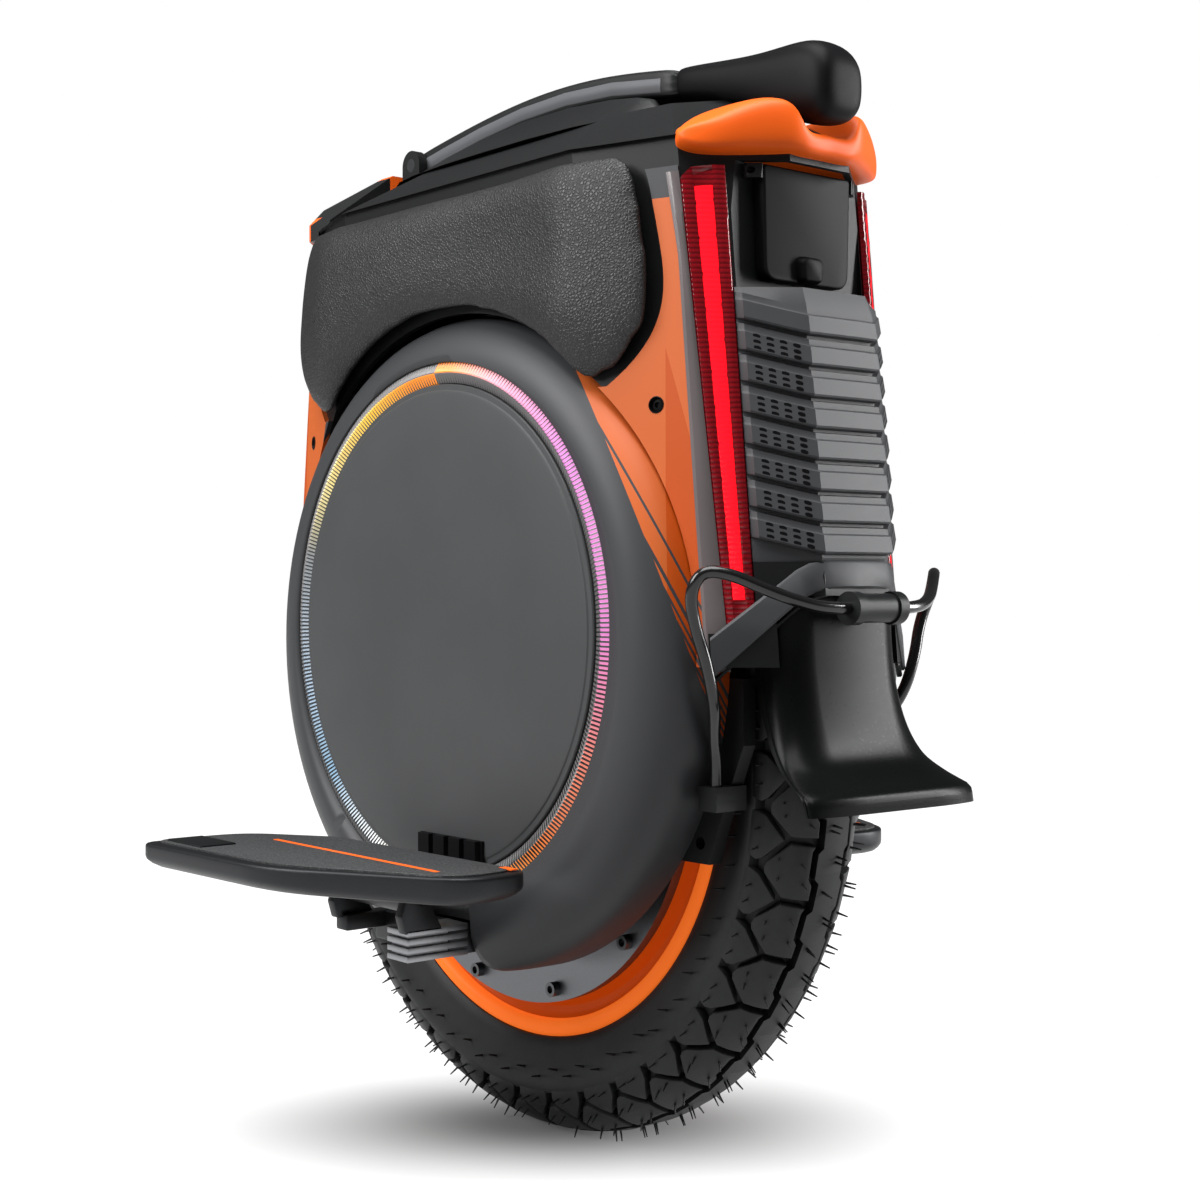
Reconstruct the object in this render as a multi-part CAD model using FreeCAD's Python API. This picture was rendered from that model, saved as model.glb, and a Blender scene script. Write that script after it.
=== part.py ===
import FreeCAD, Part
import math
import os

# Electric unicycle: one driven wheel in a tall body, folding pedals and a swing-up carrying handle.
# Millimetres. X points to the rider's right, Y forward, Z up. The origin is on the ground under the axle.

V = FreeCAD.Vector
ORIGIN = V(0, 0, 0)
X_AXIS = V(1, 0, 0)
Y_AXIS = V(0, 1, 0)
Z_AXIS = V(0, 0, 1)
FULL_TURN = 360.0
HEXAGON_SIDES = 6
BOTH_SIDES = (1, -1)

# Fits
OVERRUN = 5.0
SEAT_GAP = 0.3
PANEL_GAP = 0.5
PIN_CLEARANCE = 0.05

# Tyre
TYRE_RADIUS = 216.0
AXLE_Z = TYRE_RADIUS
TYRE_TOP_Z = AXLE_Z + TYRE_RADIUS
TYRE_HALF_WIDTH = 33.0
SIDEWALL_DROP = 31.0
SIDEWALL_RADIUS = TYRE_RADIUS - SIDEWALL_DROP
TREAD_HALF_WIDTH = 31.0
SHOULDER_DROP = 12.5
TREAD_DEPTH = 6.0
GROOVE_WIDTH = 9.0
GROOVE_SLANT_DEG = 24.0
GROOVE_COUNT = 34
CENTRE_RIB_HALF_WIDTH = 5.0
TUBE_SECTION_RADIUS = 23.5
TUBE_WALL = 2.0
BEAD_BASE = 2.0
BEAD_SLOT_HALF_WIDTH = 9.0

# Rim and hub motor
TYRE_SECTION_HEIGHT = 55.5
RIM_FLANGE_RADIUS = TYRE_RADIUS - TYRE_SECTION_HEIGHT
RIM_FLANGE_HEIGHT = 8.0
BEAD_RADIUS = RIM_FLANGE_RADIUS - RIM_FLANGE_HEIGHT
RIM_HALF_WIDTH = 25.0
RIM_FLANGE_WALL = 4.0
RIM_WELL_HALF_WIDTH = 12.0
RIM_WELL_DEPTH = 5.0
RIM_DISH_DEPTH = 4.0
RIM_LIP_HEIGHT = 5.5
RIM_DISH_OUTER_RADIUS = RIM_FLANGE_RADIUS - RIM_LIP_HEIGHT
RIM_DISH_WIDTH = 10.0
RIM_DISH_INNER_RADIUS = RIM_DISH_OUTER_RADIUS - RIM_DISH_WIDTH
MAGNET_THICKNESS = 5.0
AIR_GAP = 1.0
STATOR_HALF_WIDTH = 15.0
STATOR_WEB_COUNT = 6
STATOR_HUB_RADIUS = 30.0
STATOR_WEB_WIDTH = 16.0
WINDING_HEIGHT = 5.0
WINDING_SETBACK = 4.0
RIM_STEP = 4.0
MOTOR_COVER_RADIUS = RIM_DISH_INNER_RADIUS - RIM_STEP
MOTOR_COVER_WALL = 6.0
MOTOR_BOSS_RADIUS = 45.0
MOTOR_BOSS_HEIGHT = 6.0
COVER_SCREW_MARGIN = 7.0
COVER_SCREW_CIRCLE = MOTOR_COVER_RADIUS - COVER_SCREW_MARGIN
ROTOR_RIM_DEPTH = 22.0
ROTOR_INNER_RADIUS = COVER_SCREW_CIRCLE - ROTOR_RIM_DEPTH
STATOR_DEPTH = 38.0
STATOR_BACK_RADIUS = ROTOR_INNER_RADIUS - STATOR_DEPTH
COVER_SCREW_COUNT = 12
COVER_SCREW_HEAD_RADIUS = 4.0
COVER_SCREW_HEAD_HEIGHT = 4.5
COVER_SCREW_SOCKET_RADIUS = 2.2
COVER_SCREW_SOCKET_DEPTH = 2.5
BEARING_WIDTH = 12.0
BEARING_RADIUS = 23.5
AXLE_RADIUS = 10.0
AXLE_CORE_RADIUS = 14.0
AXLE_CORE_HALF_LENGTH = 22.0
AXLE_END_LENGTH = 12.0
AXLE_NUT_RADIUS = 15.0
AXLE_NUT_HEIGHT = 9.0
VALVE_RADIUS = 3.5
VALVE_LENGTH = 14.0
VALVE_ANGLE_DEG = 200.0

# Hangers that join the axle to the body
HANGER_X = 44.0
HANGER_WALL = 6.0
HANGER_FOOT_HALF_WIDTH = 30.0
HANGER_WAIST_HALF_WIDTH = 44.0
HANGER_HEAD_HALF_WIDTH = 34.0

# Body, seen from above a sixteen sided barrel that leans in towards the top
BODY_MID_Y = -7.4
BODY_BOTTOM_RISE = 54.0
BODY_BOTTOM_Z = AXLE_Z + BODY_BOTTOM_RISE
BODY_TOP_RISE = 94.0
BODY_TOP_Z = TYRE_TOP_Z + BODY_TOP_RISE
BODY_OVERHANG = 5.6
BODY_HALF_LENGTH = TYRE_RADIUS + BODY_OVERHANG
BODY_REAR_Y = BODY_MID_Y - BODY_HALF_LENGTH
BODY_FRONT_Y = BODY_MID_Y + BODY_HALF_LENGTH
BODY_LEAN = 25.0
REAR_FLAT_HALF_WIDTH = 22.0
LAMP_INNER_HALF_WIDTH = 48.0
LAMP_OUTER_HALF_WIDTH = 66.5
BODY_HALF_WIDTH = 86.0
LAMP_INNER_SETBACK = 20.0
LAMP_OUTER_SETBACK = 34.0
FLANK_SETBACK = 92.0
SKIN = 3.0
SHELL_WALL = 3.5
DECK_RISE = 13.0
DECK_Z = TYRE_TOP_Z + DECK_RISE
DECK_WALL = 4.0
WHEEL_CLEARANCE = 6.0
ARCH_WALL = 3.0
ARCH_FOOT_RISE = 65.0
ARCH_FOOT_Z = BODY_BOTTOM_Z + ARCH_FOOT_RISE

# Round side covers with their lit ring and plain disc
COVER_Y = -9.0
COVER_RISE = 61.0
COVER_Z = AXLE_Z + COVER_RISE
COVER_SHORTFALL = 38.0
COVER_RADIUS = TYRE_RADIUS - COVER_SHORTFALL
COVER_TOP_Z = COVER_Z + COVER_RADIUS
COVER_BOTTOM_Z = COVER_Z - COVER_RADIUS
COVER_REAR_Y = COVER_Y - COVER_RADIUS
COVER_INNER_X = 46.0
COVER_WALL_X = 68.0
COVER_SHOULDER_X = 81.0
COVER_EDGE_X = 88.5
COVER_FACE_X = 92.0
COVER_SHOULDER_DROP = 4.5
COVER_EDGE_DROP = 13.5
COVER_FACE_MARGIN = 25.5
COVER_FACE_RADIUS = COVER_RADIUS - COVER_FACE_MARGIN
COVER_WALL = 3.0
RING_Y = -7.4
RING_RISE = 8.7
RING_Z = COVER_Z + RING_RISE
RING_MARGIN = 9.0
RING_OUTER_RADIUS = COVER_FACE_RADIUS - RING_MARGIN
RING_WIDTH = 11.5
RING_INNER_RADIUS = RING_OUTER_RADIUS - RING_WIDTH
RING_PROUD = 1.4
DISC_PROUD = 1.0
DISC_BEVEL = 5.0
RING_SEAT_DEPTH = 3.0

# Knee pads
PAD_PROUD = 9.0
PAD_EDGE_PROUD = 2.5
PAD_WRAP = 48.0
PAD_BOTTOM_Z = COVER_TOP_Z - PAD_WRAP
PAD_TOP_GAP = 0.5
PAD_TOP_Z = BODY_TOP_Z - PAD_TOP_GAP
PAD_END_SETBACK = 64.6
PAD_HALF_LENGTH = BODY_HALF_LENGTH - PAD_END_SETBACK
PAD_ARC_SETBACK = 2.0
PAD_ARC_RADIUS = COVER_RADIUS - PAD_ARC_SETBACK
PAD_LEVEL_SHARES = (0.0, 0.13, 0.32, 0.62, 0.88, 1.0)
PAD_LENGTH_SHARES = (0.82, 0.93, 1.0, 0.98, 0.93, 0.86)
PAD_CROWN_SHARES = (0.0, 0.62, 1.0, 1.0, 0.66, 0.0)

# Rear panel, lamps, arch and mudguard
RIB_COUNT = 8
RIB_BOTTOM_RISE = 52.0
RIB_BOTTOM_Z = BODY_BOTTOM_Z + RIB_BOTTOM_RISE
RIB_TOP_GAP = 10.0
RIB_PROUD = 5.0
RIB_RISE = 8.0
RIB_SINK = 0.5
RIB_END_GAP = 1.0
LAMP_BOTTOM_RISE = 16.0
LAMP_BOTTOM_Z = BODY_BOTTOM_Z + LAMP_BOTTOM_RISE
LAMP_TOP_DROP = 15.0
LAMP_TOP_Z = BODY_TOP_Z - LAMP_TOP_DROP
LAMP_PROUD = 1.0
REAR_ARCH_HEIGHT = 50.0
REAR_ARCH_TOP_Z = BODY_BOTTOM_Z + REAR_ARCH_HEIGHT
REAR_ARCH_GAP_HALF_WIDTH = 42.0
REAR_ARCH_GAP_HEIGHT = 34.0
REAR_ARCH_GAP_Z = BODY_BOTTOM_Z + REAR_ARCH_GAP_HEIGHT
REAR_ARCH_PROUD = 2.0
GUARD_WALL = 3.0
GUARD_REACH = 27.0
GUARD_LIP_Y = BODY_REAR_Y - GUARD_REACH
GUARD_LIP_DROP = 13.0
GUARD_LIP_Z = AXLE_Z - GUARD_LIP_DROP
GUARD_TOP_SETBACK = 8.0
GUARD_TOP_Y = BODY_REAR_Y + GUARD_TOP_SETBACK
GUARD_LIP_HALF_WIDTH = 58.0
GUARD_FLAT_HALF_WIDTH = 26.0
GUARD_SIDE_SETBACK = 16.0
GUARD_LIP_SETBACK = 5.0
GUARD_LEVEL_SHARES = (0.0, 0.05, 0.15, 0.4, 0.66, 1.0)
GUARD_REACH_SHARES = (1.0, 0.86, 0.55, 0.2, 0.06, 0.0)
GUARD_SPREAD_SHARES = (1.0, 1.0, 0.98, 0.85, 0.0, 0.0)

# Recess for the charge port and its flap
RECESS_HALF_WIDTH = 45.0
RECESS_BOTTOM_DROP = 74.0
RECESS_BOTTOM_Z = BODY_TOP_Z - RECESS_BOTTOM_DROP
RECESS_TOP_DROP = 12.0
RECESS_TOP_Z = BODY_TOP_Z - RECESS_TOP_DROP
RECESS_SETBACK = 43.0
RECESS_Y = BODY_REAR_Y + RECESS_SETBACK
RIB_PITCH = (RECESS_BOTTOM_Z - RIB_TOP_GAP - RIB_BOTTOM_Z) / RIB_COUNT
RECESS_WALL = 4.0
FLAP_HALF_WIDTH = 31.0
FLAP_BOTTOM_GAP = 5.0
FLAP_BOTTOM_Z = RECESS_BOTTOM_Z + FLAP_BOTTOM_GAP
FLAP_THICKNESS = 7.0
FLAP_GAP = 1.0
FLAP_TAB_HALF_WIDTH = 9.0
FLAP_TAB_HEIGHT = 14.0
FLAP_TAB_PROUD = 5.0
FLAP_PIN_RADIUS = 1.6
FLAP_EAR_WIDTH = 6.0
CHARGE_PORT_RADIUS = 11.0
CHARGE_PORT_DEPTH = 22.0
CHARGE_PORT_BORE = 8.0
CHARGE_PORT_RISE = 34.0
CHARGE_PORT_Z = RECESS_BOTTOM_Z + CHARGE_PORT_RISE

# Corner panels
PANEL_SCREW_RADIUS = 4.0
PANEL_SCREW_MARGIN = 18.2065
PANEL_SCREW_CIRCLE = COVER_RADIUS + PANEL_SCREW_MARGIN
PANEL_SCREW_ANGLE_DEG = 37.3371
PANEL_SCREW_REACH = PANEL_SCREW_CIRCLE * math.cos(math.radians(PANEL_SCREW_ANGLE_DEG))
PANEL_SCREW_Z = COVER_Z + PANEL_SCREW_CIRCLE * math.sin(math.radians(PANEL_SCREW_ANGLE_DEG))

# Top cover, tail rest, nose and front
TOP_COVER_RISE = 30.0
TOP_COVER_WALL = 3.0
TOP_COVER_WIDTH_SHARE = 0.42
TOP_COVER_LENGTH_SHARE = 0.72
TAIL_PROUD = 6.0
TAIL_DEPTH = 79.0
TAIL_FRONT_Y = BODY_REAR_Y + TAIL_DEPTH
TAIL_BOTTOM_DROP = 10.0
TAIL_BOTTOM_Z = BODY_TOP_Z - TAIL_BOTTOM_DROP
TAIL_BELLY_HALF_WIDTH = 46.0
TAIL_TIP_HALF_WIDTH = 68.0
TAIL_TIP_DROP = 5.0
TAIL_TIP_LOW_Z = BODY_TOP_Z - TAIL_TIP_DROP
TAIL_TIP_RISE = 5.0
TAIL_TIP_TOP_Z = BODY_TOP_Z + TAIL_TIP_RISE
TAIL_HORN_RISE = 20.0
TAIL_HORN_Z = BODY_TOP_Z + TAIL_HORN_RISE
TAIL_HORN_OUTER = 34.0
TAIL_HORN_INNER = 20.0
TAIL_NOTCH_HALF_WIDTH = 18.0
TAIL_NOTCH_RISE = 4.7
TAIL_NOTCH_Z = BODY_TOP_Z + TAIL_NOTCH_RISE
NOSE_DEPTH = 76.2
NOSE_REAR_Y = BODY_FRONT_Y - NOSE_DEPTH
NOSE_CREST_SETBACK = 64.2
NOSE_CREST_Y = BODY_FRONT_Y - NOSE_CREST_SETBACK
NOSE_HEIGHT = 38.0
NOSE_TOP_Z = BODY_TOP_Z + NOSE_HEIGHT
NOSE_TOP_HALF_WIDTH = 22.0
NOSE_LIP_RISE = 6.0
NOSE_LIP_Z = BODY_TOP_Z + NOSE_LIP_RISE
FRONT_PANEL_RISE = 30.0
FRONT_PANEL_BOTTOM_Z = BODY_BOTTOM_Z + FRONT_PANEL_RISE
HEADLAMP_HALF_WIDTH = 19.0
HEADLAMP_BOTTOM_DROP = 64.0
HEADLAMP_BOTTOM_Z = BODY_TOP_Z - HEADLAMP_BOTTOM_DROP
HEADLAMP_TOP_DROP = 28.0
HEADLAMP_TOP_Z = BODY_TOP_Z - HEADLAMP_TOP_DROP
HEADLAMP_PROUD = 2.0
DISPLAY_HALF_WIDTH = 17.0
DISPLAY_REAR_Y = -40.0
DISPLAY_FRONT_Y = 30.0
DISPLAY_THICKNESS = 2.0
BUTTON_RADIUS = 7.0
BUTTON_GAP = 0.4
BUTTON_Y = 70.0
BUTTON_PROUD = 3.0
BUTTON_FLANGE_RADIUS = 9.5
BUTTON_FLANGE_WALL = 2.5

# Carrying handle
PIVOT_SETBACK = 92.2
PIVOT_Y = BODY_FRONT_Y - PIVOT_SETBACK
PIVOT_RISE = 42.0
PIVOT_Z = BODY_TOP_Z + PIVOT_RISE
PIVOT_PIN_RADIUS = 4.0
KNUCKLE_RADIUS = 9.0
EAR_WALL = 6.0
EAR_GAP = 0.5
HANDLE_HALF_WIDTH = 13.0
HANDLE_THICKNESS = 15.0
HANDLE_CREST_RISE = 15.0
HANDLE_CREST_Z = PIVOT_Z + HANDLE_CREST_RISE
HANDLE_REAR_RISE = 4.0
HANDLE_REAR_Z = PIVOT_Z + HANDLE_REAR_RISE
GRIP_SETBACK = 9.0
GRIP_REAR_Y = BODY_REAR_Y + GRIP_SETBACK
GRIP_LENGTH = 108.0
GRIP_FRONT_Y = GRIP_REAR_Y + GRIP_LENGTH
GRIP_TOP_RISE = 13.0
GRIP_TOP_Z = PIVOT_Z + GRIP_TOP_RISE
GRIP_SEAT_GAP = 0.5
GRIP_BOTTOM_Z = TAIL_NOTCH_Z + GRIP_SEAT_GAP
GRIP_HALF_WIDTH = 17.0
GRIP_OUTLINE_SHARES = (
    (0.0, 1.0), (0.4, 0.97), (0.7, 0.83), (0.92, 0.53), (1.0, 0.28), (0.95, 0.08),
    (0.85, 0.0), (0.75, 0.1), (0.67, 0.38), (0.4, 0.6), (0.0, 0.66),
)

# Pedals and their brackets
PEDAL_INNER_X = 109.0
PEDAL_OUTER_X = 210.0
PEDAL_REAR_Y = -117.0
PEDAL_FRONT_Y = 110.0
PEDAL_RISE = 69.0
PEDAL_TOP_Z = COVER_BOTTOM_Z + PEDAL_RISE
PEDAL_RIM_HEIGHT = 8.0
PEDAL_THICKNESS = 14.0
PEDAL_BELLY_INSET = 10.0
PEDAL_OUTLINE_SHARES = ((0.0, 0.02), (0.41, 0.0), (0.95, 0.43), (1.0, 0.99), (0.4, 0.975), (0.04, 0.75))
PEDAL_RADIUS_SHARES = (0.14, 0.35, 1.09, 0.08, 0.4, 0.3)
PEDAL_BELLY_RADIUS_SHARE = 0.5
PEDAL_DECK_INSET = 6.0
PEDAL_DECK_RADIUS_SHARE = 0.6
PEDAL_DECK_WALL = 1.2
PEDAL_PIVOT_X = 122.0
PEDAL_PIVOT_DROP = 22.0
PEDAL_PIVOT_Z = PEDAL_TOP_Z - PEDAL_PIVOT_DROP
PEDAL_KNUCKLE_RADIUS = 9.0
PEDAL_KNUCKLE_HALF_LENGTH = 28.0
PEDAL_PIN_RADIUS = 4.0
BRACKET_HALF_WIDTH = 36.0
BRACKET_GAP = 1.5
HANGER_FOOT_RISE = 13.0
HANGER_FOOT_Z = COVER_BOTTOM_Z + HANGER_FOOT_RISE
BRACKET_RISE = 1.0
BRACKET_BOTTOM_Z = HANGER_FOOT_Z + BRACKET_RISE
BRACKET_HEIGHT = 17.0
BRACKET_TOP_Z = BRACKET_BOTTOM_Z + BRACKET_HEIGHT
BRACKET_END_X = 131.0
BRACKET_EAR_RADIUS = 7.0
BRACKET_RIB_COUNT = 3
BRACKET_RIB_DEPTH = 3.0
BUMPER_REAR_Y = -52.0
BUMPER_FRONT_Y = 4.0
BUMPER_RING_GAP = 10.3
BUMPER_BOTTOM_Z = RING_Z - RING_INNER_RADIUS + BUMPER_RING_GAP
BUMPER_HEIGHT = 11.0
BUMPER_TOP_Z = BUMPER_BOTTOM_Z + BUMPER_HEIGHT
BUMPER_BASE = 2.0
BUMPER_PROUD = 5.0
BUMPER_COUNT = 4
BUMPER_HUMP_SHARE = 0.7

# Batteries and electronics
BATTERY_END_SETBACK = 78.0
BATTERY_HALF_LENGTH = COVER_RADIUS - BATTERY_END_SETBACK
BATTERY_BOTTOM_DROP = 31.0
BATTERY_BOTTOM_Z = COVER_Z - BATTERY_BOTTOM_DROP
BATTERY_TOP_DROP = 47.0
BATTERY_TOP_Z = COVER_TOP_Z - BATTERY_TOP_DROP
BATTERY_GAP = 6.5
SINK_HALF_WIDTH = 38.0
SINK_REAR_Y = -90.0
SINK_FRONT_Y = 70.0
SINK_HEIGHT = 20.0
BOARD_THICKNESS = 3.0
BOARD_MARGIN = 4.0

# Lead behind the wheel: two cables from an in-line connector to a bracket on each side
CABLE_RADIUS = 3.0
CABLE_CORNER_SHARE = 0.45
CONNECTOR_HALF_LENGTH = 17.5
CONNECTOR_RADIUS = 7.0
CONNECTOR_COLLAR_RADIUS = 8.0
CONNECTOR_COLLAR_LENGTH = 6.0
CONNECTOR_REACH = 8.0
CONNECTOR_Y = BODY_REAR_Y - CONNECTOR_REACH
CONNECTOR_RISE = 28.0
CONNECTOR_Z = BODY_BOTTOM_Z + CONNECTOR_RISE
CABLE_BRACKET_INNER_X = 38.0
CABLE_BRACKET_DROP = 44.0
CABLE_BRACKET_BOTTOM_Z = AXLE_Z - CABLE_BRACKET_DROP
CABLE_BRACKET_RISE = 48.0
CABLE_BRACKET_TOP_Z = AXLE_Z + CABLE_BRACKET_RISE
CABLE_BRACKET_DEPTH = 53.0
CABLE_BRACKET_FRONT_Y = COVER_REAR_Y + CABLE_BRACKET_DEPTH
CABLE_BRACKET_REACH = 9.0
CABLE_BRACKET_REAR_Y = COVER_REAR_Y - CABLE_BRACKET_REACH
CABLE_BRACKET_SHARES = (
    (0.0, 0.0), (0.62, 0.0), (0.72, 0.2), (1.0, 0.65), (1.0, 1.0), (0.7, 1.0), (0.58, 0.58), (0.22, 0.28),
)
BRACKET_HOLE_RADIUS = 3.2
BRACKET_HOLE_SETBACK = 21.0
BRACKET_HOLE_Y = COVER_REAR_Y + BRACKET_HOLE_SETBACK
BRACKET_HOLE_DROP = 34.0
BRACKET_HOLE_Z = AXLE_Z - BRACKET_HOLE_DROP
CABLE_BOSS_LENGTH = 12.0
CABLE_BOSS_REACH = 3.0
CABLE_BOSS_REAR_Y = COVER_REAR_Y - CABLE_BOSS_REACH
CABLE_BOSS_DEPTH = 9.5
CABLE_BOSS_FRONT_Y = COVER_REAR_Y + CABLE_BOSS_DEPTH
CABLE_BOSS_BOTTOM_DROP = 16.0
CABLE_BOSS_BOTTOM_Z = AXLE_Z - CABLE_BOSS_BOTTOM_DROP
CABLE_BOSS_TOP_DROP = 4.0
CABLE_BOSS_TOP_Z = AXLE_Z - CABLE_BOSS_TOP_DROP


def box(x0, x1, y0, y1, z0, z1):
    """Box between two corners."""
    return Part.makeBox(x1 - x0, y1 - y0, z1 - z0, V(x0, y0, z0))


def cylinder_x(radius, x0, x1, y, z):
    """Cylinder along X."""
    return Part.makeCylinder(radius, x1 - x0, V(x0, y, z), X_AXIS)


def tube_x(outer, inner, x0, x1, y, z):
    """Tube along X."""
    return cylinder_x(outer, x0, x1, y, z).cut(cylinder_x(inner, x0 - OVERRUN, x1 + OVERRUN, y, z))


def cylinder_y(radius, y0, y1, x, z):
    """Cylinder along Y."""
    return Part.makeCylinder(radius, y1 - y0, V(x, y0, z), Y_AXIS)


def closed_wire(points):
    """Closed wire through points."""
    return Part.makePolygon(list(points) + [points[0]])


def rounded_wire(points, radii):
    """Closed wire whose corners are arcs of the given radii."""
    edges = []
    starts = []
    ends = []
    mids = []
    count = len(points)
    for i in range(count):
        here = points[i]
        back = (points[i - 1] - here).normalize()
        ahead = (points[(i + 1) % count] - here).normalize()
        half = back.getAngle(ahead) / 2
        reach = radii[i] / math.tan(half)
        bisector = (back + ahead).normalize()
        centre = here + bisector * (radii[i] / math.sin(half))
        starts.append(here + back * reach)
        ends.append(here + ahead * reach)
        mids.append(centre - bisector * radii[i])
    for i in range(count):
        edges.append(Part.Arc(starts[i], mids[i], ends[i]).toShape())
        edges.append(Part.LineSegment(ends[i], starts[(i + 1) % count]).toShape())
    return Part.Wire(edges)


def prism(wire, direction):
    """Solid swept from a flat wire along a direction."""
    return Part.Face(wire).extrude(direction)


def prism_x(outline, x0, x1):
    """Solid with an outline of (y, z) points between two X planes."""
    return prism(closed_wire([V(x0, y, z) for y, z in outline]), X_AXIS * (x1 - x0))


def prism_y(outline, y0, y1):
    """Solid with an outline of (x, z) points between two Y planes."""
    return prism(closed_wire([V(x, y0, z) for x, z in outline]), Y_AXIS * (y1 - y0))


def prism_z(outline, z0, z1):
    """Solid with an outline of (x, y) points between two Z planes."""
    return prism(closed_wire([V(x, y, z0) for x, y in outline]), Z_AXIS * (z1 - z0))


def ring_x(profile, y, z):
    """Body of revolution about an X axis, from a closed outline of (x, radius) points."""
    wire = closed_wire([V(x, y, z + r) for x, r in profile])
    return Part.Face(wire).revolve(V(0, y, z), X_AXIS, FULL_TURN)


def loft(wires, ruled=True):
    """Solid through a row of closed wires."""
    return Part.makeLoft(wires, True, ruled)


def mirrored(shape):
    """The same piece on the other side of the body."""
    return shape.mirror(ORIGIN, X_AXIS)


def on_side(shape, side):
    """A piece drawn on the right, for the side given by 1 or -1."""
    return shape if side > 0 else mirrored(shape)


def turned_x(shape, y, z, angle):
    """A copy turned about an X axis."""
    copy = shape.copy()
    copy.rotate(V(0, y, z), X_AXIS, angle)
    return copy


def joined(shapes):
    """One solid from pieces that touch or overlap."""
    return shapes[0].multiFuse(shapes[1:]).removeSplitter()


def group(shapes):
    """Separate solids in one node."""
    return Part.makeCompound(shapes)


def symmetric(half):
    """Outline completed by its mirror image about the middle plane, in order."""
    return half + [(-x, y) for x, y in reversed(half)]


def offset_outline(points, distance):
    """Convex outline of (x, y) points, counter-clockwise, moved outwards by a distance."""
    moved = []
    count = len(points)
    for i in range(count):
        before = V(points[i - 1][0], points[i - 1][1], 0)
        here = V(points[i][0], points[i][1], 0)
        after = V(points[(i + 1) % count][0], points[(i + 1) % count][1], 0)
        first = (here - before).normalize()
        second = (after - here).normalize()
        normal_a = V(first.y, -first.x, 0)
        normal_b = V(second.y, -second.x, 0)
        corner = (normal_a + normal_b).normalize()
        place = here + corner * (distance / corner.dot(normal_a))
        moved.append((place.x, place.y))
    return moved


# Wheel

BEAD_HALF_WIDTH = RIM_HALF_WIDTH - RIM_FLANGE_WALL
TUBE_CIRCLE_RADIUS = BEAD_RADIUS + BEAD_BASE + TUBE_SECTION_RADIUS


def ring_about_axle(section_radius, circle_radius):
    """Torus round the axle."""
    return Part.makeTorus(circle_radius, section_radius, V(0, 0, AXLE_Z), X_AXIS)


def tread_groove(side, index):
    """One slanted groove from the centre rib out past the shoulder."""
    floor = TYRE_RADIUS - TREAD_DEPTH
    reach = TREAD_HALF_WIDTH + OVERRUN
    outline = [
        (CENTRE_RIB_HALF_WIDTH, AXLE_Z + floor),
        (reach, AXLE_Z + floor - SHOULDER_DROP),
        (reach, AXLE_Z + TYRE_RADIUS + OVERRUN),
        (CENTRE_RIB_HALF_WIDTH, AXLE_Z + TYRE_RADIUS + OVERRUN),
    ]
    tool = prism_y(outline, -GROOVE_WIDTH / 2, GROOVE_WIDTH / 2)
    tool.rotate(V(CENTRE_RIB_HALF_WIDTH, 0, 0), Z_AXIS, GROOVE_SLANT_DEG)
    tool = on_side(tool, side)
    step = FULL_TURN / GROOVE_COUNT
    shift = 0 if side > 0 else step / 2
    return turned_x(tool, 0, AXLE_Z, index * step + shift)


def make_tyre():
    """Knobbly tyre, open between its beads, round the space of the tube."""
    half = [
        V(BEAD_HALF_WIDTH, 0, AXLE_Z + BEAD_RADIUS),
        V(BEAD_HALF_WIDTH, 0, AXLE_Z + RIM_FLANGE_RADIUS),
        V(TYRE_HALF_WIDTH, 0, AXLE_Z + SIDEWALL_RADIUS),
        V(TREAD_HALF_WIDTH, 0, AXLE_Z + TYRE_RADIUS - SHOULDER_DROP),
    ]
    other = [V(-p.x, p.y, p.z) for p in half]
    edges = [Part.LineSegment(a, b).toShape() for a, b in zip(half, half[1:])]
    edges.append(Part.Arc(half[-1], V(0, 0, AXLE_Z + TYRE_RADIUS), other[-1]).toShape())
    back = list(reversed(other))
    edges += [Part.LineSegment(a, b).toShape() for a, b in zip(back, back[1:])]
    edges.append(Part.LineSegment(other[0], half[0]).toShape())
    body = Part.Face(Part.Wire(edges)).revolve(V(0, 0, AXLE_Z), X_AXIS, FULL_TURN)
    body = body.cut(ring_about_axle(TUBE_SECTION_RADIUS, TUBE_CIRCLE_RADIUS))
    half = BEAD_SLOT_HALF_WIDTH
    slot = tube_x(TUBE_CIRCLE_RADIUS, BEAD_RADIUS - OVERRUN, -half, half, 0, AXLE_Z)
    body = body.cut(slot)
    grooves = [tread_groove(side, i) for side in BOTH_SIDES for i in range(GROOVE_COUNT)]
    return body.cut(group(grooves))


def make_inner_tube():
    """Air tube inside the tyre."""
    outer = TUBE_SECTION_RADIUS - SEAT_GAP
    bore = ring_about_axle(outer - TUBE_WALL, TUBE_CIRCLE_RADIUS)
    return ring_about_axle(outer, TUBE_CIRCLE_RADIUS).cut(bore)


def make_rim():
    """Dished rim that is also the rotor ring of the motor."""
    half = [
        (RIM_HALF_WIDTH, ROTOR_INNER_RADIUS),
        (RIM_HALF_WIDTH, MOTOR_COVER_RADIUS),
        (RIM_HALF_WIDTH - RIM_DISH_DEPTH, RIM_DISH_INNER_RADIUS),
        (RIM_HALF_WIDTH - RIM_DISH_DEPTH, RIM_DISH_INNER_RADIUS + RIM_DISH_DEPTH),
        (RIM_HALF_WIDTH, RIM_DISH_OUTER_RADIUS),
        (RIM_HALF_WIDTH, RIM_FLANGE_RADIUS),
        (BEAD_HALF_WIDTH, RIM_FLANGE_RADIUS),
        (BEAD_HALF_WIDTH, BEAD_RADIUS),
        (RIM_WELL_HALF_WIDTH, BEAD_RADIUS),
        (RIM_WELL_HALF_WIDTH, BEAD_RADIUS - RIM_WELL_DEPTH),
    ]
    return ring_x(symmetric(half), 0, AXLE_Z)


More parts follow.
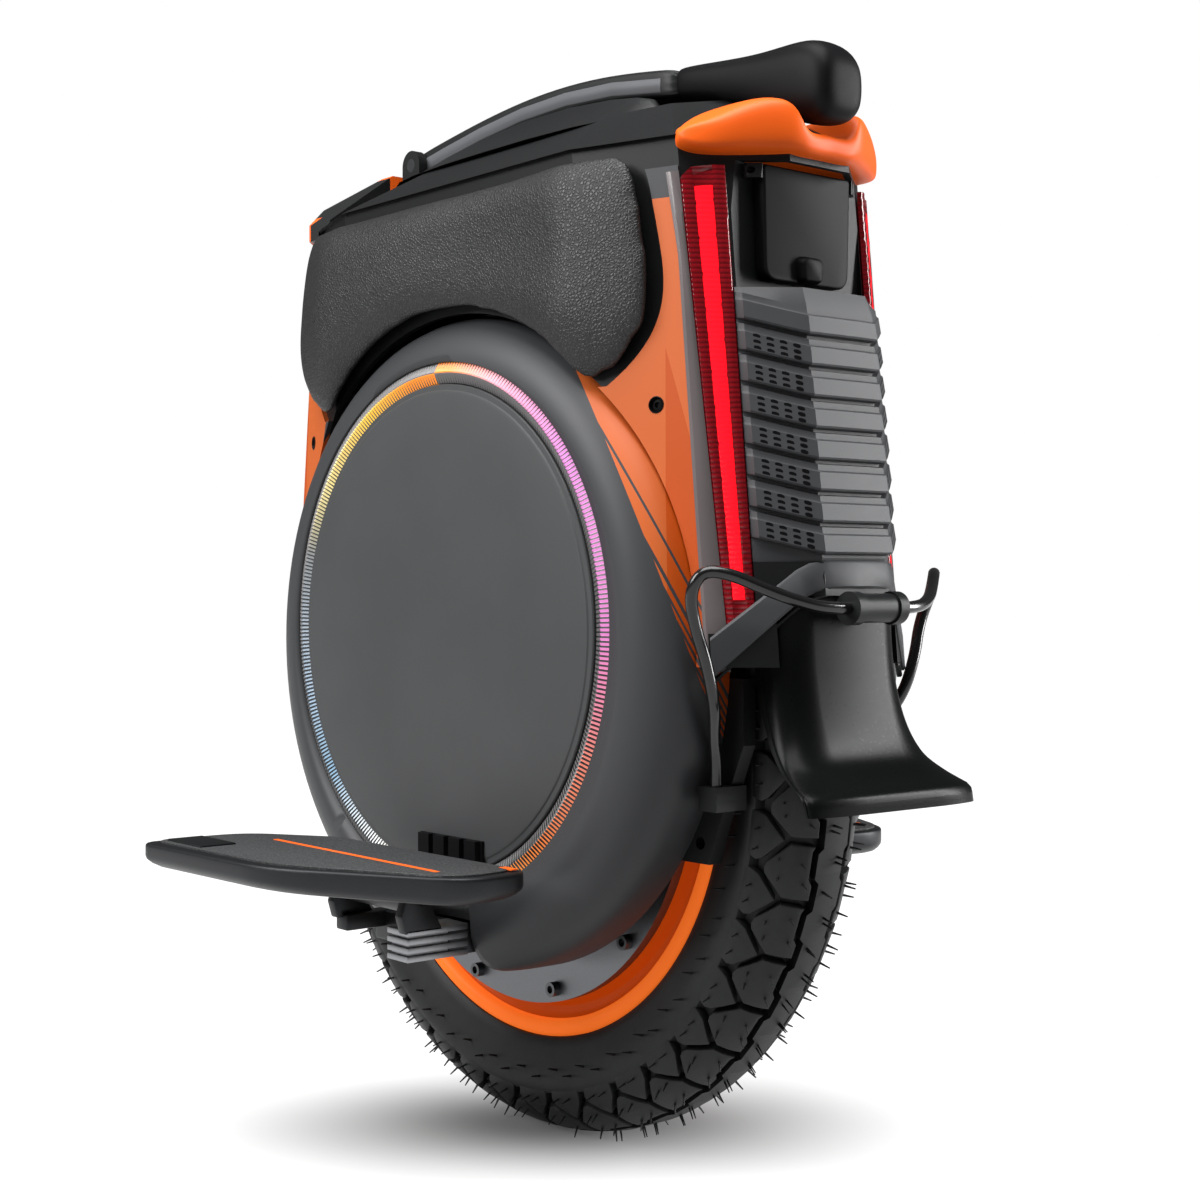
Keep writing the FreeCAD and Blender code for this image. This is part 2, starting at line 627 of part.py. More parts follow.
def make_magnet_ring():
    """Magnets on the inside of the rotor."""
    inner = ROTOR_INNER_RADIUS - MAGNET_THICKNESS
    return tube_x(ROTOR_INNER_RADIUS, inner, -STATOR_HALF_WIDTH, STATOR_HALF_WIDTH, 0, AXLE_Z)


def make_motor_cover(side):
    """Cover plate of the motor, with the bearing seat in its boss."""
    face = RIM_HALF_WIDTH + MOTOR_COVER_WALL
    profile = [
        (RIM_HALF_WIDTH, BEARING_RADIUS),
        (RIM_HALF_WIDTH, MOTOR_COVER_RADIUS),
        (face, MOTOR_COVER_RADIUS),
        (face, MOTOR_BOSS_RADIUS),
        (face + MOTOR_BOSS_HEIGHT, MOTOR_BOSS_RADIUS - MOTOR_BOSS_HEIGHT),
        (face + MOTOR_BOSS_HEIGHT, BEARING_RADIUS),
    ]
    return on_side(ring_x(profile, 0, AXLE_Z), side)


def make_cover_screws():
    """Socket screws round both motor covers."""
    face = RIM_HALF_WIDTH + MOTOR_COVER_WALL
    top = face + COVER_SCREW_HEAD_HEIGHT
    place = AXLE_Z + COVER_SCREW_CIRCLE
    head = cylinder_x(COVER_SCREW_HEAD_RADIUS, face, top, 0, place)
    bore = cylinder_x(COVER_SCREW_SOCKET_RADIUS, top - COVER_SCREW_SOCKET_DEPTH, top + OVERRUN, 0, place)
    head = head.cut(bore)
    step = FULL_TURN / COVER_SCREW_COUNT
    return group([
        on_side(turned_x(head, 0, AXLE_Z, i * step + step / 2), side)
        for side in BOTH_SIDES
        for i in range(COVER_SCREW_COUNT)
    ])


def make_bearings():
    """Ball bearing in each motor cover, drawn as a plain ring."""
    inner = AXLE_RADIUS + PIN_CLEARANCE
    ring = tube_x(BEARING_RADIUS, inner, RIM_HALF_WIDTH, RIM_HALF_WIDTH + BEARING_WIDTH, 0, AXLE_Z)
    return group([on_side(ring, side) for side in BOTH_SIDES])


def make_valve():
    """Tyre valve that leaves the dish of the rim sideways."""
    start = RIM_HALF_WIDTH - RIM_DISH_DEPTH
    place = AXLE_Z + RIM_DISH_INNER_RADIUS + VALVE_RADIUS / 2
    stem = cylinder_x(VALVE_RADIUS, start, start + VALVE_LENGTH, 0, place)
    stem = stem.cut(make_rim())
    return turned_x(stem, 0, AXLE_Z, VALVE_ANGLE_DEG)


def make_axle():
    """Fixed axle with a thicker core inside the stator."""
    reach = HANGER_X + HANGER_WALL + AXLE_END_LENGTH
    core = cylinder_x(AXLE_CORE_RADIUS, -AXLE_CORE_HALF_LENGTH, AXLE_CORE_HALF_LENGTH, 0, AXLE_Z)
    return joined([cylinder_x(AXLE_RADIUS, -reach, reach, 0, AXLE_Z), core])


def make_axle_nuts():
    """Hexagon nuts that clamp the hangers on the axle."""
    start = HANGER_X + HANGER_WALL
    step = FULL_TURN / HEXAGON_SIDES
    corners = [
        (AXLE_NUT_RADIUS * math.sin(math.radians(i * step)),
         AXLE_Z + AXLE_NUT_RADIUS * math.cos(math.radians(i * step)))
        for i in range(HEXAGON_SIDES)
    ]
    nut = prism_x(corners, start, start + AXLE_NUT_HEIGHT)
    nut = nut.cut(cylinder_x(AXLE_RADIUS, start - OVERRUN, start + AXLE_NUT_HEIGHT + OVERRUN, 0, AXLE_Z))
    return group([on_side(nut, side) for side in BOTH_SIDES])


STATOR_RADIUS = ROTOR_INNER_RADIUS - MAGNET_THICKNESS - AIR_GAP


def make_stator():
    """Laminated core on webs round the axle."""
    half = STATOR_HALF_WIDTH
    pieces = [
        tube_x(STATOR_RADIUS, STATOR_BACK_RADIUS, -half, half, 0, AXLE_Z),
        tube_x(STATOR_HUB_RADIUS, AXLE_CORE_RADIUS, -half, half, 0, AXLE_Z),
    ]
    web = box(-half, half, -STATOR_WEB_WIDTH / 2, STATOR_WEB_WIDTH / 2,
              AXLE_Z + STATOR_HUB_RADIUS - WINDING_SETBACK, AXLE_Z + STATOR_BACK_RADIUS + WINDING_SETBACK)
    step = FULL_TURN / STATOR_WEB_COUNT
    pieces += [turned_x(web, 0, AXLE_Z, i * step) for i in range(STATOR_WEB_COUNT)]
    return joined(pieces)


def make_windings():
    """Winding heads on both faces of the core."""
    start = STATOR_HALF_WIDTH
    head = tube_x(STATOR_RADIUS - WINDING_SETBACK, STATOR_BACK_RADIUS + WINDING_SETBACK,
                  start, start + WINDING_HEIGHT, 0, AXLE_Z)
    return group([on_side(head, side) for side in BOTH_SIDES])


# Structure and body

HANGER_OUTER_X = HANGER_X + HANGER_WALL
ARCH_INNER_RADIUS = TYRE_RADIUS + WHEEL_CLEARANCE
SIDE_REACH = BODY_HALF_WIDTH + BODY_HALF_LENGTH
FAR_Y = BODY_HALF_LENGTH * 2
FAR_Z = BODY_TOP_Z * 2
CORNER_FLAT, CORNER_LAMP_IN, CORNER_LAMP_OUT, CORNER_FLANK = range(4)


def plan(z, grow):
    """Outline of the body at a height, counter-clockwise from the rear, moved outwards by a distance."""
    lean = BODY_LEAN * (z - BODY_BOTTOM_Z) / (BODY_TOP_Z - BODY_BOTTOM_Z)
    reach = BODY_HALF_LENGTH - lean
    quarter = [
        (REAR_FLAT_HALF_WIDTH, reach),
        (LAMP_INNER_HALF_WIDTH, reach - LAMP_INNER_SETBACK),
        (LAMP_OUTER_HALF_WIDTH, reach - LAMP_OUTER_SETBACK),
        (BODY_HALF_WIDTH, reach - FLANK_SETBACK),
    ]
    rear = [(x, BODY_MID_Y - y) for x, y in quarter]
    front = [(x, BODY_MID_Y + y) for x, y in reversed(quarter)]
    return offset_outline(symmetric(rear + front), grow)


def corner(z, grow, which, end):
    """A corner of the outline on the right, at the rear for end -1 and at the front for end 1."""
    points = plan(z, grow)
    return points[which] if end < 0 else points[2 * CORNER_FLANK + 1 - which]


def frustum(low, high, z0, z1):
    """Solid with flat sides between two outlines of (x, y) points that have the same corners."""
    bottom = [V(x, y, z0) for x, y in low]
    top = [V(x, y, z1) for x, y in high]
    faces = [Part.Face(closed_wire(bottom)), Part.Face(closed_wire(top))]
    for i in range(len(bottom)):
        faces.append(Part.Face(closed_wire([bottom[i - 1], bottom[i], top[i], top[i - 1]])))
    solid = Part.Solid(Part.Shell(faces))
    if solid.Volume < 0:
        solid.reverse()
    return solid


def body_block(grow, z0, z1):
    """The body's barrel between two heights, moved outwards by a distance."""
    return frustum(plan(z0, grow), plan(z1, grow), z0, z1)


def cover_room(radius, side):
    """Space taken by a side cover in the body."""
    room = cylinder_x(radius, COVER_INNER_X - PANEL_GAP, SIDE_REACH, COVER_Y, COVER_Z)
    return on_side(room, side)


def wheel_room():
    """Space in which the wheel turns."""
    return cylinder_x(ARCH_INNER_RADIUS, -HANGER_X, HANGER_X, 0, AXLE_Z)


def guard_room():
    """Gap in the rear wall for the mudguard."""
    half = REAR_ARCH_GAP_HALF_WIDTH
    return box(-half, half, -FAR_Y, BODY_MID_Y, 0, REAR_ARCH_GAP_Z)


def make_hanger(side):
    """Plate that hangs the axle from the body and carries a pedal bracket at its foot."""
    outline = [
        (-HANGER_FOOT_HALF_WIDTH, HANGER_FOOT_Z),
        (HANGER_FOOT_HALF_WIDTH, HANGER_FOOT_Z),
        (HANGER_WAIST_HALF_WIDTH, AXLE_Z),
        (HANGER_HEAD_HALF_WIDTH, DECK_Z),
        (-HANGER_HEAD_HALF_WIDTH, DECK_Z),
        (-HANGER_WAIST_HALF_WIDTH, AXLE_Z),
    ]
    plate = prism_x(outline, HANGER_X, HANGER_OUTER_X)
    plate = plate.cut(cylinder_x(AXLE_RADIUS, HANGER_X - OVERRUN, HANGER_OUTER_X + OVERRUN, 0, AXLE_Z))
    return on_side(plate, side)


def make_wheel_arch():
    """Liner over the tyre between the hangers."""
    arch = tube_x(ARCH_INNER_RADIUS + ARCH_WALL, ARCH_INNER_RADIUS, -HANGER_X, HANGER_X, 0, AXLE_Z)
    arch = arch.common(box(-HANGER_X, HANGER_X, -FAR_Y, FAR_Y, ARCH_FOOT_Z, FAR_Z))
    return arch.common(body_block(-SKIN - SHELL_WALL, BODY_BOTTOM_Z, BODY_TOP_Z))


FLAP_HINGE_Y = RECESS_Y - FLAP_GAP - FLAP_THICKNESS / 2
FLAP_HINGE_Z = RECESS_TOP_Z - FLAP_GAP - FLAP_THICKNESS / 2


def make_recess():
    """Back, floor and hinge ears of the recess for the charge port."""
    half = RECESS_HALF_WIDTH
    reach = half + RECESS_WALL
    inner = RECESS_Y + RECESS_WALL
    back = box(-reach, reach, RECESS_Y, inner, RECESS_BOTTOM_Z - RECESS_WALL, RECESS_TOP_Z)
    floor = box(-half, half, -FAR_Y, RECESS_Y, RECESS_BOTTOM_Z - RECESS_WALL, RECESS_BOTTOM_Z)
    port = cylinder_y(CHARGE_PORT_RADIUS, RECESS_Y - OVERRUN, inner + OVERRUN, 0, CHARGE_PORT_Z)
    pieces = [back.cut(port), floor]
    start = FLAP_HALF_WIDTH + PANEL_GAP
    ear = box(start, start + FLAP_EAR_WIDTH, FLAP_HINGE_Y - FLAP_THICKNESS / 2, RECESS_Y,
              FLAP_HINGE_Z - FLAP_THICKNESS / 2, FLAP_HINGE_Z + FLAP_THICKNESS / 2)
    bore = FLAP_PIN_RADIUS + PIN_CLEARANCE
    ear = ear.cut(cylinder_x(bore, 0, start + FLAP_EAR_WIDTH + OVERRUN, FLAP_HINGE_Y, FLAP_HINGE_Z))
    pieces += [on_side(ear, side) for side in BOTH_SIDES]
    return pieces


def make_main_shell():
    """Load bearing shell of the body: a walled barrel with a deck over the wheel."""
    outer = body_block(-SKIN, BODY_BOTTOM_Z, BODY_TOP_Z)
    inner = body_block(-SKIN - SHELL_WALL, BODY_BOTTOM_Z - OVERRUN, BODY_TOP_Z + OVERRUN)
    half = RECESS_HALF_WIDTH
    recess = box(-half, half, -FAR_Y, RECESS_Y, RECESS_BOTTOM_Z, RECESS_TOP_Z)
    walls = outer.cut(inner).cut(recess)
    deck = body_block(-SKIN, DECK_Z, DECK_Z + DECK_WALL)
    parts = [walls, deck] + [piece.common(outer) for piece in make_recess()]
    shell = joined(parts)
    for side in BOTH_SIDES:
        shell = shell.cut(cover_room(COVER_RADIUS + PANEL_GAP, side))
    return shell.cut(wheel_room()).cut(guard_room())


def cover_profile():
    """Half outline of a side cover as (x, radius) points, from its back edge round the wall to the middle."""
    outer = [
        (COVER_INNER_X, COVER_RADIUS),
        (COVER_WALL_X, COVER_RADIUS),
        (COVER_SHOULDER_X, COVER_RADIUS - COVER_SHOULDER_DROP),
        (COVER_EDGE_X, COVER_RADIUS - COVER_EDGE_DROP),
        (COVER_FACE_X, COVER_FACE_RADIUS),
        (COVER_FACE_X, 0),
    ]
    back = COVER_FACE_X - RING_SEAT_DEPTH - COVER_WALL
    inner = [
        (back, 0),
        (back, COVER_FACE_RADIUS - COVER_WALL),
        (COVER_SHOULDER_X - COVER_WALL, COVER_RADIUS - COVER_SHOULDER_DROP - COVER_WALL),
        (COVER_WALL_X, COVER_RADIUS - COVER_WALL),
        (COVER_INNER_X, COVER_RADIUS - COVER_WALL),
    ]
    return outer + inner


def make_side_cover(side):
    """Round cover with a shallow seat for the ring and disc, notched for the pedal bracket."""
    cover = ring_x(cover_profile(), COVER_Y, COVER_Z)
    seat_x = COVER_FACE_X - RING_SEAT_DEPTH
    cover = cover.cut(cylinder_x(RING_OUTER_RADIUS, seat_x, COVER_FACE_X + OVERRUN, RING_Y, RING_Z))
    half = BRACKET_HALF_WIDTH + BRACKET_GAP
    notch = box(HANGER_OUTER_X - OVERRUN, COVER_FACE_X + OVERRUN, -half, half,
                BRACKET_BOTTOM_Z - BRACKET_GAP - COVER_RADIUS, BRACKET_TOP_Z + BRACKET_GAP)
    return on_side(cover.cut(notch), side)


def make_light_ring(side):
    """Lit ring round the disc."""
    seat_x = COVER_FACE_X - RING_SEAT_DEPTH
    ring = tube_x(RING_OUTER_RADIUS, RING_INNER_RADIUS, seat_x, COVER_FACE_X + RING_PROUD, RING_Y, RING_Z)
    return on_side(ring, side)


def make_side_disc(side):
    """Plain disc inside the ring with a bevelled edge."""
    seat_x = COVER_FACE_X - RING_SEAT_DEPTH
    face = COVER_FACE_X + DISC_PROUD
    profile = [
        (seat_x, 0),
        (seat_x, RING_INNER_RADIUS),
        (COVER_FACE_X, RING_INNER_RADIUS),
        (face, RING_INNER_RADIUS - DISC_BEVEL),
        (face, 0),
    ]
    return on_side(ring_x(profile, RING_Y, RING_Z), side)


def flank_point(z, grow, along):
    """Point of the outline on the right, on the slope between the lamp and the flank."""
    end = -1 if along < 0 else 1
    lamp = corner(z, grow, CORNER_LAMP_OUT, end)
    flank = corner(z, grow, CORNER_FLANK, end)
    y = BODY_MID_Y + along
    share = (y - lamp[1]) / (flank[1] - lamp[1])
    return (lamp[0] + share * (flank[0] - lamp[0]), y)


def pad_block(inner, rim, crown, extra):
    """Crowned block over the upper flank, between an inner face and an outer face that swells."""
    wires = []
    height = PAD_TOP_Z - PAD_BOTTOM_Z
    for level, length, swell in zip(PAD_LEVEL_SHARES, PAD_LENGTH_SHARES, PAD_CROWN_SHARES):
        z = PAD_BOTTOM_Z - extra + level * (height + 2 * extra)
        half = PAD_HALF_LENGTH * length + extra
        outer = rim + (crown - rim) * swell
        outline = [
            flank_point(z, inner, -half),
            flank_point(z, outer, -half),
            corner(z, outer, CORNER_FLANK, -1),
            corner(z, outer, CORNER_FLANK, 1),
            flank_point(z, outer, half),
            flank_point(z, inner, half),
            corner(z, inner, CORNER_FLANK, 1),
            corner(z, inner, CORNER_FLANK, -1),
        ]
        wires.append(closed_wire([V(x, y, z) for x, y in outline]))
    return loft(wires, ruled=False)


def make_knee_pad(side):
    """Padded block above the side cover, drawn in towards its edges."""
    pad = pad_block(SEAT_GAP - SKIN, PAD_EDGE_PROUD, PAD_PROUD, 0)
    return on_side(pad.cut(cover_room(PAD_ARC_RADIUS, 1)), side)


def make_trim(side, end):
    """Coloured corner panel between the lamp, the knee pad and the side cover."""
    first = CORNER_LAMP_OUT if end < 0 else CORNER_LAMP_IN
    bottom = BODY_BOTTOM_Z
    top = LAMP_TOP_Z
    middle = BODY_MID_Y

    def ring(z):
        outer = [corner(z, 0, i, end) for i in range(first, CORNER_FLANK + 1)]
        inner = [corner(z, -SKIN, i, end) for i in range(first, CORNER_FLANK + 1)]
        outer.append((outer[-1][0], middle))
        inner.append((inner[-1][0], middle))
        return outer + list(reversed(inner))

    panel = frustum(ring(bottom), ring(top), bottom, top)
    panel = panel.cut(cover_room(COVER_RADIUS + PANEL_GAP, 1))
    panel = panel.cut(pad_block(-SKIN - OVERRUN, OVERRUN, OVERRUN, PANEL_GAP))
    y, z = screw_place(end)
    return on_side(panel.cut(cylinder_x(PANEL_SCREW_RADIUS, 0, SIDE_REACH, y, z)), side)


def screw_place(end):
    """Place of a trim screw seen from the side."""
    return BODY_MID_Y + end * PANEL_SCREW_REACH, PANEL_SCREW_Z


def make_panel_screws():
    """Screws that hold the corner panels on the shell."""
    screws = []
    for end in (-1, 1):
        y, z = screw_place(end)
        rod = cylinder_x(PANEL_SCREW_RADIUS, 0, SIDE_REACH, y, z)
        skin = body_block(0, BODY_BOTTOM_Z, BODY_TOP_Z).cut(body_block(-SKIN, BODY_BOTTOM_Z, BODY_TOP_Z))
        screws += [on_side(rod.common(skin), side) for side in BOTH_SIDES]
    return group(screws)


def rear_strip(z, grow, last):
    """Outline points across the rear, from the left corner to the right one."""
    right = [corner(z, grow, i, -1) for i in range(last + 1)]
    return [(-x, y) for x, y in reversed(right)] + right


def rear_skin(grow, depth, last, z0, z1):
    """Panel across the rear between two heights, bent along the body's corners."""
    def ring(z):
        return rear_strip(z, grow, last) + list(reversed(rear_strip(z, depth, last)))
    return frustum(ring(z0), ring(z1), z0, z1)


def rear_y(x, z):
    """Rear surface of the body at a distance from its middle plane."""
    flat = corner(z, 0, CORNER_FLAT, -1)
    lamp = corner(z, 0, CORNER_LAMP_IN, -1)
    if abs(x) <= flat[0]:
        return flat[1]
    return flat[1] + (lamp[1] - flat[1]) * (abs(x) - flat[0]) / (lamp[0] - flat[0])


def make_rib(index):
    """One overlapping rib, level in the middle and rising towards its ends."""
    wires = []
    end = LAMP_INNER_HALF_WIDTH - RIB_END_GAP
    for x in (-end, -REAR_FLAT_HALF_WIDTH, REAR_FLAT_HALF_WIDTH, end):
        rise = RIB_RISE * (abs(x) - REAR_FLAT_HALF_WIDTH) / (end - REAR_FLAT_HALF_WIDTH)
        low = RIB_BOTTOM_Z + index * RIB_PITCH + rise
        high = low + RIB_PITCH
        points = [
            V(x, rear_y(x, low) + RIB_SINK, low),
            V(x, rear_y(x, low) - RIB_PROUD, low),
            V(x, rear_y(x, high) - RIB_SINK, high),
            V(x, rear_y(x, high) + RIB_SINK, high),
        ]
        wires.append(closed_wire(points))
    return loft(wires)


def make_rear_panel():
    """Ribbed panel under the charge port."""
    base = rear_skin(0, -SKIN, CORNER_LAMP_IN, REAR_ARCH_TOP_Z, RECESS_BOTTOM_Z)
    return joined([base] + [make_rib(i) for i in range(RIB_COUNT)])


def make_tail_lamp(side):
    """Upright rear lamp on the bevel beside the ribbed panel."""
    def ring(z):
        return [
            corner(z, LAMP_PROUD, CORNER_LAMP_IN, -1),
            corner(z, LAMP_PROUD, CORNER_LAMP_OUT, -1),
            corner(z, -SKIN, CORNER_LAMP_OUT, -1),
            corner(z, -SKIN, CORNER_LAMP_IN, -1),
        ]
    return on_side(frustum(ring(LAMP_BOTTOM_Z), ring(LAMP_TOP_Z), LAMP_BOTTOM_Z, LAMP_TOP_Z), side)


def make_rear_arch():
    """Black bezel over the mudguard with a leg under each lamp."""
    upper = rear_skin(REAR_ARCH_PROUD, -SKIN, CORNER_LAMP_IN, LAMP_BOTTOM_Z, REAR_ARCH_TOP_Z)
    lower = rear_skin(REAR_ARCH_PROUD, -SKIN, CORNER_LAMP_OUT, BODY_BOTTOM_Z, LAMP_BOTTOM_Z)
    return joined([upper, lower]).cut(guard_room())


def make_mudguard():
    """Flared guard that hangs behind the tyre."""
    wires = []
    top_half = REAR_ARCH_GAP_HALF_WIDTH - SEAT_GAP
    top_z = REAR_ARCH_GAP_Z - SEAT_GAP
    for level, reach, spread in zip(GUARD_LEVEL_SHARES, GUARD_REACH_SHARES, GUARD_SPREAD_SHARES):
        z = GUARD_LIP_Z + level * (top_z - GUARD_LIP_Z)
        y = GUARD_TOP_Y + reach * (GUARD_LIP_Y - GUARD_TOP_Y)
        half = top_half + spread * (GUARD_LIP_HALF_WIDTH - top_half)
        side_y = y + GUARD_SIDE_SETBACK + reach * (GUARD_LIP_SETBACK - GUARD_SIDE_SETBACK)
        flat = GUARD_FLAT_HALF_WIDTH
        outer = [(-half, side_y), (-flat, y), (flat, y), (half, side_y)]
        inner = [(px, py + GUARD_WALL) for px, py in reversed(outer)]
        wires.append(closed_wire([V(px, py, z) for px, py in outer + inner]))
    return loft(wires)


def make_port_flap():
    """Flap over the charge port, with a barrel and pin at its top and a thumb tab at its foot."""
    half = FLAP_HALF_WIDTH
    outer_y = RECESS_Y - FLAP_GAP - FLAP_THICKNESS
    inner_y = RECESS_Y - FLAP_GAP
    plate = box(-half, half, outer_y, inner_y, FLAP_BOTTOM_Z, FLAP_HINGE_Z)
    barrel = cylinder_x(FLAP_THICKNESS / 2, -half, half, FLAP_HINGE_Y, FLAP_HINGE_Z)
    reach = half + PANEL_GAP + FLAP_EAR_WIDTH
    pin = cylinder_x(FLAP_PIN_RADIUS, -reach, reach, FLAP_HINGE_Y, FLAP_HINGE_Z)
    tab = box(-FLAP_TAB_HALF_WIDTH, FLAP_TAB_HALF_WIDTH, outer_y - FLAP_TAB_PROUD, outer_y,
              FLAP_BOTTOM_Z, FLAP_BOTTOM_Z + FLAP_TAB_HEIGHT)
    return joined([plate, barrel, pin, tab])


def make_charge_port():
    """Socket behind the flap."""
    body = cylinder_y(CHARGE_PORT_RADIUS, RECESS_Y, RECESS_Y + CHARGE_PORT_DEPTH, 0, CHARGE_PORT_Z)
    bore = cylinder_y(CHARGE_PORT_BORE, RECESS_Y - OVERRUN, RECESS_Y + CHARGE_PORT_DEPTH - RECESS_WALL, 0,
                      CHARGE_PORT_Z)
    return body.cut(bore)


def top_outline():
    """Outline of the flat top of the top cover."""
    return [
        (x * TOP_COVER_WIDTH_SHARE, BODY_MID_Y + (y - BODY_MID_Y) * TOP_COVER_LENGTH_SHARE)
        for x, y in plan(BODY_TOP_Z, 0)
    ]


TOP_Z = BODY_TOP_Z + TOP_COVER_RISE
COLLAR_X = HANDLE_HALF_WIDTH + EAR_GAP


def cover_hill(inset, z0, z1):
    """Sloping block over the body's top."""
    low = offset_outline(plan(BODY_TOP_Z, 0), -inset)
    high = offset_outline(top_outline(), -inset)
    return loft([closed_wire([V(x, y, z0) for x, y in low]), closed_wire([V(x, y, z1) for x, y in high])])


def make_top_cover():
    """Sloping cover over the electronics with two ears for the handle's pin and a hole for the button."""
    shell = cover_hill(0, BODY_TOP_Z, TOP_Z)
    shell = shell.cut(cover_hill(TOP_COVER_WALL, BODY_TOP_Z - TOP_COVER_WALL, TOP_Z - TOP_COVER_WALL))
    ear = box(COLLAR_X, COLLAR_X + EAR_WALL, PIVOT_Y - KNUCKLE_RADIUS, PIVOT_Y + KNUCKLE_RADIUS,
              TOP_Z - TOP_COVER_WALL, PIVOT_Z)
    ear = ear.fuse(cylinder_x(KNUCKLE_RADIUS, COLLAR_X, COLLAR_X + EAR_WALL, PIVOT_Y, PIVOT_Z))
    ear = ear.cut(cylinder_x(PIVOT_PIN_RADIUS, 0, COLLAR_X + EAR_WALL + OVERRUN, PIVOT_Y, PIVOT_Z))
    cover = joined([shell] + [on_side(ear, side) for side in BOTH_SIDES])
    foot = V(0, BUTTON_Y, TOP_Z - TOP_COVER_RISE / 2)
    hole = Part.makeCylinder(BUTTON_RADIUS + BUTTON_GAP, TOP_COVER_RISE, foot)
    return cover.cut(hole)


def make_power_button():
    """Round button that slides in the top cover on a flange."""
    under = TOP_Z - TOP_COVER_WALL - BUTTON_GAP
    foot = under - BUTTON_FLANGE_WALL
    stem = Part.makeCylinder(BUTTON_RADIUS, TOP_Z + BUTTON_PROUD - foot, V(0, BUTTON_Y, foot))
    flange = Part.makeCylinder(BUTTON_FLANGE_RADIUS, BUTTON_FLANGE_WALL, V(0, BUTTON_Y, foot))
    return joined([stem, flange])


def make_display():
    """Small screen on the top cover under the handle."""
    return box(-DISPLAY_HALF_WIDTH, DISPLAY_HALF_WIDTH, DISPLAY_REAR_Y, DISPLAY_FRONT_Y,
               TOP_Z, TOP_Z + DISPLAY_THICKNESS)


def end_cap(outline, y0, y1):
    """Bumper over one end of the body's top edge, from an outline of (x, z) points."""
    low = TAIL_BOTTOM_Z - OVERRUN
    high = NOSE_TOP_Z + OVERRUN
    cap = prism_y(symmetric(outline), y0, y1)
    cap = cap.common(prism_z(plan(BODY_TOP_Z, TAIL_PROUD), low, high))
    return cap.cut(body_block(0, low - OVERRUN, BODY_TOP_Z)).cut(cover_hill(0, BODY_TOP_Z, TOP_Z))


def make_tail_rest():
    """Rear bumper with two horns and a notch that the grip drops into."""
    outline = [
        (TAIL_NOTCH_HALF_WIDTH, TAIL_NOTCH_Z),
        (TAIL_HORN_INNER, TAIL_HORN_Z),
        (TAIL_HORN_OUTER, TAIL_HORN_Z),
        (TAIL_TIP_HALF_WIDTH, TAIL_TIP_TOP_Z),
        (TAIL_TIP_HALF_WIDTH, TAIL_TIP_LOW_Z),
        (TAIL_BELLY_HALF_WIDTH, TAIL_BOTTOM_Z),
    ]
    return end_cap(outline, -FAR_Y, TAIL_FRONT_Y)


def make_front_nose():
    """Front bumper with a raised middle that slopes down to the front."""
    outline = [
        (NOSE_TOP_HALF_WIDTH, NOSE_TOP_Z),
        (TAIL_TIP_HALF_WIDTH, TAIL_TIP_TOP_Z),
        (TAIL_TIP_HALF_WIDTH, TAIL_TIP_LOW_Z),
        (TAIL_BELLY_HALF_WIDTH, TAIL_BOTTOM_Z),
    ]
    front = corner(BODY_TOP_Z, TAIL_PROUD, CORNER_FLAT, 1)[1]
    slope = [
        (NOSE_CREST_Y, NOSE_TOP_Z),
        (front, NOSE_LIP_Z),
        (front + OVERRUN, NOSE_LIP_Z),
        (front + OVERRUN, NOSE_TOP_Z + OVERRUN),
        (NOSE_CREST_Y, NOSE_TOP_Z + OVERRUN),
    ]
    return end_cap(outline, NOSE_REAR_Y, FAR_Y).cut(prism_x(slope, -SIDE_REACH, SIDE_REACH))


def front_skin(grow, z0, z1):
    """Panel across the front between two heights."""
    def ring(z):
        outer = [corner(z, grow, i, 1) for i in (CORNER_LAMP_IN, CORNER_FLAT)]
        inner = [corner(z, -SKIN, i, 1) for i in (CORNER_FLAT, CORNER_LAMP_IN)]
        return outer + [(-x, y) for x, y in reversed(outer)] + [(-x, y) for x, y in reversed(inner)] + inner
    return frustum(ring(z0), ring(z1), z0, z1)


def headlamp_room():
    """Opening for the headlamp in the front panel."""
    half = HEADLAMP_HALF_WIDTH
    return box(-half, half, 0, FAR_Y, HEADLAMP_BOTTOM_Z, HEADLAMP_TOP_Z)


def make_front_panel():
    """Panel across the front with the headlamp's opening."""
    panel = front_skin(0, FRONT_PANEL_BOTTOM_Z, LAMP_TOP_Z)
    return panel.cut(headlamp_room()).cut(wheel_room())


def make_headlamp():
    """Headlamp lens set in the front panel."""
    return front_skin(HEADLAMP_PROUD, FRONT_PANEL_BOTTOM_Z, LAMP_TOP_Z).common(headlamp_room())


# Handle

def make_handle_bar():
    """Arched bar with a knuckle round the pin at its front end."""
    half = HANDLE_THICKNESS / 2
    x0 = -HANDLE_HALF_WIDTH

    def arc(shift):
        ends = [V(x0, PIVOT_Y, PIVOT_Z + shift), V(x0, 0, HANDLE_CREST_Z + shift),
                V(x0, GRIP_FRONT_Y, HANDLE_REAR_Z + shift)]
        return ends, Part.Arc(*ends).toShape()

    top, top_edge = arc(half)
    low, low_edge = arc(-half)
    edges = [top_edge, Part.LineSegment(top[-1], low[-1]).toShape(), low_edge,
             Part.LineSegment(low[0], top[0]).toShape()]
    bar = prism(Part.Wire(Part.__sortEdges__(edges)), X_AXIS * (2 * HANDLE_HALF_WIDTH))
    knuckle = cylinder_x(KNUCKLE_RADIUS, x0, HANDLE_HALF_WIDTH, PIVOT_Y, PIVOT_Z)
    bore = PIVOT_PIN_RADIUS + PIN_CLEARANCE
    return joined([bar, knuckle]).cut(cylinder_x(bore, x0 - OVERRUN, -x0 + OVERRUN, PIVOT_Y, PIVOT_Z))


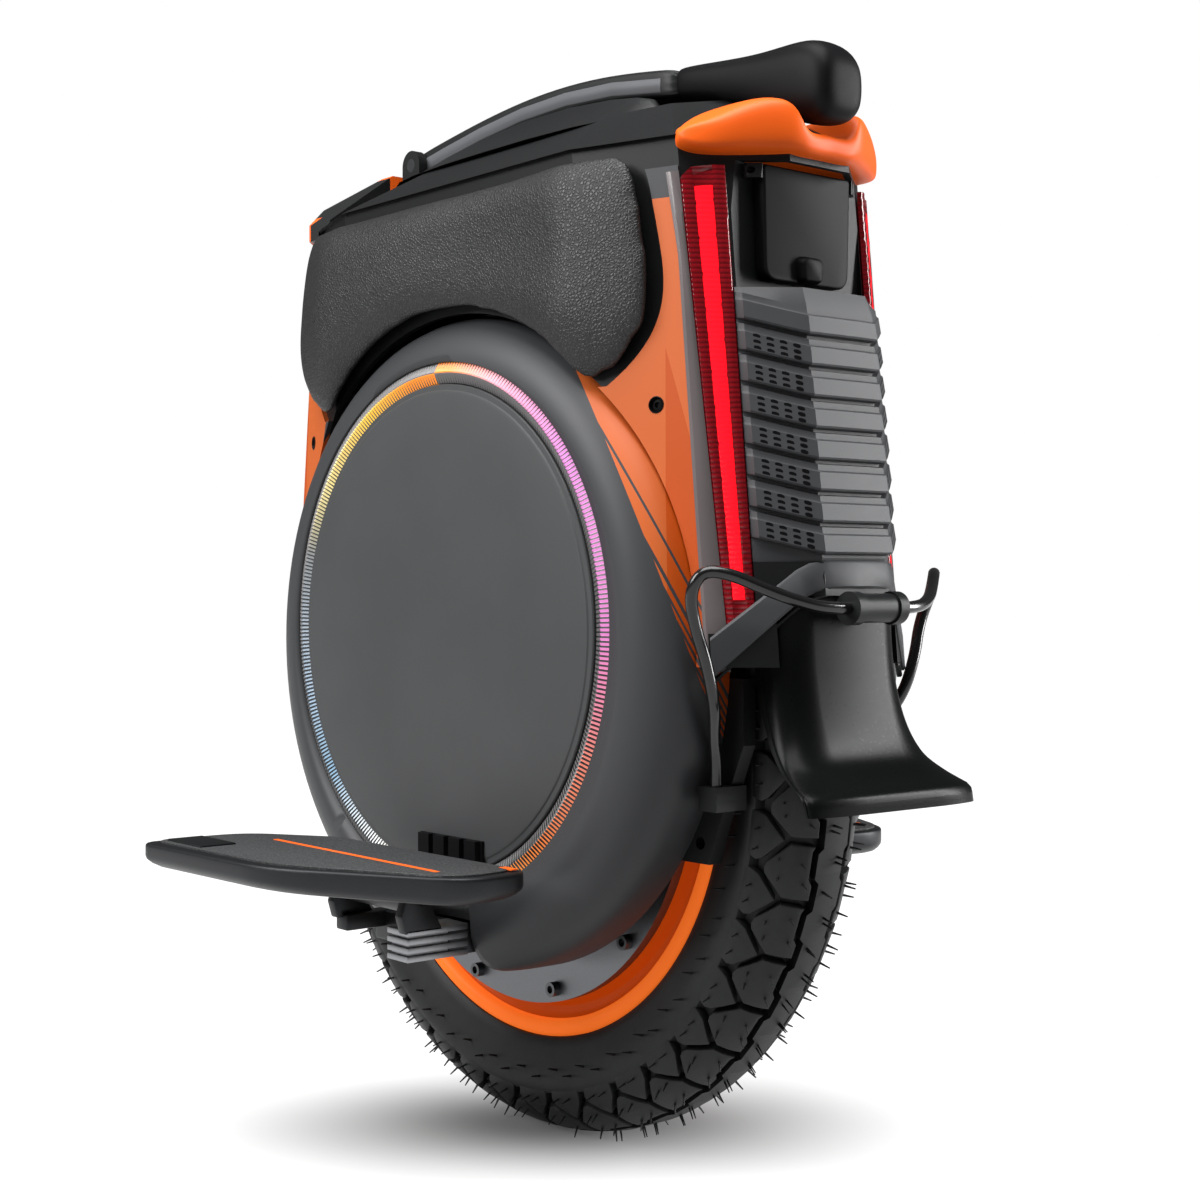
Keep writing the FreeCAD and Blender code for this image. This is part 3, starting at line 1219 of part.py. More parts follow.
def make_handle_grip():
    """Grip that hooks down behind the body into the notch of the tail rest."""
    length = GRIP_REAR_Y - GRIP_FRONT_Y
    height = GRIP_TOP_Z - GRIP_BOTTOM_Z
    outline = [(GRIP_FRONT_Y + u * length, GRIP_BOTTOM_Z + v * height) for u, v in GRIP_OUTLINE_SHARES]
    return prism_x(outline, -GRIP_HALF_WIDTH, GRIP_HALF_WIDTH)


def make_handle_pin():
    """Pin of the handle, held in the ears of the top cover."""
    reach = COLLAR_X + EAR_WALL
    return cylinder_x(PIVOT_PIN_RADIUS, -reach, reach, PIVOT_Y, PIVOT_Z)


# Pedals

def pedal_wire(z, inset, share):
    """Leaf shaped outline of a pedal at a height."""
    width = PEDAL_OUTER_X - PEDAL_INNER_X
    length = PEDAL_FRONT_Y - PEDAL_REAR_Y
    outline = [(PEDAL_INNER_X + u * width, PEDAL_REAR_Y + v * length) for u, v in PEDAL_OUTLINE_SHARES]
    points = [V(x, y, z) for x, y in offset_outline(outline, -inset)]
    return rounded_wire(points, [radius * width * share for radius in PEDAL_RADIUS_SHARES])


def make_pedal(side):
    """Pedal plate with a bevelled belly and a hinge knuckle."""
    waist = PEDAL_TOP_Z - PEDAL_RIM_HEIGHT
    foot = PEDAL_TOP_Z - PEDAL_THICKNESS
    rim = prism(pedal_wire(waist, 0, 1), Z_AXIS * PEDAL_RIM_HEIGHT)
    belly = loft([pedal_wire(foot, PEDAL_BELLY_INSET, PEDAL_BELLY_RADIUS_SHARE), pedal_wire(waist, 0, 1)])
    half = PEDAL_KNUCKLE_HALF_LENGTH
    radius = PEDAL_KNUCKLE_RADIUS
    knuckle = cylinder_y(radius, -half, half, PEDAL_PIVOT_X, PEDAL_PIVOT_Z)
    web = box(PEDAL_PIVOT_X - radius, PEDAL_PIVOT_X + radius, -half, half, PEDAL_PIVOT_Z, waist)
    pedal = joined([rim, belly, knuckle, web])
    bore = cylinder_y(PEDAL_PIN_RADIUS + PIN_CLEARANCE, -half - OVERRUN, half + OVERRUN,
                      PEDAL_PIVOT_X, PEDAL_PIVOT_Z)
    return on_side(pedal.cut(bore), side)


def make_pedal_deck(side):
    """Grip sheet on top of a pedal."""
    outline = pedal_wire(PEDAL_TOP_Z, PEDAL_DECK_INSET, PEDAL_DECK_RADIUS_SHARE)
    sheet = prism(outline, Z_AXIS * PEDAL_DECK_WALL)
    return on_side(sheet, side)


def make_pedal_bracket(side):
    """Ribbed bracket on a hanger's foot, with an ear at each end of the pedal's pin."""
    half = BRACKET_HALF_WIDTH
    block = box(HANGER_OUTER_X, BRACKET_END_X, -half, half, BRACKET_BOTTOM_Z, BRACKET_TOP_Z)
    start = PEDAL_KNUCKLE_HALF_LENGTH + PANEL_GAP
    radius = BRACKET_EAR_RADIUS
    pieces = [block]
    for y0, y1 in ((start, half), (-half, -start)):
        pieces.append(box(PEDAL_PIVOT_X - radius, PEDAL_PIVOT_X + radius, y0, y1, BRACKET_TOP_Z - OVERRUN,
                          PEDAL_PIVOT_Z))
        pieces.append(cylinder_y(radius, y0, y1, PEDAL_PIVOT_X, PEDAL_PIVOT_Z))
    bracket = joined(pieces)
    bracket = bracket.cut(cylinder_y(PEDAL_PIN_RADIUS, -half - OVERRUN, half + OVERRUN,
                                     PEDAL_PIVOT_X, PEDAL_PIVOT_Z))
    pitch = (BRACKET_TOP_Z - BRACKET_BOTTOM_Z) / (2 * BRACKET_RIB_COUNT + 1)
    for i in range(BRACKET_RIB_COUNT):
        low = BRACKET_BOTTOM_Z + (2 * i + 1) * pitch
        bracket = bracket.cut(box(BRACKET_END_X - BRACKET_RIB_DEPTH, BRACKET_END_X + OVERRUN,
                                  -half - OVERRUN, half + OVERRUN, low, low + pitch))
    return on_side(bracket, side)


def make_pedal_pins():
    """Hinge pins of both pedals."""
    half = BRACKET_HALF_WIDTH
    pin = cylinder_y(PEDAL_PIN_RADIUS, -half, half, PEDAL_PIVOT_X, PEDAL_PIVOT_Z)
    return group([on_side(pin, side) for side in BOTH_SIDES])


def make_bumpers():
    """Rubber strips on the discs that a folded pedal leans on."""
    face = COVER_FACE_X + DISC_PROUD
    base = box(face, face + BUMPER_BASE, BUMPER_REAR_Y, BUMPER_FRONT_Y, BUMPER_BOTTOM_Z, BUMPER_TOP_Z)
    pitch = (BUMPER_FRONT_Y - BUMPER_REAR_Y) / BUMPER_COUNT
    gap = pitch * (1 - BUMPER_HUMP_SHARE) / 2
    humps = [
        box(face, face + BUMPER_PROUD, BUMPER_REAR_Y + i * pitch + gap, BUMPER_REAR_Y + (i + 1) * pitch - gap,
            BUMPER_BOTTOM_Z, BUMPER_TOP_Z)
        for i in range(BUMPER_COUNT)
    ]
    strip = joined([base] + humps)
    return group([on_side(strip, side) for side in BOTH_SIDES])


# Electronics

def make_batteries():
    """Battery pack in each side cover, on the hanger's outer face."""
    outer = COVER_FACE_X - RING_SEAT_DEPTH - COVER_WALL - BATTERY_GAP
    pack = box(HANGER_OUTER_X, outer, COVER_Y - BATTERY_HALF_LENGTH, COVER_Y + BATTERY_HALF_LENGTH,
               BATTERY_BOTTOM_Z, BATTERY_TOP_Z)
    return group([on_side(pack, side) for side in BOTH_SIDES])


def make_heat_sink():
    """Heat sink block on the deck."""
    base = DECK_Z + DECK_WALL
    return box(-SINK_HALF_WIDTH, SINK_HALF_WIDTH, SINK_REAR_Y, SINK_FRONT_Y, base, base + SINK_HEIGHT)


def make_board():
    """Motor controller board on the heat sink."""
    base = DECK_Z + DECK_WALL + SINK_HEIGHT
    half = SINK_HALF_WIDTH - BOARD_MARGIN
    rear = SINK_REAR_Y + BOARD_MARGIN
    front = SINK_FRONT_Y - BOARD_MARGIN
    return box(-half, half, rear, front, base, base + BOARD_THICKNESS)


# Lead behind the wheel

# Middle line of the cable on the right, from the connector to the bracket
CABLE_ROUTE = [
    V(CONNECTOR_HALF_LENGTH, CONNECTOR_Y, CONNECTOR_Z),
    V(33.0, CONNECTOR_Y, CONNECTOR_Z),
    V(48.0, -231.0, 302.0),
    V(61.0, -222.0, 308.0),
    V(72.0, -214.0, 314.0),
    V(82.0, -206.0, 316.0),
    V(86.0, -201.0, 306.0),
    V(80.0, -198.0, 290.0),
    V(74.0, -200.0, 272.0),
    V(67.0, -198.0, 252.0),
    V(58.0, -188.0, 235.0),
    V(52.5, -184.0, 224.0),
    V(52.5, -184.0, CABLE_BOSS_TOP_Z),
]


def cable_path(points):
    """Straight runs joined by the largest tangent arcs that the runs allow, with the arcs' radii."""
    edges = []
    radii = []
    place = points[0]
    for before, here, after in zip(points, points[1:], points[2:]):
        back = before - here
        ahead = after - here
        reach = CABLE_CORNER_SHARE * min(back.Length, ahead.Length)
        back.normalize()
        ahead.normalize()
        half = back.getAngle(ahead) / 2
        radius = reach * math.tan(half)
        middle = (back + ahead).normalize()
        centre = here + middle * (radius / math.sin(half))
        start = here + back * reach
        end = here + ahead * reach
        edges.append(Part.LineSegment(place, start).toShape())
        edges.append(Part.Arc(start, centre - middle * radius, end).toShape())
        radii.append(radius)
        place = end
    edges.append(Part.LineSegment(place, points[-1]).toShape())
    return Part.Wire(edges), radii


def make_cable(side):
    """Cable from the connector round the rear corner down to its bracket."""
    path, radii = cable_path(CABLE_ROUTE)
    first = CABLE_ROUTE[1] - CABLE_ROUTE[0]
    section = Part.Wire(Part.makeCircle(CABLE_RADIUS, CABLE_ROUTE[0], first))
    tube = path.makePipeShell([section], True, False)
    share = tube.Volume / (math.pi * CABLE_RADIUS ** 2 * path.Length)
    print("cable length", round(path.Length, 1), "volume share", round(share, 2))
    print("cable radii", [round(r, 1) for r in radii])
    return on_side(tube, side)


def make_connector():
    """In-line connector with a collar at each end."""
    half = CONNECTOR_HALF_LENGTH
    barrel = cylinder_x(CONNECTOR_RADIUS, -half, half, CONNECTOR_Y, CONNECTOR_Z)
    start = half - CONNECTOR_COLLAR_LENGTH
    collar = cylinder_x(CONNECTOR_COLLAR_RADIUS, start, half, CONNECTOR_Y, CONNECTOR_Z)
    return joined([barrel] + [on_side(collar, side) for side in BOTH_SIDES])


def make_cable_brackets():
    """Brackets behind the side covers that hold the cable ends and have a hole for accessories."""
    length = CABLE_BRACKET_REAR_Y - CABLE_BRACKET_FRONT_Y
    height = CABLE_BRACKET_TOP_Z - CABLE_BRACKET_BOTTOM_Z
    outline = [(CABLE_BRACKET_FRONT_Y + u * length, CABLE_BRACKET_BOTTOM_Z + v * height)
               for u, v in CABLE_BRACKET_SHARES]
    plate = prism_x(outline, CABLE_BRACKET_INNER_X, COVER_INNER_X)
    reach = COVER_INNER_X + CABLE_BOSS_LENGTH
    boss = box(CABLE_BRACKET_INNER_X, reach, CABLE_BOSS_REAR_Y, CABLE_BOSS_FRONT_Y,
               CABLE_BOSS_BOTTOM_Z, CABLE_BOSS_TOP_Z)
    bracket = joined([plate, boss])
    hole = cylinder_x(BRACKET_HOLE_RADIUS, CABLE_BRACKET_INNER_X - OVERRUN, COVER_INNER_X + OVERRUN,
                      BRACKET_HOLE_Y, BRACKET_HOLE_Z)
    bracket = bracket.cut(hole)
    return group([on_side(bracket, side) for side in BOTH_SIDES])


# Nodes

def make_nodes():
    """All pieces by name."""
    nodes = {
        "tyre": make_tyre(),
        "inner_tube": make_inner_tube(),
        "valve_stem": make_valve(),
        "rim": make_rim(),
        "magnet_ring": make_magnet_ring(),
        "motor_covers": group([make_motor_cover(side) for side in BOTH_SIDES]),
        "motor_cover_screws": make_cover_screws(),
        "wheel_bearings": make_bearings(),
        "axle_shaft": make_axle(),
        "axle_nuts": make_axle_nuts(),
        "stator_core": make_stator(),
        "stator_windings": make_windings(),
        "wheel_arch": make_wheel_arch(),
        "main_shell": make_main_shell(),
        "rear_panel": make_rear_panel(),
        "rear_arch": make_rear_arch(),
        "mudguard": make_mudguard(),
        "port_flap": make_port_flap(),
        "charge_port": make_charge_port(),
        "panel_screws": make_panel_screws(),
        "top_cover": make_top_cover(),
        "power_button": make_power_button(),
        "display": make_display(),
        "tail_rest": make_tail_rest(),
        "front_nose": make_front_nose(),
        "front_panel": make_front_panel(),
        "front_trims": group([make_trim(side, 1) for side in BOTH_SIDES]),
        "headlamp": make_headlamp(),
        "handle_bar": make_handle_bar(),
        "handle_grip": make_handle_grip(),
        "handle_pin": make_handle_pin(),
        "pedal_pins": make_pedal_pins(),
        "cover_bumpers": make_bumpers(),
        "battery_packs": make_batteries(),
        "heat_sink": make_heat_sink(),
        "controller_board": make_board(),
        "cable_connector": make_connector(),
        "cable_brackets": make_cable_brackets(),
    }
    for side, word in ((1, "right"), (-1, "left")):
        nodes["hanger_" + word] = make_hanger(side)
        nodes["side_cover_" + word] = make_side_cover(side)
        nodes["side_disc_" + word] = make_side_disc(side)
        nodes["light_ring_" + word] = make_light_ring(side)
        nodes["knee_pad_" + word] = make_knee_pad(side)
        nodes["rear_trim_" + word] = make_trim(side, -1)
        nodes["tail_lamp_" + word] = make_tail_lamp(side)
        nodes["pedal_" + word] = make_pedal(side)
        nodes["pedal_deck_" + word] = make_pedal_deck(side)
        nodes["pedal_bracket_" + word] = make_pedal_bracket(side)
        nodes["cable_" + word] = make_cable(side)
    return nodes


os.makedirs("parts", exist_ok=True)
for name, shape in make_nodes().items():
    shape.exportStep(os.path.join("parts", name + ".step"))
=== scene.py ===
"""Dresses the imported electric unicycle: finishes, tread, padding, leads, lamps and trim."""
import logging
import math
from dataclasses import dataclass
from enum import Enum
from typing import Callable, Iterable, Iterator, Sequence

import bmesh
import bpy
from bmesh.types import BMEdge, BMesh, BMVert
from bpy.types import Material, Node, NodeOutputs, NodeSocket, NodeTree, Object
from mathutils import Matrix, Vector

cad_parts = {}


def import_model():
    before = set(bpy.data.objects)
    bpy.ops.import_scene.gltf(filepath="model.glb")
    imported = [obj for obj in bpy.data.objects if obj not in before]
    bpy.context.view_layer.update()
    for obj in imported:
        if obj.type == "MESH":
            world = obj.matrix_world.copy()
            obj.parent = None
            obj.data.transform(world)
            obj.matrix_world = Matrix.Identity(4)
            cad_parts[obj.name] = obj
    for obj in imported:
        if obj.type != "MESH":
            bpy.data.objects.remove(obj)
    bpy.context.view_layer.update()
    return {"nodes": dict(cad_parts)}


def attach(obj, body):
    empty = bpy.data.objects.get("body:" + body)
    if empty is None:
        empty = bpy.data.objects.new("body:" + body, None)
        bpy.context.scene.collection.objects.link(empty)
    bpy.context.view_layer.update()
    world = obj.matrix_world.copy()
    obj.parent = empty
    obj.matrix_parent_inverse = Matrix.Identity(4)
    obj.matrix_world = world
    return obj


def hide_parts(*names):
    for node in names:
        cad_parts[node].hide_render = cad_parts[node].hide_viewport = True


LOG = logging.getLogger("unicycle")
MM = 0.001
FULL_TURN = 2.0 * math.pi
AXLE = Vector((1.0, 0.0, 0.0))
SIDES = (1, -1)
Pair = tuple[float, float]
Pairs = tuple[Pair, ...]
Triple = tuple[float, float, float]
Numbers = tuple[float, ...]
Colour = tuple[float, float, float, float]
Feed = NodeSocket | float


def side_name(side: int) -> str:
    """Names a side of the part: positive X is right."""
    return "right" if side > 0 else "left"


def millimetres(*values: float) -> Vector:
    """Turns a point in millimetres into a vector in metres."""
    return Vector(values) * MM


def in_metres(points: Iterable[Pair]) -> list[Pair]:
    """Turns pairs in millimetres into pairs in metres."""
    return [(a * MM, b * MM) for a, b in points]


def linear(hex_colour: str) -> Colour:
    """Turns an sRGB hex colour into linear RGBA.

    Args:
        hex_colour: Colour such as "#E8631A".

    Returns:
        Linear red, green, blue and an alpha of 1.
    """
    channels = [int(hex_colour[i:i + 2], 16) / 255.0 for i in (1, 3, 5)]
    bent = [c / 12.92 if c <= 0.04045 else ((c + 0.055) / 1.055) ** 2.4 for c in channels]
    return (*bent, 1.0)


def add_node(tree: NodeTree, kind: str, inputs: dict | None = None, **settings) -> Node:
    """Adds a shader node with its settings, constants and links.

    Args:
        tree: Node tree that takes the node.
        kind: Node type, such as "ShaderNodeTexNoise".
        inputs: Socket name or number to a constant, or to an output socket to link from.
        **settings: Attributes of the node.

    Returns:
        The new node.
    """
    node = tree.nodes.new(kind)
    for name, value in settings.items():
        setattr(node, name, value)
    for key, value in (inputs or {}).items():
        socket = node.inputs[key]
        if isinstance(value, NodeSocket):
            tree.links.new(value, socket)
        else:
            socket.default_value = value
    return node


def new_object(name: str, mesh: BMesh, smooth_deg: float = 35.0) -> Object:
    """Turns a bmesh into a linked object at the origin, shaded smooth up to an angle.

    Args:
        name: Name of the piece.
        mesh: Finished bmesh, which is freed.
        smooth_deg: Edges sharper than this stay sharp.

    Returns:
        The new object.
    """
    limit = math.radians(smooth_deg)
    for face in mesh.faces:
        face.smooth = True
    for edge in mesh.edges:
        if len(edge.link_faces) == 2 and edge.calc_face_angle(0.0) > limit:
            edge.smooth = False
    data = bpy.data.meshes.new(name)
    mesh.to_mesh(data)
    mesh.free()
    made = bpy.data.objects.new(name, data)
    bpy.context.scene.collection.objects.link(made)
    return made


def clean(mesh: BMesh, distance: float = 0.02 * MM) -> None:
    """Merges doubles and turns the faces outwards."""
    bmesh.ops.remove_doubles(mesh, verts=mesh.verts, dist=distance)
    bmesh.ops.recalc_face_normals(mesh, faces=mesh.faces)


def bevel(mesh: BMesh, edges: Iterable[BMEdge], offset: float, segments: int = 2) -> None:
    """Rounds edges with a plain profile."""
    bmesh.ops.bevel(mesh, geom=list(edges), offset=offset, offset_type="OFFSET", segments=segments,
                    profile=0.5, affect="EDGES", material=-1, clamp_overlap=True)


def smoothed(mesh: BMesh, passes: int) -> None:
    """Evens out a mesh by moving each point towards its neighbours."""
    for _ in range(passes):
        bmesh.ops.smooth_vert(mesh, verts=mesh.verts, factor=0.5, use_axis_x=True, use_axis_y=True,
                              use_axis_z=True)


def rounding(obj: Object, levels: int) -> None:
    """Rounds a piece by subdivision."""
    smooth = obj.modifiers.new("rounding", "SUBSURF")
    smooth.levels = smooth.render_levels = levels


def apply_modifiers(obj: Object) -> None:
    """Turns the object's modifiers into its mesh.

    Args:
        obj: Object whose modifiers are used up.
    """
    bpy.context.view_layer.update()
    seen = obj.evaluated_get(bpy.context.evaluated_depsgraph_get())
    spare = obj.data
    result = bpy.data.meshes.new_from_object(seen)
    obj.modifiers.clear()
    obj.data = result
    bpy.data.meshes.remove(spare)


def lofted(loops: Sequence[Sequence[Sequence[float]]], capped: bool = True) -> BMesh:
    """Skins closed loops of equal counts.

    Args:
        loops: Rings of points, from one end to the other.
        capped: Whether the two ends are closed by a face.

    Returns:
        The skin, with its faces outwards.
    """
    mesh = bmesh.new()
    rings = [[mesh.verts.new(point) for point in points] for points in loops]
    for lower, upper in zip(rings, rings[1:]):
        for i, vert in enumerate(lower):
            after = (i + 1) % len(lower)
            mesh.faces.new((vert, lower[after], upper[after], upper[i]))
    if capped:
        for ring in (rings[0], rings[-1]):
            mesh.faces.new(ring)
    clean(mesh)
    return mesh


def spun(profile: Sequence[Pair], centre: Vector, steps: int, closed: bool) -> BMesh:
    """Spins a profile of (reach along X, radius) points round an axle along X.

    Args:
        profile: Points in metres; a closed profile joins its last point to its first.
        centre: Point on the axle.
        steps: Divisions of the turn.
        closed: Whether the profile is a closed ring.

    Returns:
        The spun mesh, with its faces outwards.
    """
    mesh = bmesh.new()
    verts = [mesh.verts.new((centre.x + x, centre.y, centre.z + r)) for x, r in profile]
    ends = verts[1:] + verts[:1] if closed else verts[1:]
    edges = [mesh.edges.new((a, b)) for a, b in zip(verts, ends)]
    bmesh.ops.spin(mesh, geom=verts + edges, cent=centre, axis=AXLE, angle=FULL_TURN, steps=steps,
                   use_merge=True, use_duplicate=False)
    clean(mesh)
    return mesh


def merged(parts: Iterable[BMesh]) -> BMesh:
    """Gathers several meshes in one and frees them.

    Args:
        parts: Meshes to gather, which are freed.

    Returns:
        One mesh that holds them all.
    """
    whole = bmesh.new()
    store = bpy.data.meshes.new("part_store")
    for part in parts:
        part.to_mesh(store)
        part.free()
        whole.from_mesh(store)
    bpy.data.meshes.remove(store)
    return whole


def mirrored(mesh: BMesh) -> BMesh:
    """Copies a mesh to the other side of the middle plane.

    Args:
        mesh: Mesh to copy.

    Returns:
        Its mirror image across the middle plane.
    """
    twin = mesh.copy()
    bmesh.ops.scale(twin, vec=(-1.0, 1.0, 1.0), verts=twin.verts)
    bmesh.ops.recalc_face_normals(twin, faces=twin.faces)
    return twin


def on_side(mesh: BMesh, side: int) -> BMesh:
    """Gives a mesh drawn for the right to its own side."""
    return mesh if side > 0 else mirrored(mesh)


def sided(name: str, mesh: BMesh, side: int, smooth_deg: float = 35.0) -> Object:
    """Makes one of a pair of pieces from a mesh drawn for the right, with its side in its name."""
    return new_object(f"{name}_{side_name(side)}", on_side(mesh, side), smooth_deg)


def dress(obj: Object, material: Material) -> None:
    """Gives an object one material in place of those it has."""
    obj.data.materials.clear()
    obj.data.materials.append(material)


class Shader:
    """A material with its principled shader, object coordinates and output."""

    def __init__(self, name: str, **sockets) -> None:
        """Starts a material.

        Args:
            name: Name of the material.
            **sockets: Principled sockets, with underscores for blanks, and their constants.
        """
        self.material = bpy.data.materials.new(name)
        self.material.use_nodes = True
        self.tree = self.material.node_tree
        self.principled = self.tree.nodes["Principled BSDF"]
        self.coords = add_node(self.tree, "ShaderNodeTexCoord").outputs["Object"]
        for key, value in sockets.items():
            self.principled.inputs[key.replace("_", " ")].default_value = value

    def node(self, kind: str, inputs: dict | None = None, **settings) -> Node:
        """Adds a node to this material."""
        return add_node(self.tree, kind, inputs, **settings)

    def math(self, operation: str, first: Feed, second: Feed = 0.0) -> NodeSocket:
        """Adds a calculation on two values and gives its result."""
        return self.node("ShaderNodeMath", {0: first, 1: second}, operation=operation).outputs[0]

    def noise(self, size_mm: float, detail: float = 2.0, roughness: float = 0.5) -> NodeSocket:
        """Adds noise whose lumps are about a size and gives its value."""
        sockets = {"Vector": self.coords, "Scale": 1.0 / (size_mm * MM), "Detail": detail,
                   "Roughness": roughness}
        return self.node("ShaderNodeTexNoise", sockets).outputs["Fac"]

    def ramp(self, value: Feed, stops: Sequence[tuple[float, Colour]], mode: str = "LINEAR") -> NodeSocket:
        """Adds a colour ramp over a value.

        Args:
            value: Value that picks the colour.
            stops: Places from 0 to 1 with their colours, in order.
            mode: How the colours run from stop to stop.

        Returns:
            The ramp's colour.
        """
        node = self.node("ShaderNodeValToRGB", {"Fac": value})
        ramp = node.color_ramp
        ramp.interpolation = mode
        while len(ramp.elements) < len(stops):
            ramp.elements.new(1.0)
        for element, (place, colour) in zip(ramp.elements, stops):
            element.position = place
            element.color = colour
        return node.outputs["Color"]

    def link(self, socket: str, value: NodeSocket) -> None:
        """Feeds a socket of the principled shader."""
        self.tree.links.new(value, self.principled.inputs[socket])

    def bump(self, height: Feed, strength: float, depth_mm: float) -> None:
        """Raises the surface by a height from 0 to 1."""
        sockets = {"Height": height, "Strength": strength, "Distance": depth_mm * MM}
        self.link("Normal", self.node("ShaderNodeBump", sockets).outputs["Normal"])

    def axes(self) -> NodeOutputs:
        """Splits the object coordinates into X, Y and Z."""
        return self.node("ShaderNodeSeparateXYZ", {0: self.coords}).outputs

    def mix(self, factor: Feed, first: Feed | Colour, second: Feed | Colour) -> NodeSocket:
        """Adds a blend of two colours and gives its colour."""
        return self.node("ShaderNodeMix", {"Factor": factor, 6: first, 7: second},
                         data_type="RGBA").outputs[2]

    def vary(self, value: Feed, low: float, high: float) -> NodeSocket:
        """Stretches a value from 0 to 1 between two ends."""
        sockets = {"Value": value, "To Min": low, "To Max": high}
        return self.node("ShaderNodeMapRange", sockets).outputs["Result"]


def grey(level: float) -> Colour:
    """Gives a neutral linear colour."""
    return (level, level, level, 1.0)


def scaled(colour: Colour, factor: float) -> Colour:
    """Makes a linear colour lighter or darker."""
    return tuple(c * factor for c in colour[:3]) + (1.0,)


@dataclass(frozen=True)
class MouldedPlastic:
    """Injection moulded ABS with a spark eroded grain that breaks up its highlights; a glow, where set, is
    painted light.
    """

    name: str
    colour: str
    roughness: float = 0.46
    grain_mm: float = 0.9
    depth_mm: float = 0.05
    coat: float = 0.0
    specular: float = 0.32
    # Emission of a part that is no lamp: painted light that lifts its brightness.
    glow: float = 0.0
    cloud_mm: float = 60.0
    shades: Pair = (0.93, 1.07)
    spread: float = 0.06

    def build(self) -> Material:
        """Makes the material; the real grain is finer and is drawn this coarse to show.

        Returns:
            The finished material.
        """
        base = linear(self.colour)
        # Painted light: the emission glows in the base colour at the glow's strength.
        shader = Shader(self.name, IOR=1.5, Specular_IOR_Level=self.specular, Coat_Weight=self.coat,
                        Coat_Roughness=0.12, Emission_Color=base, Emission_Strength=self.glow)
        cloud = shader.noise(self.cloud_mm, 3.0)
        dark, light = self.shades
        shader.link("Base Color", shader.ramp(cloud, [(0.3, scaled(base, dark)), (0.7, scaled(base, light))]))
        grain = shader.noise(self.grain_mm, 1.0)
        shader.link("Roughness",
                    shader.vary(grain, self.roughness - self.spread, self.roughness + self.spread))
        shader.bump(grain, 0.35, self.depth_mm)
        return shader.material


@dataclass(frozen=True)
class PadLeather:
    """Embossed synthetic leather over foam: pebbles with fine valleys and a soft sheen."""

    name: str
    colour: str = "#1B1B1C"
    valley: str = "#0A0A0B"
    pebble_mm: float = 1.8
    warp_mm: Pair = (4.0, 1.1)
    valley_share: float = 0.32

    def build(self) -> Material:
        """Makes the material.

        Returns:
            The finished material.
        """
        shader = Shader(self.name, IOR=1.5, Specular_IOR_Level=0.45)
        spacing, reach = (size * MM for size in self.warp_mm)
        warp = shader.node("ShaderNodeTexNoise",
                           {"Vector": shader.coords, "Scale": 1.0 / spacing, "Detail": 2.0})
        bent = shader.node("ShaderNodeVectorMath", {0: warp.outputs["Color"], 3: reach}, operation="SCALE")
        place = shader.node("ShaderNodeVectorMath", {0: shader.coords, 1: bent.outputs[0]}, operation="ADD")
        sockets = {"Vector": place.outputs[0], "Scale": 1.0 / (self.pebble_mm * MM)}
        edge = shader.node("ShaderNodeTexVoronoi", sockets, feature="DISTANCE_TO_EDGE").outputs["Distance"]
        rise = shader.node("ShaderNodeMapRange", {"Value": edge, "From Max": self.valley_share},
                           interpolation_type="SMOOTHSTEP")
        height = rise.outputs["Result"]
        shader.link("Base Color",
                    shader.ramp(height, [(0.0, linear(self.valley)), (0.75, linear(self.colour))]))
        shader.link("Roughness", shader.vary(height, 0.6, 0.38))
        fine = shader.math("MULTIPLY", shader.noise(0.8, 2.0), 0.25)
        shader.bump(shader.math("ADD", height, fine), 0.55, 0.32)
        return shader.material


@dataclass(frozen=True)
class TyreRubber:
    """Vulcanised tread rubber, faintly dusty in broad patches."""

    name: str
    colour: str = "#161617"
    dust: str = "#202122"
    roughness: float = 0.5

    def build(self) -> Material:
        """Makes the material.

        Returns:
            The finished material.
        """
        shader = Shader(self.name, IOR=1.5, Specular_IOR_Level=0.3)
        cloud = shader.noise(18.0, 4.0, 0.6)
        shader.link("Base Color",
                    shader.ramp(cloud, [(0.35, linear(self.colour)), (0.75, linear(self.dust))]))
        grain = shader.noise(0.7, 2.0)
        shader.link("Roughness", shader.vary(grain, self.roughness - 0.05, self.roughness + 0.12))
        shader.bump(grain, 0.3, 0.08)
        return shader.material


@dataclass(frozen=True)
class Metal:
    """Metal with a fine drawn or blasted surface."""

    name: str
    colour: str
    roughness: float
    stretch: Triple = (1.0, 1.0, 1.0)
    grain_mm: float = 0.6
    metallic: float = 1.0

    def build(self) -> Material:
        """Makes the material; the stretch draws the grain along a direction.

        Returns:
            The finished material.
        """
        shader = Shader(self.name, Metallic=self.metallic)
        drawn = shader.node("ShaderNodeMapping",
                            {"Vector": shader.coords, "Scale": self.stretch}).outputs["Vector"]
        sockets = {"Vector": drawn, "Scale": 1.0 / (self.grain_mm * MM), "Detail": 3.0}
        grain = shader.node("ShaderNodeTexNoise", sockets).outputs["Fac"]
        base = linear(self.colour)
        dull = scaled(base, 0.85)
        shader.link("Base Color", shader.ramp(grain, [(0.3, dull), (0.7, base)]))
        shader.link("Roughness", shader.vary(grain, self.roughness - 0.07, self.roughness + 0.09))
        shader.bump(grain, 0.2, 0.04)
        return shader.material


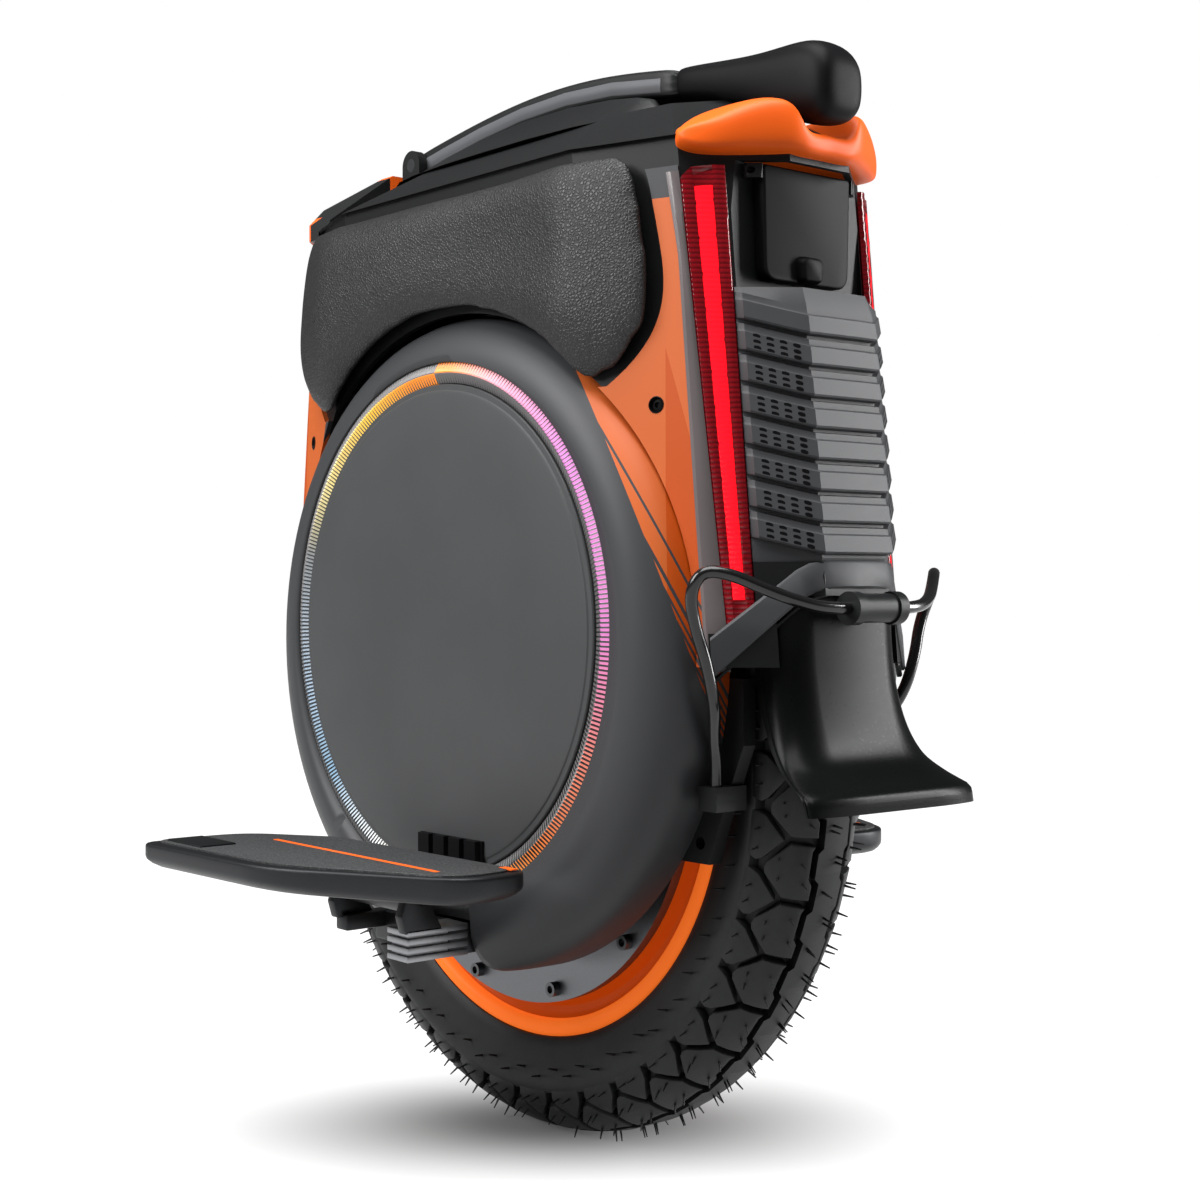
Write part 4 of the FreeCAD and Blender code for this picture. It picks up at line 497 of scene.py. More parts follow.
@dataclass(frozen=True)
class DecalPaint:
    """Grey moulding with an orange corner decal whose lower edge breaks into slanting bars; its deeper orange
    facet is painted shade.
    """

    name: str
    moulding: str = "#3A3B3D"
    orange: str = "#CA6128"
    # Deeper orange of the facet in painted shade.
    deep: str = "#BE4C04"
    across: float = 0.776
    along: float = 0.631
    edge_slope: float = 2.62
    edge_mm: float = 437.6
    bar_slope: float = 1.85
    bars_mm: Pair = (380.0, 430.0)
    gaps_mm: Pairs = (
        (380.0, 381.5), (383.2, 385.6), (387.8, 390.2), (392.5, 394.9), (397.2, 399.6), (403.3, 406.7),
        (420.7, 423.3))
    fold_mm: float = 50.8
    crease_slope: float = 3.87
    crease_mm: float = 620.0
    cap_mm: float = 496.0

    def build(self) -> Material:
        """Makes the material; lines lie in a plane seen at a slant, so they run on from piece to piece.

        Returns:
            The finished material.
        """
        shader = Shader(self.name, IOR=1.48, Specular_IOR_Level=0.32)
        split = shader.axes()
        reach = shader.math("MULTIPLY", shader.math("ABSOLUTE", split["Y"]), self.along)
        side = shader.math("MULTIPLY", shader.math("ABSOLUTE", split["X"]), self.across)
        flat = shader.math("SUBTRACT", reach, side)

        def height(slope: float) -> NodeSocket:
            """Gives how high a point lies over a line of this slope."""
            return shader.math("ADD", split["Z"], shader.math("MULTIPLY", flat, slope))

        low, high = self.bars_mm
        sockets = {"Value": height(self.bar_slope), "From Min": low * MM, "From Max": high * MM}
        place = shader.node("ShaderNodeMapRange", sockets).outputs["Result"]
        stops = []
        for start, end in self.gaps_mm:
            stops += [((start - low) / (high - low), grey(0.0)), ((end - low) / (high - low), grey(1.0))]
        bars = shader.ramp(place, stops, "CONSTANT")
        inside = shader.math("GREATER_THAN", height(self.edge_slope), self.edge_mm * MM)
        capped = shader.math("LESS_THAN", split["Z"], self.cap_mm * MM)
        mask = shader.math("MULTIPLY", shader.math("MULTIPLY", bars, inside), capped)
        # Painted shade: past the fold and under the crease the decal turns the deeper orange, standing for
        # the facet turned from the light; the paler orange stands for the lit facets.
        folded = shader.math("GREATER_THAN", flat, self.fold_mm * MM)
        under = shader.math("LESS_THAN", height(self.crease_slope), self.crease_mm * MM)
        painted_shade_facet = shader.math("MULTIPLY", folded, under)
        paint = shader.mix(painted_shade_facet, linear(self.orange), linear(self.deep))
        shader.link("Base Color", shader.mix(mask, linear(self.moulding), paint))
        grain = shader.noise(0.9, 1.0)
        shader.link("Roughness", shader.vary(grain, 0.4, 0.52))
        shader.bump(grain, 0.3, 0.05)
        return shader.material


@dataclass(frozen=True)
class TwoToneNose:
    """Moulded nose: black flanks, with an orange crown and an orange lip at its foot."""

    name: str
    orange: str = "#FF6612"
    black: str = "#131415"
    crown_half_mm: float = 24.0
    lip_top_mm: float = 537.0
    lip_rear_mm: float = 160.0

    def build(self) -> Material:
        """Makes the material from the place across, along and up the nose.

        Returns:
            The finished material.
        """
        shader = Shader(self.name, IOR=1.48, Roughness=0.42)
        split = shader.axes()
        crown = shader.math("LESS_THAN", shader.math("ABSOLUTE", split["X"]), self.crown_half_mm * MM)
        low = shader.math("LESS_THAN", split["Z"], self.lip_top_mm * MM)
        lip = shader.math("MULTIPLY", low, shader.math("GREATER_THAN", split["Y"], self.lip_rear_mm * MM))
        painted = shader.math("MAXIMUM", crown, lip)
        shader.link("Base Color", shader.mix(painted, linear(self.black), linear(self.orange)))
        shader.bump(shader.noise(0.9, 1.0), 0.1, 0.03)
        return shader.material


@dataclass(frozen=True)
class LitRing:
    """Light guide behind a comb of fine radial teeth, its colour running round the circle; which slope of the
    ridge glows is painted light.
    """

    name: str
    centre_y_mm: float = -7.4
    centre_z_mm: float = 285.7
    crest_mm: float = 137.75
    teeth: int = 380
    strength: float = 0.5
    gap_share: float = 0.42
    comb: tuple[str, str] = ("#232425", "#7D7A7A")
    hues: tuple[tuple[float, str], ...] = (
        (0.0, "#F2C14A"), (0.06, "#F29A3A"), (0.12, "#F0813F"), (0.18, "#EE8A7A"), (0.25, "#E283C8"),
        (0.36, "#D98ACB"), (0.44, "#E79AA8"), (0.485, "#F58A32"), (0.53, "#F28F25"), (0.58, "#F0C246"),
        (0.65, "#D9C98A"), (0.70, "#6E7173"), (0.78, "#3F5A70"), (0.86, "#6C8CA3"), (0.93, "#DADCDC"),
        (1.0, "#F2C14A"))

    def build(self) -> Material:
        """Makes the material from the angle round the ring's centre.

        Returns:
            The finished material.
        """
        shader = Shader(self.name, IOR=1.49, Roughness=0.35)
        split = shader.axes()
        dy = shader.math("SUBTRACT", split["Y"], self.centre_y_mm * MM)
        dz = shader.math("SUBTRACT", split["Z"], self.centre_z_mm * MM)
        turn = shader.math("DIVIDE", shader.math("ARCTAN2", dy, dz), FULL_TURN)
        share = shader.math("FRACT", shader.math("ADD", turn, 0.5))
        hue = shader.ramp(share, [(place, linear(colour)) for place, colour in self.hues])
        comb = shader.math("FRACT", shader.math("MULTIPLY", share, float(self.teeth)))
        gap = shader.math("GREATER_THAN", comb, self.gap_share)
        squares = shader.math("ADD", shader.math("MULTIPLY", dy, dy), shader.math("MULTIPLY", dz, dz))
        # Painted light: the glowing slope is set by place, the outer slope on the rear half and the inner
        # slope on the front half, for the slope that catches the light; the other slope shows the grey comb.
        outside = shader.math("GREATER_THAN", shader.math("SQRT", squares), self.crest_mm * MM)
        ahead = shader.math("GREATER_THAN", dy, 0.0)
        lit = shader.math("SUBTRACT", 1.0, shader.math("COMPARE", outside, ahead))
        bright = shader.math("MULTIPLY", lit, gap)
        comb_grey = shader.mix(gap, *(linear(colour) for colour in self.comb))
        shader.link("Base Color", shader.mix(bright, comb_grey, hue))
        shader.link("Emission Color", hue)
        shader.link("Emission Strength", shader.math("MULTIPLY", bright, self.strength))
        shader.bump(gap, 0.4, 0.3)
        return shader.material


@dataclass(frozen=True)
class LampRed:
    """Red acrylic lens with fine moulded ribs across it, glowing more or less."""

    name: str
    colour: str
    glow: float
    rib_mm: float
    contrast: float

    def build(self) -> Material:
        """Makes the material; the ribs follow the height.

        Returns:
            The finished material.
        """
        shader = Shader(self.name, IOR=1.49, Roughness=0.18)
        saw = shader.math("FRACT", shader.math("DIVIDE", shader.axes()["Z"], self.rib_mm * MM))
        ridge = shader.math("PINGPONG", saw, 0.5)
        base = linear(self.colour)
        dim = scaled(base, 1.0 - self.contrast)
        lit = shader.ramp(shader.math("MULTIPLY", ridge, 2.0), [(0.2, dim), (0.6, base)])
        shader.link("Base Color", lit)
        shader.link("Emission Color", lit)
        shader.principled.inputs["Emission Strength"].default_value = self.glow
        shader.bump(ridge, 0.5, 0.4)
        return shader.material


@dataclass(frozen=True)
class DeckGrit:
    """Grit sheet on the pedal: hard grains in black resin."""

    name: str
    colour: str = "#2B2C2D"
    grain: str = "#4A4B4C"
    grain_mm: float = 1.2

    def build(self) -> Material:
        """Makes the material with grains of about a millimetre.

        Returns:
            The finished material.
        """
        shader = Shader(self.name, IOR=1.5)
        sockets = {"Vector": shader.coords, "Scale": 1.0 / (self.grain_mm * MM)}
        cells = shader.node("ShaderNodeTexVoronoi", sockets)
        height = cells.outputs["Distance"]
        shader.link("Base Color",
                    shader.ramp(height, [(0.1, linear(self.grain)), (0.5, linear(self.colour))]))
        shader.link("Roughness", shader.vary(height, 0.5, 0.75))
        shader.bump(shader.math("SUBTRACT", 1.0, height), 0.5, 0.4)
        return shader.material


@dataclass(frozen=True)
class ClearLens:
    """Clear polycarbonate over a bright reflector."""

    name: str
    colour: str = "#D9DCE0"
    veil: str = "#B4B9BE"

    def build(self) -> Material:
        """Makes the material.

        Returns:
            The finished material.
        """
        shader = Shader(self.name, IOR=1.58, Roughness=0.12, Coat_Weight=0.6, Coat_Roughness=0.05)
        cloud = shader.noise(3.0, 2.0)
        shader.link("Base Color", shader.ramp(cloud, [(0.0, linear(self.veil)), (1.0, linear(self.colour))]))
        return shader.material


class Tint(Enum):
    """Finishes that dress the pieces."""

    COVER = MouldedPlastic("graphite_cover_abs", "#3A3B3D", 0.46)
    DISC = MouldedPlastic("graphite_disc_abs", "#404142", 0.5)
    REAR = MouldedPlastic("grey_rear_abs", "#3F4042", 0.5, 0.8, 0.06)
    TRIM = MouldedPlastic("grey_trim_abs", "#58595C", 0.36)
    BLACK = MouldedPlastic("black_abs", "#131415", 0.44, 0.9, 0.05, 0.0, 0.22)
    # The orange plastic's small glow is painted light.
    ORANGE = MouldedPlastic("orange_abs", "#FF6614", 0.46, 0.9, 0.03, specular=0.26, glow=0.06)
    GLOSS = MouldedPlastic("gloss_black_abs", "#0B0C0C", 0.3, 1.2, 0.015, 0.0, 0.08)
    SOFT = MouldedPlastic("soft_black_rubber", "#08080A", 0.5, 0.7, 0.06, 0.0, 0.1)
    LEAD = MouldedPlastic("lead_sheath_pvc", "#151516", 0.2, 1.4, 0.02, 0.3)
    GLASS = MouldedPlastic("dark_display_window", "#0E0F11", 0.08, 2.0, 0.0, 1.0)
    BOARD = MouldedPlastic("green_board_resin", "#1F6B3C", 0.4)
    PANEL = DecalPaint("striped_orange_panel")
    NOSE = TwoToneNose("two_tone_nose_abs")
    EDGE = MouldedPlastic("lamp_edge_acrylic", "#6F6767", 0.2, 1.2, 0.0, 0.6)
    TYRE = TyreRubber("tread_rubber")
    LEATHER = PadLeather("embossed_black_leather")
    # Painted light on the rim: the lip's strong glow is a painted highlight; the dish is a darker orange with
    # a weaker glow, painted shade of its recess.
    RIM = MouldedPlastic("orange_rim_lip_painted_glow", "#FF7426", 0.5, 0.8, 0.02, specular=0.16, glow=0.6)
    DISH = MouldedPlastic("orange_rim_dish_painted_light_and_shade", "#D2580C", 0.5, 0.8, 0.02, specular=0.16, glow=0.2)
    STEEL = Metal("blackened_screw_steel", "#5B5C5E", 0.34)
    CAST = Metal("blasted_grey_aluminium", "#77787B", 0.42, grain_mm=0.8)
    DARK = Metal("dark_anodised_aluminium", "#2E2F31", 0.42, grain_mm=0.7, metallic=0.75)
    RIBBED = Metal("extruded_aluminium", "#98999C", 0.4, (1.0, 0.06, 1.0))
    COPPER = Metal("enamelled_copper_wire", "#B4642E", 0.3, (0.1, 1.0, 1.0), 1.0)
    RING = LitRing("lit_comb_ring")
    STRIP = LampRed("lit_red_strip", "#FF1020", 1.0, 2.4, 0.12)
    LENS = LampRed("dark_red_lens", "#7A0A14", 0.25, 2.4, 0.5)
    GRIT = DeckGrit("deck_grit_sheet")
    CLEAR = ClearLens("clear_faceted_lens")


NODE_TINTS: dict[Tint, tuple[str, ...]] = {
    Tint.TYRE: ("inner_tube",),
    Tint.SOFT: ("valve_stem", "cover_bumpers", "power_button", "port_flap"),
    Tint.RIM: ("rim",),
    Tint.STEEL: ("magnet_ring", "motor_cover_screws", "wheel_bearings", "axle_shaft", "axle_nuts",
                 "stator_core", "pedal_pins", "panel_screws", "handle_pin"),
    Tint.CAST: ("motor_covers", "hanger_left", "hanger_right", "heat_sink"),
    Tint.COPPER: ("stator_windings",),
    Tint.BLACK: ("wheel_arch", "battery_packs", "main_shell", "top_cover", "rear_arch", "front_panel",
                 "charge_port", "cable_brackets", "cable_connector", "handle_bar", "handle_grip"),
    Tint.BOARD: ("controller_board",),
    Tint.GLASS: ("display",),
    Tint.COVER: ("side_cover_left", "side_cover_right"),
    Tint.DISC: ("side_disc_left", "side_disc_right"),
    Tint.RING: ("light_ring_left", "light_ring_right"),
    Tint.PANEL: ("rear_trim_left", "rear_trim_right", "front_trims"),
    Tint.LEATHER: ("knee_pad_left", "knee_pad_right"),
    Tint.LENS: ("tail_lamp_left", "tail_lamp_right"),
    Tint.REAR: ("rear_panel",),
    Tint.GLOSS: ("mudguard",),
    Tint.ORANGE: ("tail_rest",),
    Tint.NOSE: ("front_nose",),
    Tint.CLEAR: ("headlamp",),
    Tint.DARK: ("pedal_left", "pedal_right", "pedal_bracket_left", "pedal_bracket_right"),
    Tint.GRIT: ("pedal_deck_left", "pedal_deck_right"),
}


class Palette:
    """All finishes, made once."""

    def __init__(self) -> None:
        """Builds every finish."""
        self.made = {tint: tint.value.build() for tint in Tint}

    def fit(self, obj: Object, tint: Tint, body: str, slot: str, *nodes: str) -> Object:
        """Gives a finished piece its finish, lets it ride on a body and stand for nodes.

        Args:
            obj: Finished piece.
            tint: Finish of the piece.
            body: Body that carries it.
            slot: Material slot of the record that it belongs to; not used.
            *nodes: Nodes that it stands for, if any.

        Returns:
            The same object.
        """
        dress(obj, self.made[tint])
        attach(obj, body)
        if nodes:
            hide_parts(*nodes)
        LOG.info("piece %s on %s, %d faces", obj.name, body, len(getattr(obj.data, "polygons", ())))
        return obj

    def dress_nodes(self, nodes: dict[str, Object]) -> None:
        """Gives every carried-over node its finish."""
        for tint, names in NODE_TINTS.items():
            for name in names:
                dress(nodes[name], self.made[tint])


@dataclass
class Studio:
    """Pale floor, soft lamps and the camera at the photograph's angle."""

    target_mm: Triple = (0.0, 0.0, 294.0)
    azimuth_deg: float = -39.10
    elevation_deg: float = 0.73
    distance_mm: float = 1084.6
    focal_px: float = 1886.7
    centre_px: Pair = (560.05, 611.6)
    frame_px: float = 1200.0
    sensor_mm: float = 36.0
    floor_half_m: float = 14.0
    floor_grey: str = "#6A6A6A"
    # Painted shadow: radii of the ellipse round the wheel's foot where the floor's white lift falls away,
    # then its squeeze along the view.
    painted_shadow_m: Pair = (0.02, 0.25)
    painted_shadow_depth: float = 0.58
    # Emission that lifts the floor: its low end inside the painted shadow, its high end beyond it.
    lift: Pair = (0.06, 1.0)

    def make_world(self) -> None:
        """Lights the room dimly and shows it white."""
        world = bpy.data.worlds.new("studio_room")
        world.use_nodes = True
        bpy.context.scene.world = world
        tree = world.node_tree
        path = add_node(tree, "ShaderNodeLightPath").outputs
        power = add_node(tree, "ShaderNodeMapRange",
                         {"Value": path["Is Camera Ray"], "To Min": 0.07, "To Max": 1.0})
        background = tree.nodes["Background"]
        tree.links.new(power.outputs["Result"], background.inputs["Strength"])
        background.inputs["Color"].default_value = grey(1.0)

    def make_floor(self) -> None:
        """Lays the floor, which keeps the lamps' shadow, adds a painted shadow ellipse round the wheel's foot
        and shows white round it.
        """
        mesh = bmesh.new()
        bmesh.ops.create_grid(mesh, x_segments=1, y_segments=1, size=self.floor_half_m)
        floor = new_object("studio_floor", mesh)
        shader = Shader("pale_studio_floor", Base_Color=linear(self.floor_grey), Roughness=0.9,
                        Specular_IOR_Level=0.1, Emission_Color=grey(1.0))
        sockets = {"Vector": shader.coords, "Scale": (1.0, self.painted_shadow_depth, 1.0),
                   "Rotation": (0.0, 0.0, math.radians(self.azimuth_deg))}
        turned = shader.node("ShaderNodeMapping", sockets, vector_type="TEXTURE").outputs["Vector"]
        away = shader.node("ShaderNodeVectorMath", {0: turned}, operation="LENGTH")
        sockets = {"Value": away.outputs["Value"], "From Min": self.painted_shadow_m[0], "From Max": self.painted_shadow_m[1],
                   "To Min": self.lift[0], "To Max": self.lift[1]}
        # Painted shadow: the lift is low near the wheel's foot and full further out, so a dark ellipse shows
        # there whatever the lamps do.
        lift = shader.node("ShaderNodeMapRange", sockets, interpolation_type="SMOOTHSTEP").outputs["Result"]
        path = shader.node("ShaderNodeLightPath").outputs
        seen = shader.math("MAXIMUM", path["Is Camera Ray"], path["Is Glossy Ray"])
        seen = shader.math("MAXIMUM", seen, path["Is Transmission Ray"])
        shader.link("Emission Strength", shader.math("MULTIPLY", seen, lift))
        dress(floor, shader.material)

    def add_lamp(self, name: str, place: Sequence[float], aim: Sequence[float], size: Sequence[float],
                 power: float) -> None:
        """Hangs a soft rectangular lamp that looks at a point.

        Args:
            name: Name of the lamp.
            place: Where it hangs, in metres.
            aim: Point that it looks at.
            size: Its width and height in metres.
            power: Its power in watts.
        """
        data = bpy.data.lights.new(name, "AREA")
        data.shape = "RECTANGLE"
        data.size, data.size_y = size
        data.energy = power
        lamp = bpy.data.objects.new(name, data)
        lamp.location = place
        lamp.rotation_euler = (Vector(aim) - Vector(place)).to_track_quat("-Z", "Y").to_euler()
        bpy.context.scene.collection.objects.link(lamp)

    def make_lamps(self) -> None:
        """Hangs a top softbox, a square side key and a rear strip."""
        middle = (0.0, 0.0, 0.3)
        self.add_lamp("top_softbox", (-0.5, -0.35, 2.3), middle, (1.8, 1.8), 78.0)
        self.add_lamp("left_key", (-2.1, 0.9, 1.7), middle, (1.3, 1.3), 72.0)
        self.add_lamp("rear_right_strip", (2.0, -1.5, 0.9), middle, (0.5, 1.8), 78.0)

    def make_camera(self) -> None:
        """Sets the camera where the photograph was taken."""
        azimuth, elevation = math.radians(self.azimuth_deg), math.radians(self.elevation_deg)
        back = Vector((math.sin(azimuth) * math.cos(elevation), -math.cos(azimuth) * math.cos(elevation),
                       math.sin(elevation)))
        data = bpy.data.cameras.new("photo_camera")
        data.sensor_width = self.sensor_mm
        data.lens = self.focal_px / self.frame_px * self.sensor_mm
        data.shift_x = (self.frame_px / 2.0 - self.centre_px[0]) / self.frame_px
        data.shift_y = (self.centre_px[1] - self.frame_px / 2.0) / self.frame_px
        data.clip_start = 0.01
        camera = bpy.data.objects.new("photo_camera", data)
        camera.location = millimetres(*self.target_mm) + back * self.distance_mm * MM
        camera.rotation_euler = (-back).to_track_quat("-Z", "Y").to_euler()
        bpy.context.scene.collection.objects.link(camera)
        bpy.context.scene.camera = camera

    def build(self) -> None:
        """Sets up the whole studio."""
        bpy.context.scene.view_settings.view_transform = "Standard"
        self.make_world()
        self.make_floor()
        self.make_lamps()
        self.make_camera()


@dataclass
class RearLead:
    """Two cables from the in-line connector behind the body to a bracket on each side."""

    palette: Palette
    radius_mm: float = 3.0
    length_mm: float = 190.2
    route_mm: tuple[Triple, ...] = (
        (17.5, -237.0, 298.0), (33.0, -237.0, 298.0), (48.0, -231.0, 302.0), (61.0, -222.0, 308.0),
        (72.0, -214.0, 314.0), (82.0, -206.0, 316.0), (86.0, -201.0, 306.0), (80.0, -198.0, 290.0),
        (74.0, -200.0, 272.0), (67.0, -198.0, 252.0), (58.0, -188.0, 235.0), (52.5, -184.0, 224.0),
        (52.5, -184.0, 212.0))

    def make_cable(self, side: int) -> Object:
        """Draws one cable as a smooth line with a round section.

        Args:
            side: 1 for the right, -1 for the left.

        Returns:
            The cable.
        """
        name = f"lead_{side_name(side)}"
        data = bpy.data.curves.new(name, "CURVE")
        data.dimensions = "3D"
        data.bevel_depth = self.radius_mm * MM
        data.bevel_resolution = 5
        data.resolution_u = 12
        data.use_fill_caps = True
        line = data.splines.new("NURBS")
        line.points.add(len(self.route_mm) - 1)
        for point, (x, y, z) in zip(line.points, self.route_mm):
            point.co = (side * x * MM, y * MM, z * MM, 1.0)
        line.order_u = 3
        line.use_endpoint_u = True
        cable = bpy.data.objects.new(name, data)
        bpy.context.scene.collection.objects.link(cable)
        return cable

    def build(self, nodes: dict[str, Object]) -> None:
        """Makes both cables.

        Args:
            nodes: Frame's nodes by name; not used.
        """
        for side in SIDES:
            cable = self.palette.fit(self.make_cable(side), Tint.LEAD, "chassis", "gloss_black",
                                     f"cable_{side_name(side)}")
            x, y, z = self.route_mm[0]


@dataclass
class KnobblyTyre:
    """Tyre with a zigzag centre rib, pointed blocks, shoulder lugs and moulding whiskers."""

    palette: Palette
    axle_mm: float = 216.0
    half_width_mm: float = 33.0
    sidewall_mm: float = 185.0
    bead_mm: float = 160.7
    bead_half_width_mm: float = 25.2
    tread_depth_mm: float = 6.0
    sink_mm: float = 1.2
    lateral_mm: float = 32.0
    pitches: int = 42
    steps: int = 168
    halves: tuple[tuple[int, float], ...] = ((1, 0.0), (-1, 0.5))
    whisker_mm: float = 5.6
    whisker_radius_mm: float = 0.72
    whisker_root_mm: float = 0.5
    stray_share: float = 0.05
    stray_turns: Pair = (2.4, 1.7)
    edge_mm: float = 0.9
    rib_cuts_mm: Numbers = (-5.0, 0.0, 5.0)
    block_cuts_mm: Numbers = (15.0, 19.0, 24.0, 29.0, 33.0)
    lug_cuts_mm: Numbers = (32.0, 37.5, 42.0)
    flank_mm: Pairs = ((32.4, 180.6), (30.6, 174.5), (28.0, 166.5), (26.8, 162.6))
    rib_shape: Pairs = (
        (7.0, 0.0), (7.0, 0.34), (9.6, 0.42), (9.6, 0.82), (7.0, 0.9), (7.0, 1.0), (-9.6, 1.0),
        (-9.6, 0.92), (-7.0, 0.84), (-7.0, 0.4), (-9.6, 0.32), (-9.6, 0.0))
    block_shape: Pairs = (
        (10.4, 0.06), (10.4, 0.3), (12.6, 0.4), (12.6, 0.84), (11.2, 0.93), (24.0, 0.95), (35.2, 0.6),
        (36.0, 0.5), (35.2, 0.4), (24.5, 0.06))
    lug_shape: Pairs = (
        (27.4, 0.0), (37.6, -0.36), (41.0, -0.41), (46.6, -0.35), (46.6, 0.45), (41.0, 0.41), (37.6, 0.36))
    whisker_spots: Pairs = (
        (2.0, 0.2), (-3.0, 0.7), (15.0, 0.3), (17.0, 0.68), (28.0, 0.36), (29.0, 0.64), (41.0, 0.16),
        (41.0, 0.84), (54.0, 0.3), (58.0, 0.8))
    floor_mm: Pairs = (
        (0.0, 1.0), (6.0, 1.0), (12.0, 1.0), (18.0, 1.0), (24.0, 1.0), (30.0, 1.0), (35.0, 1.0),
        (39.0, 1.0), (41.8, 0.95), (44.6, 0.1), (46.0, 0.0), (48.2, 0.0), (50.26, 0.0))

    def pitch_mm(self) -> float:
        """Gives the length of one repeat round the crown."""
        return FULL_TURN * self.axle_mm / self.pitches

    def place(self, across: float, along: float, height: float) -> Vector:
        """Wraps a point of the flat tread on the round tyre.

        Args:
            across: Millimetres from the middle, along the curved section.
            along: Millimetres round the crown.
            height: Millimetres above the block tops, negative inwards.

        Returns:
            The point in metres.
        """
        lean = across / self.lateral_mm
        rise = self.axle_mm - self.sidewall_mm
        normal = Vector((math.sin(lean) / self.half_width_mm, math.cos(lean) / rise)).normalized()
        x = self.half_width_mm * math.sin(lean) + normal.x * height
        reach = self.sidewall_mm + rise * math.cos(lean) + normal.y * height
        turn = along / self.axle_mm
        return millimetres(x, reach * math.sin(turn), self.axle_mm + reach * math.cos(turn))

    def make_carcass(self) -> BMesh:
        """Spins the smooth casing under the blocks.

        Returns:
            The casing without its blocks.
        """
        half = []
        for across, share in self.floor_mm:
            spot = self.place(across, 0.0, -share * self.tread_depth_mm)
            half.append((spot.x, spot.z - self.axle_mm * MM))
        half += in_metres(self.flank_mm + ((self.bead_half_width_mm, self.bead_mm),))
        profile = [(-x, r) for x, r in reversed(half[1:])] + half
        return spun(profile, millimetres(0.0, 0.0, self.axle_mm), self.steps, True)

    def make_block(self, shape: Sequence[Pair], cuts: Sequence[float], mirror: int, shift: float,
                   edge_mm: float) -> BMesh:
        """Raises one block of the tread from its outline.

        Args:
            shape: Outline as millimetres across and shares of a pitch along.
            cuts: Places across where the block is divided so that it follows the curve.
            mirror: 1 for the right half of the tread, -1 for the left.
            shift: Share of a pitch that the block is moved round.
            edge_mm: Rounding of the top edge.

        Returns:
            The block, wrapped on the tyre.
        """
        mesh = bmesh.new()
        pitch = self.pitch_mm()
        base = -self.tread_depth_mm - self.sink_mm
        corners = [mesh.verts.new((mirror * u, (v + shift) * pitch, base)) for u, v in shape]
        face = mesh.faces.new(corners)
        raised = bmesh.ops.extrude_face_region(mesh, geom=[face])["geom"]
        tops = [v for v in raised if isinstance(v, BMVert)]
        bmesh.ops.translate(mesh, verts=tops, vec=(0.0, 0.0, -base))
        bmesh.ops.recalc_face_normals(mesh, faces=mesh.faces)
        if edge_mm > 0.0:
            rims = [e for e in mesh.edges if all(v.co.z > base / 2.0 for v in e.verts)]
            bevel(mesh, rims, edge_mm, 2)
        for cut in cuts:
            bmesh.ops.bisect_plane(mesh, geom=mesh.verts[:] + mesh.edges[:] + mesh.faces[:], dist=1e-5,
                                   plane_co=(mirror * cut, 0.0, 0.0), plane_no=AXLE)
        for vert in mesh.verts:
            vert.co = self.place(vert.co.x, vert.co.y, vert.co.z)
        bmesh.ops.recalc_face_normals(mesh, faces=mesh.faces)
        return mesh

    def make_whisker(self, across: float, along: float) -> BMesh | None:
        """Raises one thin whisker, or none where the floor would bend it.

        Args:
            across: Place across the tread.
            along: Place along it.

        Returns:
            The whisker.
        """
        foot = self.place(across, along, -self.whisker_root_mm)
        tip = self.place(across, along, self.whisker_mm)
        if tip.z < MM:
            return None
        mesh = bmesh.new()
        bmesh.ops.create_cone(mesh, cap_ends=True, segments=4, radius1=self.whisker_radius_mm * MM,
                              radius2=self.whisker_radius_mm * MM / 2.0, depth=(tip - foot).length)
        turn = (tip - foot).to_track_quat("Z", "X").to_matrix().to_4x4()
        bmesh.ops.transform(mesh, matrix=Matrix.Translation((foot + tip) / 2.0) @ turn, verts=mesh.verts)
        return mesh

    def make_repeat(self) -> list[BMesh]:
        """Makes the blocks of one pitch, the left half moved on by half a pitch.

        Returns:
            One pitch's blocks.
        """
        parts = [self.make_block(self.rib_shape, self.rib_cuts_mm, 1, 0.0, 0.0)]
        for side, shift in self.halves:
            for shape, cuts in ((self.block_shape, self.block_cuts_mm), (self.lug_shape, self.lug_cuts_mm)):
                parts.append(self.make_block(shape, cuts, side, shift, self.edge_mm))
        return parts

    def turned_blocks(self) -> Iterator[BMesh]:
        """Yields every block of the tread, turned to its place.

        Yields:
            The blocks of each pitch in turn.
        """
        axle = millimetres(0.0, 0.0, self.axle_mm)
        for part in self.make_repeat():
            for i in range(self.pitches):
                copy = part.copy()
                turn = Matrix.Rotation(FULL_TURN * i / self.pitches, 3, "X")
                bmesh.ops.rotate(copy, cent=axle, matrix=turn, verts=copy.verts)
                yield copy
            part.free()

    def whiskers(self) -> Iterator[BMesh]:
        """Yields the whiskers that the mould's vents leave on the blocks.

        Yields:
            The whiskers one by one.
        """
        by_pitch, by_spot = self.stray_turns
        for i in range(self.pitches):
            for side, shift in self.halves:
                for spot, (across, share) in enumerate(self.whisker_spots):
                    stray = self.stray_share * math.sin(by_pitch * i + by_spot * spot + side)
                    hair = self.make_whisker(side * across, (i + share + shift + stray) * self.pitch_mm())
                    if hair is not None:
                        yield hair

    def build(self) -> None:
        """Makes the tyre and its whiskers and lets them ride on the wheel."""
        tyre = new_object("tyre_with_tread", merged((self.make_carcass(), *self.turned_blocks())), 32.0)
        self.palette.fit(tyre, Tint.TYRE, "wheel", "tyre_rubber", "tyre")
        whiskers = new_object("tyre_whiskers", merged(self.whiskers()))
        self.palette.fit(whiskers, Tint.TYRE, "wheel", "tyre_rubber")


